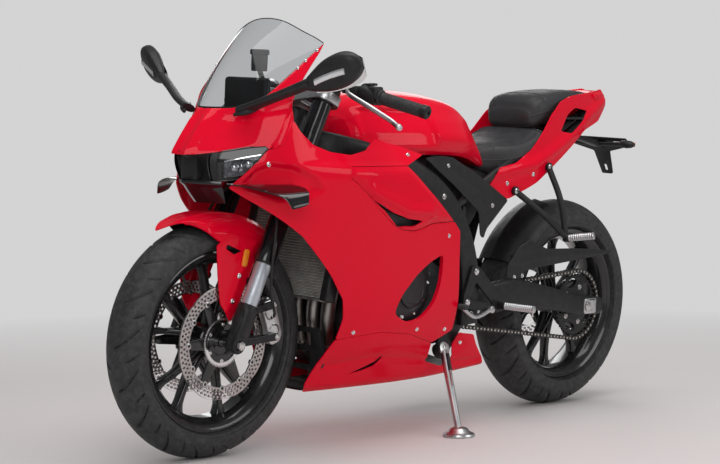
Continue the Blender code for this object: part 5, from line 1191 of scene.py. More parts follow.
def make_tyre(key):
    w = WHEELS[key]
    half, crown, r = w["width"] / 2, w["crown"], w["r"]
    reach = math.asin(0.97 * half / crown)
    bead_y = w["rim"] / 2 - 0.0053
    # the third value is the place across the crown, beyond 1 on the side wall
    tread = [(r - crown * (1 - math.cos(reach * t)), crown * math.sin(reach * t), t)
             for t in np.linspace(-1, 1, 49)]
    r0, y0 = tread[-1][:2]
    wall = smooth([(r0, y0, 0), (r0 - 0.018, y0 + 0.0005, 0), (RIM_LIP_R + 0.016, half - 0.004, 0),
                   (RIM_LIP_R + 0.006, half - 0.006, 0), (RIM_LIP_R + 0.0006, bead_y + 0.001, 0),
                   (RIM_SEAT_R + 0.001, bead_y, 0)], 4)[1:]
    side = [(p.x, p.y, 2.0) for p in wall]
    profile = np.array([(a, -b, c) for a, b, c in reversed(side)] + tread + side)
    angles = np.linspace(0, 2 * math.pi, TREAD_STEPS, endpoint=False)
    grid_a, grid_s = np.meshgrid(angles, profile[:, 2], indexing="ij")
    cut = TREAD_DEPTH * groove(grid_a, np.clip(grid_s, -1, 1)) * (np.abs(grid_s) <= 1)
    radius = profile[None, :, 0] - cut
    y = np.broadcast_to(profile[None, :, 1], radius.shape)
    verts = np.stack([radius * np.cos(grid_a), y, radius * np.sin(grid_a)], -1).reshape(-1, 3)
    piece = Piece(key + "_tyre_tread", key + "_wheel", key + "_tyre")
    piece.add(((verts + np.array(w["hub"])).tolist(), band_faces(len(profile), TREAD_STEPS, False)),
              "rubber")
    ring = RIM_LIP_R + 0.030
    for side in (1, -1):
        line = [(ring + 0.0008, side * (half - 0.0042)), (ring, side * (half - 0.0030)),
                (ring - 0.0008, side * (half - 0.0042))]
        piece.add(moved(lathe(line, 128, False), Matrix.Translation(w["hub"])), "rubber")
    piece.done(50)


def make_rim(key):
    """Starts the wheel's piece and returns it with the place of its hub."""
    w = WHEELS[key]
    hub, half = w["hub"], w["rim"] / 2
    seat = half - 0.005
    left = [(RIM_LIP_R, half - 0.001), (RIM_LIP_R + 0.0008, half - 0.0025), (RIM_LIP_R, seat),
            (RIM_SEAT_R, seat), (RIM_SEAT_R - 0.004, 0.70 * half),
            (RIM_SEAT_R - 0.016, 0.42 * half)]
    inner = [(RIM_SEAT_R - 0.021, 0.42 * half), (RIM_SEAT_R - 0.012, 0.66 * half),
             (RIM_SEAT_R - 0.005, 0.86 * half), (RIM_SEAT_R + 0.004, half - 0.003),
             (RIM_LIP_R - 0.004, half)]
    profile = [*left, *((r, -y) for r, y in reversed(left)), *((r, -y) for r, y in reversed(inner)),
               *inner]
    piece = Piece(key + "_rim_cast", key + "_wheel", key + "_wheel_rim")
    at_hub = Matrix.Translation(hub)
    piece.add(moved(lathe(profile, 144), at_hub), "wheel")
    start, end = HUB_R - 0.006, RIM_SEAT_R - 0.0188
    rows = spline_of((start, 0.070, 0.110, 0.150, 0.178, end),
                     ((0.013, 0.022), (0.0105, 0.019), (0.0085, 0.016), (0.0085, 0.0140),
                      (0.0105, 0.0140), (0.019, 0.0165)))
    for i in range(5):
        middle = 2 * math.pi * i / 5 + math.radians(w["turn"])
        for side in (-1, 1):
            rings = []
            for r in np.linspace(start, end, 22):
                breadth, depth = rows(r)
                turn = (middle + side * 0.09
                        + side * math.radians(11) * (r - HUB_R) / (RIM_SEAT_R - HUB_R))
                out, across = polar(1, turn), Vector((-math.sin(turn), 0, math.cos(turn)))
                rings.append([hub + out * r + across * (breadth * u) + Vector((0, depth * v, 0))
                              for u, v in squared(20, 0.62)])
            piece.add(loft(rings), "wheel")
    hh = w["half"]
    body = [(0.012, hh), (0.034, hh), (HUB_R, hh - 0.002), (HUB_R, 0.024), (0.044, 0.016),
            (0.044, -0.016), (HUB_R, -0.024), (HUB_R, -hh + 0.002), (0.034, -hh), (0.012, -hh)]
    piece.add(moved(lathe(body, 64), at_hub), "wheel")
    valve = polar(1, 1.1)
    piece.add(cyl(hub + valve * (RIM_SEAT_R - 0.018), hub + valve * (RIM_SEAT_R - 0.052), 0.004,
                  steps=12), "grip")
    return piece, at_hub


def carrier_star(radius):
    """The six-armed plate that carries a disc."""
    root, arm_half, outline = 0.050, 0.010, []
    tip, base = math.asin(arm_half / radius), math.asin(1.7 * arm_half / root)
    for middle in around(6):
        for angle, r in ((-base, root), (-tip, radius), (tip, radius), (base, root)):
            outline.append((r * math.cos(middle + angle), r * math.sin(middle + angle)))
    return flat([rounded(outline, 0.008, 4), circle(0, 0, 0.030, 40)], 0.006)


def disc_shape(radius, band, holes, hole_r):
    """A wavy disc; holes are (radius, place) pairs, repeated in every half wave."""
    halves = DISC_WAVES * 2
    loops = []
    for r, sign in ((radius, 1), (radius - band, -1)):
        edge = []
        for a in around(DISC_WAVES * 18):
            d = r - sign * 0.0042 * (1 - abs(math.sin(DISC_WAVES * a / 2)) ** 0.5)
            edge.append((d * math.cos(a), d * math.sin(a)))
        loops.append(edge)
    for i in range(halves):
        for r, off in holes:
            a = 2 * math.pi * (i + off) / halves
            loops.append(circle(r * math.cos(a), r * math.sin(a), hole_r, 8))
    return flat(loops, DISC_T, 0.0004)


def make_front_wheel():
    make_tyre("front")
    piece, at_hub = make_rim("front")
    arm_y = DISC_Y - DISC_T / 2 - 0.0003 - 0.003
    star = carrier_star(DISC_R - DISC_BAND + 0.006)
    for side in (1, -1):
        piece.add(moved(star, at_hub @ Matrix.Translation((0, side * arm_y, 0))), "wheel")
        for a in around(6, 0.5):
            p = FRONT_HUB + polar(0.0465, a, side * (arm_y + 0.003))
            piece.add(bolt(p, (0, side, 0), 0.0045, 0.003), "steel")
    comb = []
    for a0 in around(72):
        for a, r in ((a0, 0.062), (a0 + 0.043, 0.062), (a0 + 0.0435, 0.058), (a0 + 0.087, 0.058)):
            comb.append((r * math.cos(a), r * math.sin(a)))
    ring = flat([comb, circle(0, 0, 0.050, 48)], 0.0016, 0.0003)
    piece.add(moved(ring, at_hub @ Matrix.Translation((0, arm_y + 0.0045, 0))), "chrome")
    piece.done(32)
    holes = [(r, off + k * 0.25) for r, off in ((0.1365, 0.0), (0.1275, 0.125), (0.1190, 0.0))
             for k in range(4)]
    shape = disc_shape(DISC_R, DISC_BAND, holes, 0.0034)
    for name, side in SIDES:
        disc = Piece("front_rotor_" + name, "front_wheel", "front_disc_" + name)
        disc.add(moved(shape, at_hub @ Matrix.Translation((0, side * DISC_Y, 0))), "disc")
        for a in around(12):
            p = FRONT_HUB + polar(0.1145, a, side * (DISC_Y - 0.0035))
            disc.add(cyl(p, p + Vector((0, side * 0.0072, 0)), 0.0078, steps=20), "steel")
            disc.add(cyl(p, p + Vector((0, side * 0.0080, 0)), 0.0040, steps=14), "satin")
        disc.done(32)
    axle = Piece("front_axle_turned", "steering", "front_axle")
    for side in (1, -1):
        end = FRONT_HUB + Vector((0, side * 0.1355, 0))
        axle.add(cyl(FRONT_HUB + Vector((0, side * 0.01, 0)), end, 0.0105), "steel")
        axle.add(turned([(0.0105, -0.004), (0.0105, 0.0), (0.008, 0.0), (0.0075, -0.008),
                         (0, -0.008)], end, (0, side, 0), 24), "steel")
    axle.done(35)


def make_rear_wheel():
    make_tyre("rear")
    piece, at_hub = make_rim("rear")
    piece.add(moved(carrier_star(0.090), at_hub @ Matrix.Translation((0, -0.082, 0))), "wheel")
    piece.add(moved(lathe([(0.034, 0.050), (0.070, 0.056), (0.074, 0.062), (0.074, 0.084),
                           (0.070, 0.0875), (0.034, 0.0875)], 64), at_hub), "wheel")
    piece.done(32)
    rotor = Piece("rear_rotor", "rear_wheel", "rear_disc")
    holes = ((0.103, 0.0), (0.103, 0.5), (0.095, 0.25), (0.095, 0.75))
    rotor.add(moved(disc_shape(0.110, 0.026, holes, 0.0032),
                    at_hub @ Matrix.Translation((0, -0.08755, 0))), "disc")
    rotor.done(32)
    tip, teeth, outline = REAR_PITCH_R - 0.0075 - 0.0020, 41, []
    for i in range(teeth):
        for off, r in ((0.0, tip), (0.12, tip), (0.32, tip - 0.0045), (0.62, tip - 0.0045),
                       (0.88, tip)):
            a = 2 * math.pi * (i + off) / teeth
            outline.append((r * math.cos(a), r * math.sin(a)))
    loops = [outline, circle(0, 0, 0.0152, 32)]
    for m in around(5):
        loops.append([((0.070 + 0.013 * math.sin(a)) * math.cos(m + 0.34 * math.cos(a)),
                       (0.070 + 0.013 * math.sin(a)) * math.sin(m + 0.34 * math.cos(a)))
                      for a in around(20)])
    cog = Piece("sprocket_cut", "rear_wheel", "rear_sprocket")
    cog.add(moved(flat(loops, 0.0058, 0.0004), at_hub @ Matrix.Translation((0, CHAIN_Y, 0))),
            "satin")
    for a in around(5, 0.5):
        cog.add(bolt(REAR_HUB + polar(0.055, a, 0.0943), (0, 1, 0), 0.0062, 0.004), "steel")
    cog.done(32)


def make_chain():
    front, rear = Vector((-0.075, 0.335)), Vector((REAR_HUB.x, REAR_HUB.z))
    heading = math.atan2(rear.y - front.y, rear.x - front.x)
    side = math.pi / 2 + math.asin((REAR_PITCH_R - FRONT_PITCH_R) / (rear - front).length)
    path = []
    for centre, radius, start, end in (
            (front, FRONT_PITCH_R, heading + side, heading + 2 * math.pi - side),
            (rear, REAR_PITCH_R, heading - side, heading + side)):
        for i in range(121):
            a = start + (end - start) * i / 120
            path.append(centre + Vector((math.cos(a), math.sin(a))) * radius)
    lengths = [0.0]
    for a, b in zip(path, path[1:] + path[:1]):
        lengths.append(lengths[-1] + (b - a).length)
    total = lengths[-1]
    links = 2 * round(total / CHAIN_PITCH / 2)
    lengths = np.array(lengths)

    def at(distance):
        distance %= total
        i = min(int(np.searchsorted(lengths, distance, side="right")) - 1, len(path) - 1)
        share = (distance - lengths[i]) / max(lengths[i + 1] - lengths[i], 1e-9)
        return path[i].lerp(path[(i + 1) % len(path)], float(share))

    piece = Piece("chain_links", "frame", "drive_chain")
    pins = [at(total * i / links) for i in range(links)]
    for i, p in enumerate(pins):
        q = pins[(i + 1) % links]
        way = (q - p).normalized()
        across = Vector((-way.y, way.x))
        outline = []
        for t, base in ((0.0, q), (math.pi, p)):
            for k in range(7):
                a = -math.pi / 2 + math.pi * k / 6 + t
                outline.append(base + way * (0.0066 * math.cos(a))
                               + across * (0.0066 * math.sin(a)))
        waist = (p + q) / 2
        outline.insert(7, waist + across * 0.0050)
        outline.append(waist - across * 0.0050)
        out = 0.0078 if i % 2 else 0.0058
        for y in (out, -out):
            piece.add(loft([[(v.x, CHAIN_Y + y + half, v.y) for v in outline]
                            for half in (-0.0009, 0.0009)]), "chain")
        for reach, r, steps, finish in ((0.0088, 0.0030, 8, "steel"),
                                        (0.0045, 0.0050, 10, "chain")):
            piece.add(cyl((p.x, CHAIN_Y - reach, p.y), (p.x, CHAIN_Y + reach, p.y), r, steps=steps,
                          round_=0.0003), finish)
    piece.done()


# Steered parts


def make_fork():
    high = at_fork(0.372)
    lug = [(FRONT_HUB.x + 0.022, 0.300), (FRONT_HUB.x + 0.016, 0.2835), (FRONT_HUB.x, 0.2765),
           (FRONT_HUB.x - 0.016, 0.2835), (FRONT_HUB.x - 0.024, 0.300), (high.x - 0.021, 0.360),
           (high.x - 0.018, 0.386), (high.x + 0.020, 0.392), (high.x + 0.022, 0.372)]
    for name, side in SIDES:
        y = side * FORK_Y
        piece = Piece("fork_" + name, "steering", "fork_leg_" + name)
        top, foot = at_fork(0.945, 0, y), at_fork(0.500, 0, y)
        length = (top - foot).length
        for profile, start, steps, finish in (
                ([(0.0250, 0), (0.0282, 0.001), (0.0282, 0.030), (0.0268, 0.034), (0.0268, 0.190),
                  (0.0262, 0.200), (0.0262, length - 0.002), (0.024, length)], foot, 48,
                 "gloss_black"),
                ([(0.0225, -0.003), (0.0225, 0.0), (0.0, 0.0)], foot, 40, "grip"),
                ([(0.021, 0), (0.021, 0.004), (0.0175, 0.010), (0.012, 0.010), (0.012, 0.004),
                  (0, 0.004)], top, 30, "alloy"),
                ([(0.009, 0), (0.009, 0.010), (0.007, 0.012), (0, 0.012)], top, 6, "amber")):
            piece.add(turned(profile, start, FORK_DIR, steps), finish)
        piece.add(cyl(at_fork(0.375, 0, y), at_fork(0.505, 0, y), 0.0205, steps=48), "stanchion")
        piece.add(turned([(0.0225, -0.070), (0.0245, -0.060), (0.0262, -0.006), (0.0262, 0.008),
                          (0.0235, 0.012), (0.0, 0.012)], at_fork(FORK_FOOT, 0, y), FORK_DIR, 40),
                  "satin")
        piece.add(plate([rounded(lug, 0.008), circle(FRONT_HUB.x, 0.300, 0.0112, 28)], 0.034,
                        side * 0.108, 0.004), "satin")
        for a, b in (((high.x - 0.010, 0.378), (FRONT_HUB.x - 0.128, 0.392)),
                     ((FRONT_HUB.x - 0.010, 0.302), (FRONT_HUB.x - 0.142, 0.310))):
            piece.add(plate([slot_hole(a, b, 0.0095, 8)], 0.014, side * 0.1035, 0.002), "satin")
            piece.add(bolt((b[0], side * 0.1105, b[1]), (0, side, 0), 0.0052, 0.004), "steel")
        piece.add(cyl(at_fork(0.452, 0.0, side * 0.0765), at_fork(0.452, 0, side * 0.092), 0.0105),
                  "satin")
        piece.done()


def make_yokes():
    reach = FORK_Y + 0.040
    outline = [(0.040, -reach + 0.022), (0.024, -0.055), (0.008, 0.0), (0.024, 0.055),
               (0.040, reach - 0.022), (0.022, reach), (-0.022, reach), (-0.040, reach - 0.022),
               (-0.062, 0.045), (-0.066, 0.0), (-0.062, -0.045), (-0.040, -reach + 0.022),
               (-0.022, -reach), (0.022, -reach)]
    for name, z, finish in (("lower", 0.715, "satin"), ("upper", 0.915, "alloy")):
        origin = at_fork(z)
        matrix = Matrix(((FORK_ACROSS.x, 0, FORK_DIR.x, origin.x), (0, 1, 0, 0),
                         (FORK_ACROSS.z, 0, FORK_DIR.z, origin.z), (0, 0, 0, 1)))
        holes = [circle(0, s * FORK_Y, 0.0273, 40) for s in (-1, 1)]
        if name == "upper":
            holes += [rounded([(-0.030, s * 0.034), (0.004, s * 0.028), (0.010, s * 0.056),
                               (-0.022, s * 0.062)], 0.006) for s in (-1, 1)]
        shape = moved(flat([rounded(outline, 0.012, 5), *holes], 0.0255, 0.0025), XZ.inverted())
        piece = Piece(name + "_clamp", "steering", name + "_yoke")
        piece.add(moved(shape, matrix), finish)
        if name == "lower":
            piece.add(cyl(at_fork(z, STEM_ACROSS), at_fork(0.898, STEM_ACROSS), 0.0138), "steel")
        else:
            nut = at_fork(z, STEM_ACROSS) + FORK_DIR * 0.0130
            piece.add(turned([(0.021, -0.004), (0.021, 0.006), (0.018, 0.008), (0.009, 0.008),
                              (0.009, 0.001), (0, 0.001)], nut, FORK_DIR, 30), "alloy")
        piece.done()


# the brake hose: height, distance across the fork, and y
HOSE = ((0.705, 0.000, 0.065), (0.655, 0.034, 0.090), (0.600, 0.030, 0.128), (0.500, 0.004, 0.1400),
        (0.440, -0.030, 0.136), (0.405, -0.075, 0.125))


def make_bars():
    way = (GRIP_OUT - GRIP_IN).normalized()
    length = (GRIP_OUT - GRIP_IN).length

    def near(reach, *off):
        """A point along the grip, from its inner end, and beside it."""
        return GRIP_IN + way * reach + Vector(off)

    parts = [
        (cyl(BAR_ROOT, near(0.004, 0, 0, 0), 0.011), "satin"),
        (turned([(0.0275, 0), (0.035, 0.001), (0.036, 0.003), (0.036, 0.013), (0.034, 0.0155),
                 (0.0275, 0.0155)], at_fork(0.9290, 0, FORK_Y), FORK_DIR, 48), "satin"),
        (cyl(near(-0.055, 0, 0, 0), near(-0.006, 0, 0, 0), 0.0235, round_=0.003), "plastic"),
    ]
    for (reach, *low), (end, *top), bevel, segments, finish in (
            ((-0.052, -0.021, -0.016, -0.017), (-0.012, 0.021, 0.016, 0.025), 0.006, 4, "plastic"),
            ((-0.085, -0.013, -0.014, -0.013), (-0.062, 0.033, 0.014, 0.013), 0.005, 3, "satin"),
            ((-0.040, -0.020, -0.008, 0.020), (-0.026, -0.006, 0.006, 0.030), 0.003, 2, "grip"),
            ((-0.034, 0.000, -0.008, 0.022), (-0.026, 0.012, 0.004, 0.029), 0.002, 2, "grip")):
        parts.append((box(near(reach, *low), near(end, *top), bevel, segments), finish))
    parts.append((bolt(BAR_ROOT + Vector((0.010, 0.012, 0.010)), (0.5, 0.6, 0.4), 0.0045), "steel"))
    grip = [(0.0205 if i < 3 else 0.0158 + 0.0009 * (1 if i % 3 else -0.6),
             i / 59 * (length - 0.018)) for i in range(60)]
    parts.append((turned(grip, GRIP_IN, way, 36), "grip"))
    parts.append((turned([(0.0172, 0), (0.0175, 0.002), (0.0175, 0.016), (0.014, 0.0195),
                          (0.006, 0.0198), (0.006, 0.016), (0, 0.016)], GRIP_OUT - way * 0.020, way,
                         32), "satin"))
    perch = near(-0.078, 0, 0, 0)
    base = perch + Vector((0.040, -0.006, 0.036))
    reservoir = [
        (cyl(perch + Vector((0.016, 0, 0.004)), base + Vector((0, 0, 0.006)), 0.007), "satin"),
        (cyl(base, base + Vector((0, 0, 0.045)), 0.0215, 0.022, round_=0.003), "seat"),
        (turned([(0.023, 0), (0.0258, 0.001), (0.0258, 0.012), (0.023, 0.0145), (0, 0.0145)],
                base + Vector((0, 0, 0.0435)), (0, 0, 1), 24), "plastic"),
        (box(base + Vector((-0.012, 0.0205, 0.010)), base + Vector((0.010, 0.0222, 0.036)), 0.001),
         "amber"),
    ]
    path = smooth([near(-0.074, 0.028, 0, 0.002), near(-0.045, 0.060, 0, -0.004),
                   near(0.020, 0.066, 0, -0.018), near(0.085, 0.064, 0, -0.036),
                   near(0.118, 0.074, 0, -0.044)], 8)
    rings = []
    for i, p in enumerate(path):
        ahead = (path[min(i + 1, len(path) - 1)] - path[max(i - 1, 0)]).normalized()
        wide = ahead.cross(Vector((0, 0, 1))).normalized()
        tall = wide.cross(ahead)
        rings.append([p + wide * (0.0048 * math.cos(a)) + tall * (0.0068 * math.sin(a))
                      for a in around(18)])
    ball = [(0.0092 * math.sin(t), -0.0092 * math.cos(t))
            for t in np.linspace(0.02, math.pi - 0.02, 14)]
    blade = [(loft(rings), "alloy"), (turned(ball, path[-1], (0, 0, 1), 24), "alloy")]
    for name, side in SIDES:
        piece = Piece("bar_" + name, "steering", "clip_on_" + name)
        piece.add_all(parts if side > 0 else parts + reservoir, side)
        piece.done()
        lever = Piece("lever_blade_" + name, "steering", "lever_" + name)
        lever.add_all(blade, side)
        lever.done(45)
        hose = Piece("hose_" + name, "steering", "brake_hose_" + name)
        line = smooth([*(at_fork(z, across, side * y) for z, across, y in HOSE),
                       FRONT_HUB + Vector((-0.120, side * 0.1112, 0.061))], 8)
        hose.add(tube(line, 0.0038, 12), "plastic")
        hose.add(cyl(line[-1] + Vector((-0.006, side * -0.005, 0)), line[-6], 0.0052), "steel")
        hose.done(50)


SHIELD = [(0.628, 0.560), (0.700, 0.575), (0.742, 0.545), (0.735, 0.470), (0.724, 0.400),
          (0.690, 0.352), (0.668, 0.385), (0.618, 0.490), (0.596, 0.545)]


def shield_surface(x, z):
    """The plate in front of each fork foot, with its crease."""
    crease = signed_to([(0.612, 0.552), (0.665, 0.470), (0.700, 0.385)], x, z)
    return 0.0742 + 0.004 * np.exp(-(crease / 0.012) ** 2)


def make_fender():
    piece = Piece("fender_skin", "steering", "front_fender")
    section = arch_section([(0.0, 0.0), (0.030, -0.004), (0.054, -0.016), (0.069, -0.040),
                            (0.074, -0.072)])
    rows = []
    for i in range(61):
        share = i / 60
        angle = math.radians(58 + 60 * share)
        narrow = 0.55 + 0.45 * ramp(share, 0.25)
        depth = 0.18 + 0.82 * ramp(share, 0.45)
        lift = 0.010 * (1 - share) ** 2
        row = []
        for y, d in section:
            # the front edge sweeps back from its tip
            a = angle + math.radians(11) * (1 - share) ** 3 * (abs(y) / 0.074) ** 1.3
            ridge = 0.0035 * min(1.0, share / 0.2) * math.exp(-((abs(y) - 0.030) / 0.008) ** 2)
            row.append(FRONT_HUB + polar(1, a) * (0.3232 + lift + d * depth + ridge)
                       + Vector((0, y * float(narrow), 0)))
        rows.append(row)
    inner = [[Vector((p.x, p.y * 0.955, p.z))
              - (p - Vector((FRONT_HUB.x, p.y, FRONT_HUB.z))).normalized() * 0.0028 for p in row]
             for row in rows]
    add_shell(piece, rows, inner, "red")
    slit = rounded([(0.658, 0.529), (0.708, 0.548), (0.712, 0.537), (0.684, 0.521)], 0.002, 3)
    reflector = rounded([(-0.0085, -0.022), (0.0085, -0.022), (0.0085, 0.022), (-0.0085, 0.022)],
                        0.007, 6)
    lean = Matrix.Translation((0.650, 0.0792, 0.512)) @ Matrix.Rotation(math.radians(-12), 4, "Y")
    parts = [(skin(rounded(SHIELD, 0.007, 5), shield_surface, [slit], 0.006), "red"),
             (moved(flat([reflector], 0.005, 0.0016), lean), "amber")]
    for x, z in ((0.668, 0.468), (0.688, 0.405)):
        parts.append((bolt((x, 0.0775, z), (0, 1, 0), 0.0052, 0.003), "chrome"))
    piece.add_both(parts)
    piece.done()


def make_calipers():
    half, gap = Vector((0.024, 0.0297, 0.058)), 0.0078
    outline = rounded([(-half.x, -half.z * 0.72), (-half.x * 0.5, -half.z), (half.x * 0.7, -half.z),
                       (half.x, -half.z * 0.86), (half.x * 0.86, 0), (half.x, half.z * 0.86),
                       (half.x * 0.7, half.z), (-half.x * 0.5, half.z), (-half.x, half.z * 0.72)],
                      0.008, 4)
    cap = [(0.0205, 0.0), (0.0205, 0.0030), (0.018, 0.0048), (0.013, 0.0048), (0.0125, 0.0030),
           (0.0, 0.0030)]
    for name, side in SIDES:
        piece = Piece("caliper_" + name, "steering", "front_caliper_" + name)
        centre = FRONT_HUB + Vector((-0.140, side * DISC_Y, 0.047))
        turn = Matrix.Translation(centre) @ Matrix.Rotation(math.atan2(0.047, 0.140), 4, "Y")
        out = turn.to_3x3() @ Vector((0, side, 0))
        body = flat([outline], half.y - gap, 0.003)
        for s in (1, -1):
            piece.add(moved(body, turn @ Matrix.Translation((0, s * (half.y + gap) / 2, 0))),
                      "alloy")
        for z in (-0.050, -0.018, 0.018, 0.050):
            piece.add(moved(box((-half.x * 0.98, -gap - 0.002, z - 0.007),
                                (-half.x * 0.55, gap + 0.002, z + 0.007), 0.002), turn), "alloy")
        for z in (-0.024, 0.024):
            base = turn @ Vector((0.001, side * half.y, z))
            piece.add(turned([(r, h - 0.0008) for r, h in cap], base - out * 0.0040, out, 36),
                      "chrome")
        for z in (-0.050, 0.050):
            base = turn @ Vector((0.004, side * (half.y - 0.0045), z))
            piece.add(bolt(base, out, 0.0048, 0.004), "steel")
        piece.done()


# Frame and running gear


def beam_ring(centre, tangent, height, width):
    """A rounded section of a beam that runs in the x and z plane."""
    up = Vector((-tangent.z, 0, tangent.x)).normalized()
    return [centre + up * (height * u) + Vector((0, width * v, 0)) for u, v in squared(24, 0.5)]


SPAR = ((0.425, 0.020, 0.800, 0.040, 0.018), (0.330, 0.098, 0.785, 0.034, 0.015),
        (0.140, 0.136, 0.735, 0.036, 0.016), (0.000, 0.148, 0.655, 0.036, 0.016),
        (-0.085, 0.152, 0.550, 0.034, 0.016), (-0.128, 0.150, 0.430, 0.036, 0.016),
        (-0.140, 0.146, 0.300, 0.036, 0.014))
ARM = ((-0.138, 0.342, 0.028, 0.1185, 0.011), (-0.230, 0.358, 0.040, 0.1185, 0.011),
       (-0.300, 0.366, 0.044, 0.1230, 0.013), (-0.380, 0.366, 0.044, 0.124, 0.014),
       (-0.540, 0.344, 0.034, 0.124, 0.014), (-0.660, 0.318, 0.029, 0.124, 0.014),
       (-0.780, 0.310, 0.027, 0.124, 0.014))


def spar_rings(side):
    """Sections of the frame spar from (x, y, z, half height, half width) rows."""
    at, rings = along(SPAR), []
    rows = [at(t) for t in np.linspace(0, 1, 49)]
    for i, (x, y, z, height, width) in enumerate(rows):
        near, far = rows[max(0, i - 1)], rows[min(48, i + 1)]
        tangent = Vector((far[0] - near[0], 0, far[2] - near[2])).normalized()
        end = 0.9 if i in (0, 48) else 1.0
        rings.append(beam_ring(Vector((x, side * y, z)), tangent, height * end, width * end))
    return rings


def arm_rings(side):
    """Sections of the swingarm from (x, z, half height, y, half width) rows."""
    at, rings = along(ARM), []
    for i, t in enumerate(np.linspace(0, 1, 49)):
        x, z, height, y, width = at(t)
        end = 0.9 if i in (0, 48) else 1.0
        rings.append(beam_ring(Vector((x, side * y, z)), Vector((-1, 0, 0)), height * end,
                               width * end))
    return rings


def make_frame():
    piece = Piece("frame_castings", "frame", "frame")
    for side in (1, -1):
        piece.add(loft(spar_rings(side)), "satin")
        rail = smooth([(-0.060, side * 0.135, 0.620), (-0.300, side * 0.118, 0.735),
                       (-0.480, side * 0.100, 0.800), (-0.760, side * 0.040, 0.895)], 8)
        piece.add(tube(rail, 0.0115, 20), "satin")
        for x, z in ((-0.135, 0.452), (0.004, 0.660), (-0.132, 0.330)):
            piece.add(bolt((x, side * 0.1645, z), (0, side, 0), 0.006, 0.004), "steel")
    piece.add(cyl(at_fork(0.736, STEM_ACROSS), at_fork(0.894, STEM_ACROSS), 0.030, steps=40),
              "satin")
    for x, y, z, r, finish in (
            (-0.075, 0.150, 0.585, 0.016, "satin"), (-0.165, 0.160, 0.340, 0.012, "steel"),
            (-0.30, 0.12, 0.735, 0.010, "satin"), (-0.62, 0.07, 0.847, 0.010, "satin")):
        piece.add(cyl((x, -y, z), (x, y, z), r), finish)
    bracket = rounded([(-0.168, 0.345), (-0.110, 0.345), (-0.028, 0.262), (-0.018, 0.222),
                       (-0.040, 0.205), (-0.066, 0.214)], 0.010)
    piece.add(plate([bracket], 0.0078, 0.1343, 0.0015), "satin")
    piece.add(cyl(STAND_PIVOT - STAND_AXIS * 0.028, STAND_PIVOT - STAND_AXIS * 0.0043, 0.019),
              "satin")
    piece.done()


def make_engine():
    piece = Piece("engine_block", "frame", "engine")
    outline = rounded([(-0.118, 0.330), (-0.090, 0.440), (0.020, 0.500), (0.060, 0.640),
                       (0.265, 0.640), (0.330, 0.520), (0.300, 0.430), (0.330, 0.330),
                       (0.280, 0.255), (-0.060, 0.245)], 0.014)
    piece.add(flat([outline], 0.220, 0.006), "cast")
    for side, z, reach in ((1, 0.415, 0.176), (-1, 0.400, 0.172)):
        cover = [(0.092, 0.0), (0.090, reach - 0.104), (0.086, reach - 0.096),
                 (0.078, reach - 0.092), (0.055, reach - 0.0905), (0.050, reach - 0.094),
                 (0.020, reach - 0.094), (0.018, reach - 0.0915), (0.0, reach - 0.0915)]
        base = Vector((0.135, side * 0.09, z))
        piece.add(turned(cover, base, (0, side, 0), 72), "cast")
        for a in around(10):
            p = base + polar(0.086, a + 0.2, side * (reach - 0.1005))
            face = p + Vector((0, side * 0.001, 0))
            piece.add(cyl(p - Vector((0, side * 0.012, 0)), face, 0.0075), "cast")
            piece.add(bolt(face, (0, side, 0), 0.0046, 0.003), "chrome")
    piece.add(cyl((0.225, -0.09, 0.330), (0.225, -0.140, 0.330), 0.045, round_=0.004), "cast")
    middle = Vector((0.135, 0.420))
    lid = [tuple(middle + (Vector(p) - middle) * 0.97) for p in WINDOW]
    piece.add(plate([rounded(lid, 0.020, 6)], 0.012, 0.167, 0.003), "cast")
    piece.add(turned([(0.052, 0.0), (0.050, 0.006), (0.040, 0.008), (0.038, 0.006), (0, 0.006)],
                     (0.128, 0.1725, 0.415), (0, 1, 0), 56), "cast")
    for corner in WINDOW[1:]:
        p = middle + (Vector(corner) - middle) * 0.86
        piece.add(bolt((p.x, 0.1732, p.y), (0, 1, 0), 0.0050, 0.004), "chrome")
    for i in range(9):
        z = 0.525 + i * 0.012
        piece.add(box((0.050 + i * 0.001, -0.116, z), (0.315 - i * 0.005, 0.116, z + 0.003), 0.001),
                  "cast")
    piece.add(cyl((-0.075, 0.070, 0.335), (-0.075, 0.0985, 0.335), 0.0295, steps=32), "satin")
    piece.done()


def make_swingarm():
    piece = Piece("swingarm_box", "frame", "swingarm")
    block = rounded([(-0.745, 0.290), (-0.690, 0.290), (-0.686, 0.300), (-0.686, 0.328),
                     (-0.692, 0.336), (-0.745, 0.336)], 0.005)
    for side in (1, -1):
        piece.add(loft(arm_rings(side)), "satin")
        y = side * 0.1385
        piece.add(plate([block, circle(-0.7025, 0.313, 0.0115, 24)], 0.006, y, 0.0015), "alloy")
        for k in range(5):
            x = -0.738 + k * 0.006
            piece.add(box((x, y + side * 0.0026 - 0.001, 0.329),
                          (x + 0.0014, y + side * 0.0032 + 0.0008, 0.334), 0.0003), "satin")
        piece.add(cyl((-0.776, side * 0.124, 0.312), (-0.788, side * 0.124, 0.312), 0.0055),
                  "steel")
    piece.add(box((-0.345, -0.122, 0.322), (-0.255, 0.122, 0.364), 0.010, 3), "satin")
    piece.add(cyl((-0.165, -0.132, 0.340), (-0.165, -0.085, 0.340), 0.026), "satin")
    piece.add(box((-0.645, -0.1225, 0.330), (-0.585, -0.1099, 0.415), 0.003), "satin")
    piece.done()
    axle = Piece("rear_axle_turned", "frame", "rear_axle")
    for start, end, r, steps in ((-0.144, 0.144, 0.0108, 32), (0.1420, 0.1455, 0.0145, 6)):
        axle.add(cyl(REAR_HUB + Vector((0, start, 0)), REAR_HUB + Vector((0, end, 0)), r,
                     steps=steps), "steel")
    axle.done(35)


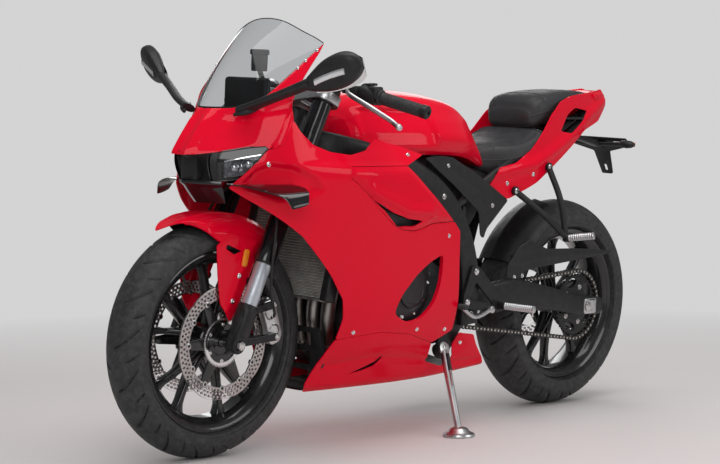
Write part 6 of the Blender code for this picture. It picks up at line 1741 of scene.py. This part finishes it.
GUARD = [(-0.335, 0.404), (-0.395, 0.400), (-0.420, 0.432), (-0.500, 0.440), (-0.660, 0.452),
         (-0.836, 0.466), (-0.838, 0.476), (-0.660, 0.488), (-0.520, 0.492), (-0.440, 0.520),
         (-0.385, 0.500), (-0.340, 0.450)]


def guard_surface(x, z):
    """The chain guard with its ridge."""
    ridge = signed_to([(-0.36, 0.455), (-0.50, 0.468), (-0.80, 0.471)], x, z)
    return 0.1190 + 0.0022 * np.exp(-(ridge / 0.006) ** 2)


def make_hugger():
    piece = Piece("hugger_skin", "frame", "rear_hugger")
    section = arch_section([(0.0, 0.0), (0.045, -0.012), (0.070, -0.032), (0.083, -0.060)])
    rows, inner = [], []
    for i in range(49):
        out = polar(1, math.radians(26 + 46 * i / 48))
        rows.append([REAR_HUB + out * (0.3325 + d) + Vector((0, y, 0)) for y, d in section])
        inner.append([REAR_HUB + out * (0.3290 + d) + Vector((0, y * 0.965, 0))
                      for y, d in section])
    add_shell(piece, rows, inner, "plastic")
    piece.add(skin(rounded(GUARD, 0.008), guard_surface, (), 0.006, 0.0032), "plastic")
    piece.add(box((-0.470, 0.071, 0.462), (-0.405, 0.117, 0.474), 0.003), "plastic")
    piece.add(box((-0.462, -0.124, 0.398), (-0.440, -0.077, 0.447), 0.003), "plastic")
    for x, z in ((-0.408, 0.418), (-0.372, 0.416)):
        piece.add(bolt((x, 0.1190, z), (0, 1, 0), 0.0048, 0.003), "chrome")
    piece.done()


def make_shock():
    piece = Piece("shock_unit", "frame", "rear_shock")
    low, high = Vector((-0.290, 0, 0.345)), Vector((-0.082, 0, 0.578))
    way = (high - low).normalized()
    piece.add(cyl(low, high, 0.011), "steel")
    piece.add(cyl(high - way * 0.070, high, 0.0245, round_=0.003), "satin")
    piece.add(cyl(low, low + way * 0.030, 0.0245, round_=0.003), "satin")
    m, coil = basis(way), []
    length = (high - low).length - 0.100
    for i in range(181):
        a = 2 * math.pi * 7 * (i / 180)
        coil.append(low + way * (0.030 + length * (i / 180))
                    + m @ Vector((math.cos(a), math.sin(a), 0)) * 0.0205)
    piece.add(tube(coil, 0.0050, 10), "plastic")
    piece.done(50)


def make_rear_caliper():
    piece = Piece("rear_caliper_cast", "frame", "rear_caliper")
    centre = REAR_HUB + Vector((0.0915, -0.0875, 0.085))
    turn = Matrix.Translation(centre) @ Matrix.Rotation(math.radians(43), 4, "Y")
    outline = rounded([(-0.030, -0.014), (-0.022, -0.020), (0.024, -0.020), (0.030, -0.012),
                       (0.030, 0.014), (0.020, 0.020), (-0.024, 0.020), (-0.030, 0.012)], 0.006)
    for y in (-0.0140, 0.0140):
        piece.add(moved(flat([outline], 0.016, 0.002), turn @ Matrix.Translation((0, y, 0))),
                  "alloy")
    piece.add(moved(box((0.006, -0.018, -0.018), (0.030, 0.018, 0.018), 0.004), turn), "alloy")
    for x in (-0.010, 0.012):
        piece.add(bolt(turn @ Vector((x, -0.0215, 0)), turn.to_3x3() @ Vector((0, -1, 0)), 0.005,
                       0.003), "steel")
    piece.add(box((-0.600, -0.118, 0.368), (-0.575, -0.094, 0.392), 0.004), "alloy")
    piece.done()


def make_stand():
    piece = Piece("stand_leg", "side_stand", "side_stand")
    foot = Vector((0.018, 0.268, 0.268 * math.tan(LEAN)))
    way = (foot - STAND_PIVOT).normalized()
    up = Vector((0, -math.tan(LEAN), 1)).normalized()
    face = STAND_PIVOT + STAND_AXIS * 0.0042
    piece.add(cyl(STAND_PIVOT - STAND_AXIS * 0.0042, face, 0.0188, round_=0.001), "alloy")
    piece.add(bolt(face, STAND_AXIS, 0.0075, 0.005), "steel")
    piece.add(tube([STAND_PIVOT + way * 0.008, STAND_PIVOT + way * 0.10, foot + up * 0.014],
                   [0.0122, 0.0112, 0.0095], 20), "alloy")
    piece.add(turned([(0.030, 0), (0.042, 0.0005), (0.0438, 0.004), (0.0420, 0.009), (0.030, 0.014),
                      (0.0240, 0.022), (0.012, 0.027), (0, 0.027)], foot, up, 48), "alloy")
    spring = STAND_PIVOT + Vector((0.006, 0.016, 0.000))
    piece.add(tube([spring, spring + way * 0.105], 0.0026, 10), "steel")
    piece.add(cyl(spring + way * 0.012, spring + way * 0.060, 0.0052, round_=0.001), "plastic")
    piece.done()


# Bodywork from tank to tail

TANK = ((0.305, 0.868, 0.800, 0.090, 0.070), (0.275, 0.905, 0.784, 0.126, 0.100),
        (0.210, 0.932, 0.772, 0.150, 0.112), (0.120, 0.940, 0.772, 0.162, 0.116),
        (0.020, 0.936, 0.772, 0.164, 0.110), (-0.080, 0.922, 0.768, 0.150, 0.100),
        (-0.140, 0.902, 0.760, 0.130, 0.088), (-0.190, 0.862, 0.750, 0.106, 0.078),
        (-0.232, 0.812, 0.738, 0.088, 0.066), (-0.252, 0.770, 0.732, 0.078, 0.058))


def make_tank():
    piece = Piece("tank_shell", "frame", "fuel_tank")
    at, rings = along(TANK), []
    for t in np.linspace(0, 1, 121):
        x, top, bottom, low, high = at(t)
        tall = top - bottom
        curve = smooth([(y, z, 0) for y, z in (
            (0.0, top), (0.45 * high, top - 0.02 * tall), (0.85 * high, top - 0.10 * tall),
            (high + 0.2 * (low - high), top - 0.28 * tall), (low, bottom + 0.34 * tall),
            (0.97 * low, bottom + 0.12 * tall), (0.88 * low, bottom))], 7)
        left = []
        for y, z, _ in curve:
            recess = 0.0110 * ramp(x - 0.045 - 0.25 * (z - 0.86), 0.010) * ramp(0.898 - z, 0.012) \
                * ramp(z - 0.790, 0.030) * ramp(y - 0.05, 0.03) * ramp(0.300 - x, 0.03)
            recess = recess - 0.0025 * ramp(0.045 - x, 0.012) * ramp(0.020 - abs(z - 0.862), 0.020)
            left.append((y - float(recess), z))
        rings.append([Vector((x, y, z)) for y, z in left]
                     + [Vector((x, -y, z)) for y, z in reversed(left[1:])])
    piece.add(loft(rings), "red")
    cap, up = Vector((0.165, 0, 0.9335)), Vector((0.03, 0, 1)).normalized()
    piece.add(turned([(0.040, -0.008), (0.040, 0.0015), (0.037, 0.0030), (0.031, 0.0030),
                      (0.030, 0.0015), (0.0, 0.0015)], cap, up, 64), "satin")
    piece.add(turned([(0.0288, 0.0), (0.0288, 0.0040), (0.027, 0.0052), (0.0, 0.0052)], cap, up,
                     48), "alloy")
    for turn in around(6):
        a = turn + 0.3
        piece.add(bolt(cap + Vector((0.034 * math.cos(a), 0.034 * math.sin(a), 0.0028)), up, 0.0028,
                       0.002, False), "steel")
    piece.done(45)


RIDER_SEAT = ((-0.2450, 0.786, 0.716, 0.062), (-0.285, 0.799, 0.706, 0.096),
              (-0.335, 0.802, 0.716, 0.122), (-0.390, 0.810, 0.738, 0.134),
              (-0.440, 0.828, 0.768, 0.132), (-0.478, 0.850, 0.806, 0.116))
PILLION_SEAT = ((-0.458, 0.902, 0.846, 0.074), (-0.485, 0.936, 0.842, 0.098),
                (-0.560, 0.950, 0.862, 0.102), (-0.640, 0.956, 0.892, 0.092),
                (-0.720, 0.956, 0.916, 0.072), (-0.775, 0.953, 0.928, 0.048))


def seat_rings(table, crown, grooves):
    """Cushion sections from (x, top, bottom, half width) rows, with grooves across and a seam."""
    at, rings = along(table), []
    for t in np.linspace(0, 1, 121):
        x, top, bottom, half = at(t)
        ends = min(1.0, 6 * min(t, 1 - t) + 0.55)
        ring = []
        for u, v in squared(56, 0.48, 0.55):
            y = half * u
            z = (top + bottom) / 2 + (top - bottom) / 2 * v * (ends ** 0.5)
            if v > 0:
                z += crown * (1 - u * u) * v
                dip = sum(0.0032 * math.exp(-(((x - g) - 0.10 * abs(y)) / 0.0030) ** 2)
                          for g in grooves)
                seam = 0.0020 * math.exp(-((abs(y) - 0.80 * half) / 0.0022) ** 2)
                z -= (dip + seam) * v
            ring.append(Vector((x, y, z)))
        rings.append(ring)
    return rings


def make_seats():
    for name, node_name, table, crown, grooves in (
            ("rider_pad", "rider_seat", RIDER_SEAT, 0.002, (-0.300,)),
            ("pillion_pad", "pillion_seat", PILLION_SEAT, 0.003, (-0.515, -0.640))):
        piece = Piece(name, "frame", node_name)
        rings = seat_rings(table, crown, grooves)
        piece.add(loft(rings), "seat")
        made = piece.done(70)
        thread = Piece(name + "_stitches", "frame")
        welt = Piece(name + "_welt", "frame")
        for side in (1, -1):
            line, edge = [], []
            for ring in rings[6:-6]:
                half = max(p.y for p in ring)
                top = [p for p in ring if p.z > (ring[14].z + ring[42].z) / 2]
                near = min(top, key=lambda p: abs(p.y - side * 0.84 * half))
                line.append(near + Vector((0, 0, 0.0006)))
                edge.append(max(ring, key=lambda p: side * p.y) + Vector((0, side * -0.0012, 0.0)))
            for p, q in zip(line[::2], line[1::2]):
                if (q - p).length >= 0.0005:
                    thread.add(cyl(p.lerp(q, 0.05), p.lerp(q, 0.85), 0.0007, steps=6,
                                   round_=0.0002), "thread")
            welt.add(tube(edge, 0.0022, 8), "seat")
        thread.done(60)
        welt.done(60)


TAIL_OUTLINE = [(-0.205, 0.647), (-0.311, 0.645), (-0.430, 0.690), (-0.535, 0.745), (-0.630, 0.793),
                (-0.716, 0.841), (-0.821, 0.868), (-0.889, 0.918), (-0.886, 0.942), (-0.857, 0.966),
                (-0.780, 0.956), (-0.700, 0.950), (-0.620, 0.942), (-0.555, 0.925), (-0.500, 0.885),
                (-0.455, 0.835), (-0.400, 0.784), (-0.330, 0.748), (-0.262, 0.735)]
TAIL_HOLE = [(-0.560, 0.838), (-0.600, 0.888), (-0.650, 0.908), (-0.730, 0.900), (-0.690, 0.868),
             (-0.620, 0.832)]
TAIL_XS = (-0.90, -0.83, -0.74, -0.62, -0.52, -0.42, -0.30, -0.18)
TAIL_WIDE = (0.028, 0.054, 0.080, 0.108, 0.128, 0.142, 0.138, 0.128)
TAIL_AT = spline_of(TAIL_XS, np.array([TAIL_WIDE]).T)


def tail_surface(x, z):
    xs = np.clip(np.asarray(x, float), TAIL_XS[0], TAIL_XS[-1])
    wide = np.array([float(TAIL_AT(v)[0]) for v in xs.ravel()]).reshape(xs.shape)
    z = np.asarray(z, float)
    wide = wide - 0.10 * np.maximum(0, z - 0.90) + 0.05 * np.minimum(0, z - 0.75)
    crease = signed_to([(-0.24, 0.715), (-0.42, 0.745), (-0.60, 0.812), (-0.76, 0.890),
                        (-0.87, 0.930)], xs, z)
    return wide + 0.006 * np.exp(-(crease / 0.016) ** 2) - 0.004 * ramp(-crease - 0.004, 0.03)


def make_tail():
    piece = Piece("tail_shell", "frame", "tail_cowl")
    hole = rounded(TAIL_HOLE, 0.010, 5)
    piece.add_both([(skin(rounded(TAIL_OUTLINE, 0.010, 5), tail_surface, [hole], 0.0075), "red")])
    for side in (1, -1):
        rows = []
        for depth in (0.0008, 0.012, 0.024):
            row = [Vector((x, side * (level(tail_surface, x, z) - depth), z))
                   for x, z in densified(hole, 0.006)]
            rows.append(row + [row[0]])
        piece.add(sheet(rows), "plastic")
        for x, z, r in ((-0.408, 0.716, 0.0055), (-0.300, 0.690, 0.005)):
            y = level(tail_surface, x, z) - 0.0005
            piece.add(bolt((x, side * y, z), (0, side, 0), r, 0.003), "chrome")
    deck = along(((-0.780, 0.952, 0.938, 0.066), (-0.830, 0.960, 0.915, 0.052),
                  (-0.872, 0.958, 0.905, 0.036), (-0.884, 0.940, 0.915, 0.030)))
    piece.add(loft([box_ring(*deck(t), 32, 0.5) for t in np.linspace(0, 1, 25)]), "red")
    piece.add(box((-0.700, -0.0935, 0.8725), (-0.480, 0.0935, 0.8795), 0.002), "plastic")
    piece.done()
    lamp = Piece("tail_lamp_glass", "frame", "tail_lamp")
    lamp.add(box((-0.8790, -0.0255, 0.8855), (-0.8455, 0.0255, 0.9040), 0.005, 4), "tail_red")
    lamp.add(box((-0.8790, -0.0240, 0.8935), (-0.8797, 0.0240, 0.8955), 0.0002), "chrome")
    lamp.done(45)


# x, top, bottom and half width
TRAY = ((0.300, 0.800, 0.700, 0.078), (0.200, 0.776, 0.650, 0.104), (0.080, 0.774, 0.620, 0.118),
        (-0.040, 0.768, 0.560, 0.122), (-0.130, 0.756, 0.520, 0.116), (-0.200, 0.738, 0.560, 0.100),
        (-0.262, 0.720, 0.640, 0.088), (-0.300, 0.712, 0.668, 0.080))


def make_inner_panels():
    """Dark moulded trays that close the space under the tank and seat."""
    piece = Piece("inner_trays", "frame")
    piece.add(loft([box_ring(*row, 36, 0.4) for row in TRAY]), "plastic")
    for side in (1, -1):
        for x, z in ((0.02, 0.70), (-0.03, 0.66), (-0.08, 0.62), (-0.13, 0.58)):
            piece.add(box((x - 0.012, side * 0.118 - 0.006, z - 0.05),
                          (x + 0.004, side * 0.118 + 0.006, z + 0.05), 0.002), "plastic")
    guard = [[Vector((x + 0.010 * (1 - (y / 0.08) ** 2), y, z))
              for y in np.linspace(-0.08, 0.08, 13)]
             for x, z in ((-0.262, 0.650), (-0.250, 0.580), (-0.226, 0.500), (-0.196, 0.420),
                          (-0.178, 0.372))]
    piece.add(sheet(guard), "plastic")
    back = [[p + Vector((0.004, 0, 0)) for p in reversed(row)] for row in guard]
    piece.add(sheet(back), "plastic")
    piece.add(cyl((-0.205, -0.072, 0.440), (-0.205, 0.072, 0.440), 0.030, round_=0.004), "satin")
    piece.done()


COVER = [(0.085, 0.765), (0.020, 0.7705), (-0.040, 0.7655), (-0.170, 0.712), (-0.311, 0.641),
         (-0.212, 0.562), (-0.200, 0.536), (-0.186, 0.545), (-0.172, 0.612), (-0.050, 0.690)]


def cover_width(x):
    """How far from the middle the side cover lies."""
    return 0.1545 + 0.0708 * x


def cover_surface(x, z):
    """The side cover with its ridge."""
    ridge = signed_to([(0.08, 0.758), (-0.05, 0.728), (-0.17, 0.668), (-0.205, 0.570)], x, z)
    return cover_width(x) + 0.0022 * np.exp(-(ridge / 0.007) ** 2)


def make_side_covers():
    shape = skin(rounded(COVER, 0.010, 5), cover_surface, (), 0.006, 0.0035)
    for name, side in SIDES:
        piece = Piece("side_panel_" + name, "frame", "side_cover_" + name)
        piece.add(shape if side > 0 else mirrored(shape), "plastic")
        for x, z in ((-0.020, 0.742), (-0.235, 0.628)):
            piece.add(bolt((x, side * (cover_width(x) + 0.0005), z), (0, side, 0), 0.005, 0.003),
                      "steel")
        piece.done()


# x, z and half width
HANGER = ((-0.470, 0.725, 0.060), (-0.560, 0.770, 0.066), (-0.680, 0.830, 0.060),
          (-0.780, 0.862, 0.044), (-0.850, 0.880, 0.030))
HANGER_SECTION = ((-1, -0.6), (-1, 0.6), (-0.96, 1), (-0.5, 1), (0, 1), (0.5, 1), (0.96, 1),
                  (1, 0.6), (1, -0.6), (0.96, -1), (0.5, -1), (0, -1), (-0.5, -1), (-0.96, -1))
PLATE_ARM = ((-0.640, 0.812, 0.020), (-0.720, 0.824, 0.018), (-0.810, 0.812, 0.016),
             (-0.915, 0.790, 0.016))


def make_plate_holder():
    piece = Piece("plate_hanger", "frame", "plate_holder")
    for rows, section, tall, crown in (
            (HANGER, HANGER_SECTION, 0.006, 0.004), (PLATE_ARM, squared(20, 0.5), 0.008, 0.0)):
        at, rings = along(rows), []
        for t in np.linspace(0, 1, 33):
            x, z, half = at(t)
            rings.append([Vector((x, half * u, z + tall * v - crown * (1 - u * u)))
                          for u, v in section])
        piece.add(loft(rings), "plastic")
    face = Matrix.Translation((-0.935, 0, 0.758)) @ Matrix.Rotation(math.radians(27), 4, "Y")
    line = [(-0.105, 0.066), (0.105, 0.066), (0.105, 0.038), (0.030, 0.018), (0.020, -0.062),
            (-0.020, -0.062), (-0.030, 0.018), (-0.105, 0.038)]
    holes = [slot_hole((s * 0.056, 0.050), (s * 0.084, 0.050), 0.0042) for s in (-1, 1)]
    holes.append(slot_hole((0, -0.046), (0, -0.034), 0.0055))
    shape = flat([rounded(line, 0.006), *holes], 0.005, 0.0012)
    piece.add(moved(shape, face @ Matrix.Rotation(math.pi / 2, 4, "Z")), "plastic")
    for side in (1, -1):
        stub = smooth([(-0.895, side * 0.012, 0.795), (-0.890, side * 0.070, 0.798),
                       (-0.888, side * 0.112, 0.800)], 5)
        piece.add(tube(stub, 0.0068, 14), "plastic")
        rings = []
        for y, r in ((0.098, 0.45), (0.104, 0.9), (0.120, 1.0), (0.136, 0.85), (0.146, 0.5),
                     (0.1495, 0.12)):
            rings.append([Vector((-0.888 + r * 0.016 * math.cos(a), side * y,
                                  0.800 + r * 0.0125 * math.sin(a)))
                          for a in around(24)])
        piece.add(loft(rings), "plastic")
        piece.add(box((-0.9045, side * 0.125 - 0.016, 0.7935),
                      (-0.9015, side * 0.125 + 0.016, 0.8065), 0.001), "amber")
    piece.done()


def knurled(start, end, steps, dip):
    """A foot peg with grooves round it."""
    length = (end - start).length
    profile = [(0.0105 - (0 if i % 3 else dip) - (0.003 if i == steps else 0), i / steps * length)
               for i in range(steps + 1)]
    return turned(profile, start, (end - start).normalized(), 16)


def make_footrests():
    outline = rounded([(-0.085, 0.350), (-0.085, 0.380), (-0.118, 0.465), (-0.150, 0.462),
                       (-0.262, 0.362), (-0.262, 0.335), (-0.232, 0.328)], 0.008)
    hole = rounded([(-0.110, 0.374), (-0.135, 0.420), (-0.215, 0.352)], 0.008)
    rider = [(plate([outline, hole], 0.0078, 0.1715, 0.0015), "satin")]
    for x, z in ((-0.135, 0.449), (-0.102, 0.365)):
        rider.append((cyl((x, 0.158, z), (x, 0.175, z), 0.009), "satin"))
        rider.append((bolt((x, 0.1752, z), (0, 1, 0), 0.0070, 0.004), "chrome"))
    a, b = Vector((-0.236, 0.200, 0.350)), Vector((-0.254, 0.292, 0.349))
    way = (b - a).normalized()
    rider += [(knurled(a, b, 45, 0.0016), "alloy"),
              (cyl((-0.243, 0.172, 0.347), a + way * 0.004, 0.0115, round_=0.002), "satin"),
              (cyl(b - way * 0.008, b - way * 0.006 - Vector((0, 0, 0.022)), 0.0028), "steel")]
    pad = [(0.0082 - (0.001 if i % 2 else 0), 0.0015 * i) for i in range(18)]
    pillion = []
    for pts in (((-0.330, 0.1405, 0.668), (-0.420, 0.178, 0.600), (-0.505, 0.196, 0.534)),
                ((-0.480, 0.1395, 0.735), (-0.492, 0.180, 0.640), (-0.505, 0.196, 0.534))):
        root = Vector(pts[0])
        head = root + Vector((0, 0.006, 0))
        pillion += [(tube(smooth(pts, 8), 0.009, 18), "plastic"),
                    (cyl(root - Vector((0, 0.004, 0)), head, 0.0125), "satin"),
                    (bolt(head, (0, 1, 0), 0.0065, 0.004), "chrome")]
    a, b = Vector((-0.508, 0.205, 0.532)), Vector((-0.524, 0.284, 0.545))
    way = (b - a).normalized()
    pillion += [(knurled(a, b, 36, 0.0014), "alloy"),
                (cyl((-0.505, 0.190, 0.532), a + way * 0.003, 0.012, round_=0.002), "satin")]
    for (name, side), tip in zip(SIDES, (0.360, 0.315)):
        lever = smooth([(-0.200, 0.181, 0.340), (-0.120, 0.190, 0.325), (-0.045, 0.200, tip)], 6)
        piece = Piece("footrest_set_" + name, "frame", "footrest_" + name)
        piece.add_all([*rider, (tube(lever, 0.0058, 14), "alloy"),
                       (turned(pad, lever[-1] - Vector((0, 0.004, 0)), (0, 1, 0), 16), "grip"),
                       (cyl((-0.200, 0.172, 0.340), (-0.200, 0.186, 0.340), 0.010), "alloy")], side)
        piece.done()
        step = Piece("pillion_step_" + name, "frame", "pillion_footrest_" + name)
        step.add_all(pillion, side)
        step.done()


def make_exhaust():
    piece = Piece("exhaust_pipes", "frame", "exhaust")
    for y in (0.090, 0.032, -0.032, -0.090):
        path = smooth([(0.318, y, 0.500), (0.342, y * 0.98, 0.430), (0.352, y * 0.9, 0.330),
                       (0.300, y * 0.62 - 0.006, 0.225), (0.140, y * 0.20 - 0.020, 0.205)], 12)
        piece.add(tube(path, 0.0188, 28), "pipe")
        piece.add(turned([(0.019, 0), (0.026, 0.0), (0.027, 0.003), (0.026, 0.008), (0.019, 0.009)],
                         path[0] + Vector((0.002, 0, -0.010)), (0.3, 0, -0.95), 24), "steel")
        for i in (14, 30):
            piece.add(cyl(path[i], path[i + 1], 0.0196, round_=0.0005), "pipe")
    for r, steps, *points in (
            (0.0375, 32, (0.150, -0.020, 0.205), (0.060, -0.046, 0.205), (-0.040, -0.075, 0.205)),
            (0.0255, 28, (-0.030, -0.072, 0.205), (-0.090, -0.118, 0.214),
             (-0.150, -0.172, 0.232))):
        piece.add(tube(smooth(points, 6), r, steps), "pipe")
    low, high = Vector((-0.130, -0.190, 0.225)), Vector((-0.400, -0.215, 0.275))
    way, length = (high - low).normalized(), (high - low).length
    shell = [(0.026, 0.0), (0.040, 0.006), (0.0460, 0.020), (0.0465, 0.040), (0.0445, length * 0.7),
             (0.0425, length - 0.020), (0.0430, length - 0.018), (0.0430, length - 0.004),
             (0.0400, length), (0.0240, length), (0.0225, length - 0.003), (0.0220, length - 0.060),
             (0, length - 0.060)]
    piece.add(turned(shell, low, way, 56), "pipe")
    for t, r in ((0.045, 0.0470), (length - 0.045, 0.0438)):
        piece.add(turned([(r - 0.004, t - 0.006), (r, t - 0.0055), (r, t + 0.0055),
                          (r - 0.004, t + 0.006)], low, way, 56), "satin")
    piece.add(box((-0.262, -0.196, 0.290), (-0.238, -0.160, 0.345), 0.003), "satin")
    piece.done()


def make_radiator():
    piece = Piece("radiator_pack", "frame", "radiator")
    turn = (Matrix.Translation((0.4095, 0, 0.520))
            @ Matrix.Rotation(-math.atan2(0.051, 0.229), 4, "Y"))
    half, count = Vector((0.014, 0.150, 0.122)), 34

    def add_box(low, high, bevel, finish, segments=2):
        piece.add(moved(box(low, high, bevel, segments), turn), finish)

    add_box((-half.x * 0.7, -half.y, -half.z), (half.x * 0.7, half.y, half.z), 0.001, "core")
    for i in range(count):
        z = -half.z + (i + 0.5) * 2 * half.z / count
        add_box((-half.x, -half.y, z - 0.0009), (half.x, half.y, z + 0.0009), 0.0003, "fin")
        z += half.z / count
        if i < count - 1:
            wave = [[(x, -half.y + 2 * half.y * k / 120, z + (0.0020 if k % 2 else -0.0020))
                     for k in range(121)] for x in (0.0128, 0.004)]
            piece.add(moved(sheet(wave), turn), "fin")
    for side in (1, -1):
        add_box((-0.018, side * 0.160 - 0.014, -0.126), (0.018, side * 0.160 + 0.014, 0.126), 0.006,
                "satin", 4)
        piece.add(tube([(0.428, side * 0.152, 0.628), (0.290, side * 0.112, 0.775)], 0.0068, 14),
                  "satin")
    for z in (-0.124, 0.124):
        add_box((-0.015, -0.150, z - 0.003), (0.015, 0.150, z + 0.003), 0.001, "alloy")
    piece.done()


def make_lower_duct():
    piece = Piece("lower_duct_plate", "frame", "lower_duct")
    outline = [(-0.072, 0.150), (0.072, 0.150), (0.099, 0.190), (0.1275, 0.240), (0.100, 0.318),
               (-0.100, 0.318), (-0.1275, 0.240), (-0.099, 0.190)]
    holes = [rounded([(-half, low), (half, low), (half, high), (-half, high)], 0.006)
             for half, low, high in ((0.066, 0.170, 0.205), (0.070, 0.220, 0.255),
                                     (0.072, 0.270, 0.303))]
    shape = flat([rounded(outline, 0.010), *holes], 0.0078, 0.0018)
    turn = Matrix.Translation((0.398, 0, 0)) @ Matrix.Rotation(math.pi / 2, 4, "Z")
    piece.add(moved(shape, turn), "plastic")
    piece.done()


# The whole bike

for make in (make_side_fairings, make_belly, make_cowl, make_cowl_sides, make_screen, make_lamps,
             make_nose, make_winglets, make_mirrors, make_front_wheel, make_rear_wheel, make_chain,
             make_fork, make_yokes, make_bars, make_fender, make_calipers, make_frame, make_engine,
             make_swingarm, make_hugger, make_shock, make_rear_caliper, make_stand, make_tank,
             make_seats, make_tail, make_side_covers, make_inner_panels, make_plate_holder,
             make_footrests, make_exhaust, make_radiator, make_lower_duct):
    make()


# Stage, light and camera

FLOOR_Z = CAD_BOX[0][2]
BACKDROP = (0.655, 0.655, 0.655, 1)
FLOOR_COLOUR = (0.655, 0.620, 0.610, 1)
SKY = (0.97, 0.98, 1.0, 1)
FLOOR_REACH = 30.0
# distances from the middle between which the floor turns into the backdrop
FADE = (1.7, 4.2)


def make_stage():
    """A pale floor that fades into the backdrop for the camera."""
    mesh = bpy.data.meshes.new("studio_floor")
    mesh.from_pydata([(x * FLOOR_REACH, y * FLOOR_REACH, FLOOR_Z)
                      for x, y in ((-1, -1), (1, -1), (1, 1), (-1, 1))], [], [(0, 1, 2, 3)])
    floor = placed("studio_floor", mesh)
    material = bpy.data.materials.new("studio_floor")
    material.use_nodes = True
    tree = material.node_tree
    shader = tree.nodes["Principled BSDF"]
    shader.inputs["Roughness"].default_value = 0.75
    shader.inputs["Specular IOR Level"].default_value = 0.15
    shader.inputs["Base Color"].default_value = FLOOR_COLOUR
    glow = node(tree, "ShaderNodeEmission")
    glow.inputs["Color"].default_value = BACKDROP
    middle = node(tree, "ShaderNodeVectorMath", operation="LENGTH")
    tree.links.new(node(tree, "ShaderNodeNewGeometry").outputs["Position"], middle.inputs[0])
    far = ranged(tree, middle.outputs["Value"], 0.0, 1.0, *FADE)
    rays = node(tree, "ShaderNodeLightPath").outputs
    seen = product(tree, "MULTIPLY", far, rays["Is Camera Ray"])
    tree.links.new(blended(tree, seen, shader.outputs[0], glow.outputs[0]),
                   tree.nodes["Material Output"].inputs["Surface"])
    mesh.materials.append(material)


def background(tree, colour, strength):
    made = node(tree, "ShaderNodeBackground")
    made.inputs["Color"].default_value = colour
    made.inputs["Strength"].default_value = strength
    return made.outputs["Background"]


def make_world():
    """The backdrop for the camera; a softer light for surfaces, dimmer in what they mirror."""
    world = bpy.data.worlds.new("studio")
    bpy.context.scene.world = world
    world.use_nodes = True
    tree = world.node_tree
    tree.nodes.clear()
    rays = node(tree, "ShaderNodeLightPath").outputs
    seen = product(tree, "ADD", rays["Is Camera Ray"], rays["Is Transmission Ray"])
    light = blended(tree, rays["Is Glossy Ray"], background(tree, SKY, 0.42),
                    background(tree, SKY, 0.22))
    tree.links.new(blended(tree, seen, light, background(tree, BACKDROP, 1.0)),
                   node(tree, "ShaderNodeOutputWorld").inputs["Surface"])


def softbox(name, place, target, size, power):
    data = bpy.data.lights.new(name, "AREA")
    data.shape = "RECTANGLE"
    data.size, data.size_y = size
    data.energy = power
    lamp = placed(name, data)
    lamp.location = place
    lamp.rotation_euler = (Vector(target) - Vector(place)).to_track_quat("-Z", "Y").to_euler()


CAMERA_AT = Vector((3.76814512, 3.50130189, 0.74247011)) + SHIFT
CAMERA_AZ, CAMERA_EL, CAMERA_ROLL = 223.79538938, -2.17715211, -0.48832788
CAMERA_LENS = 92.037


def make_camera():
    az, el, roll = (math.radians(v) for v in (CAMERA_AZ, CAMERA_EL, CAMERA_ROLL))
    ahead = Vector((math.cos(el) * math.cos(az), math.cos(el) * math.sin(az), math.sin(el)))
    right = ahead.cross(Vector((0, 0, 1))).normalized()
    up = right.cross(ahead)
    r2 = math.cos(roll) * right + math.sin(roll) * up
    u2 = -math.sin(roll) * right + math.cos(roll) * up
    data = bpy.data.cameras.new("camera")
    data.lens, data.sensor_width = CAMERA_LENS, 36
    camera = placed("camera", data)
    camera.matrix_world = Matrix([(r2[i], u2[i], -ahead[i], CAMERA_AT[i]) for i in range(3)]
                                 + [(0, 0, 0, 1)])
    bpy.context.scene.camera = camera


make_stage()
make_world()
softbox("overhead", (0.3, 0.6, 3.4), (0, 0, 0.5), (3.2, 2.2), 64)
softbox("front_left", (3.0, 2.6, 1.9), (0.1, 0, 0.5), (1.6, 2.2), 36)
softbox("left", (-1.6, 3.4, 1.6), (-0.2, 0, 0.5), (2.4, 1.4), 26)
softbox("rear_right", (-2.6, -2.8, 2.2), (0, 0, 0.6), (2.4, 1.6), 30)
make_camera()
bpy.context.scene.view_settings.view_transform = "Standard"
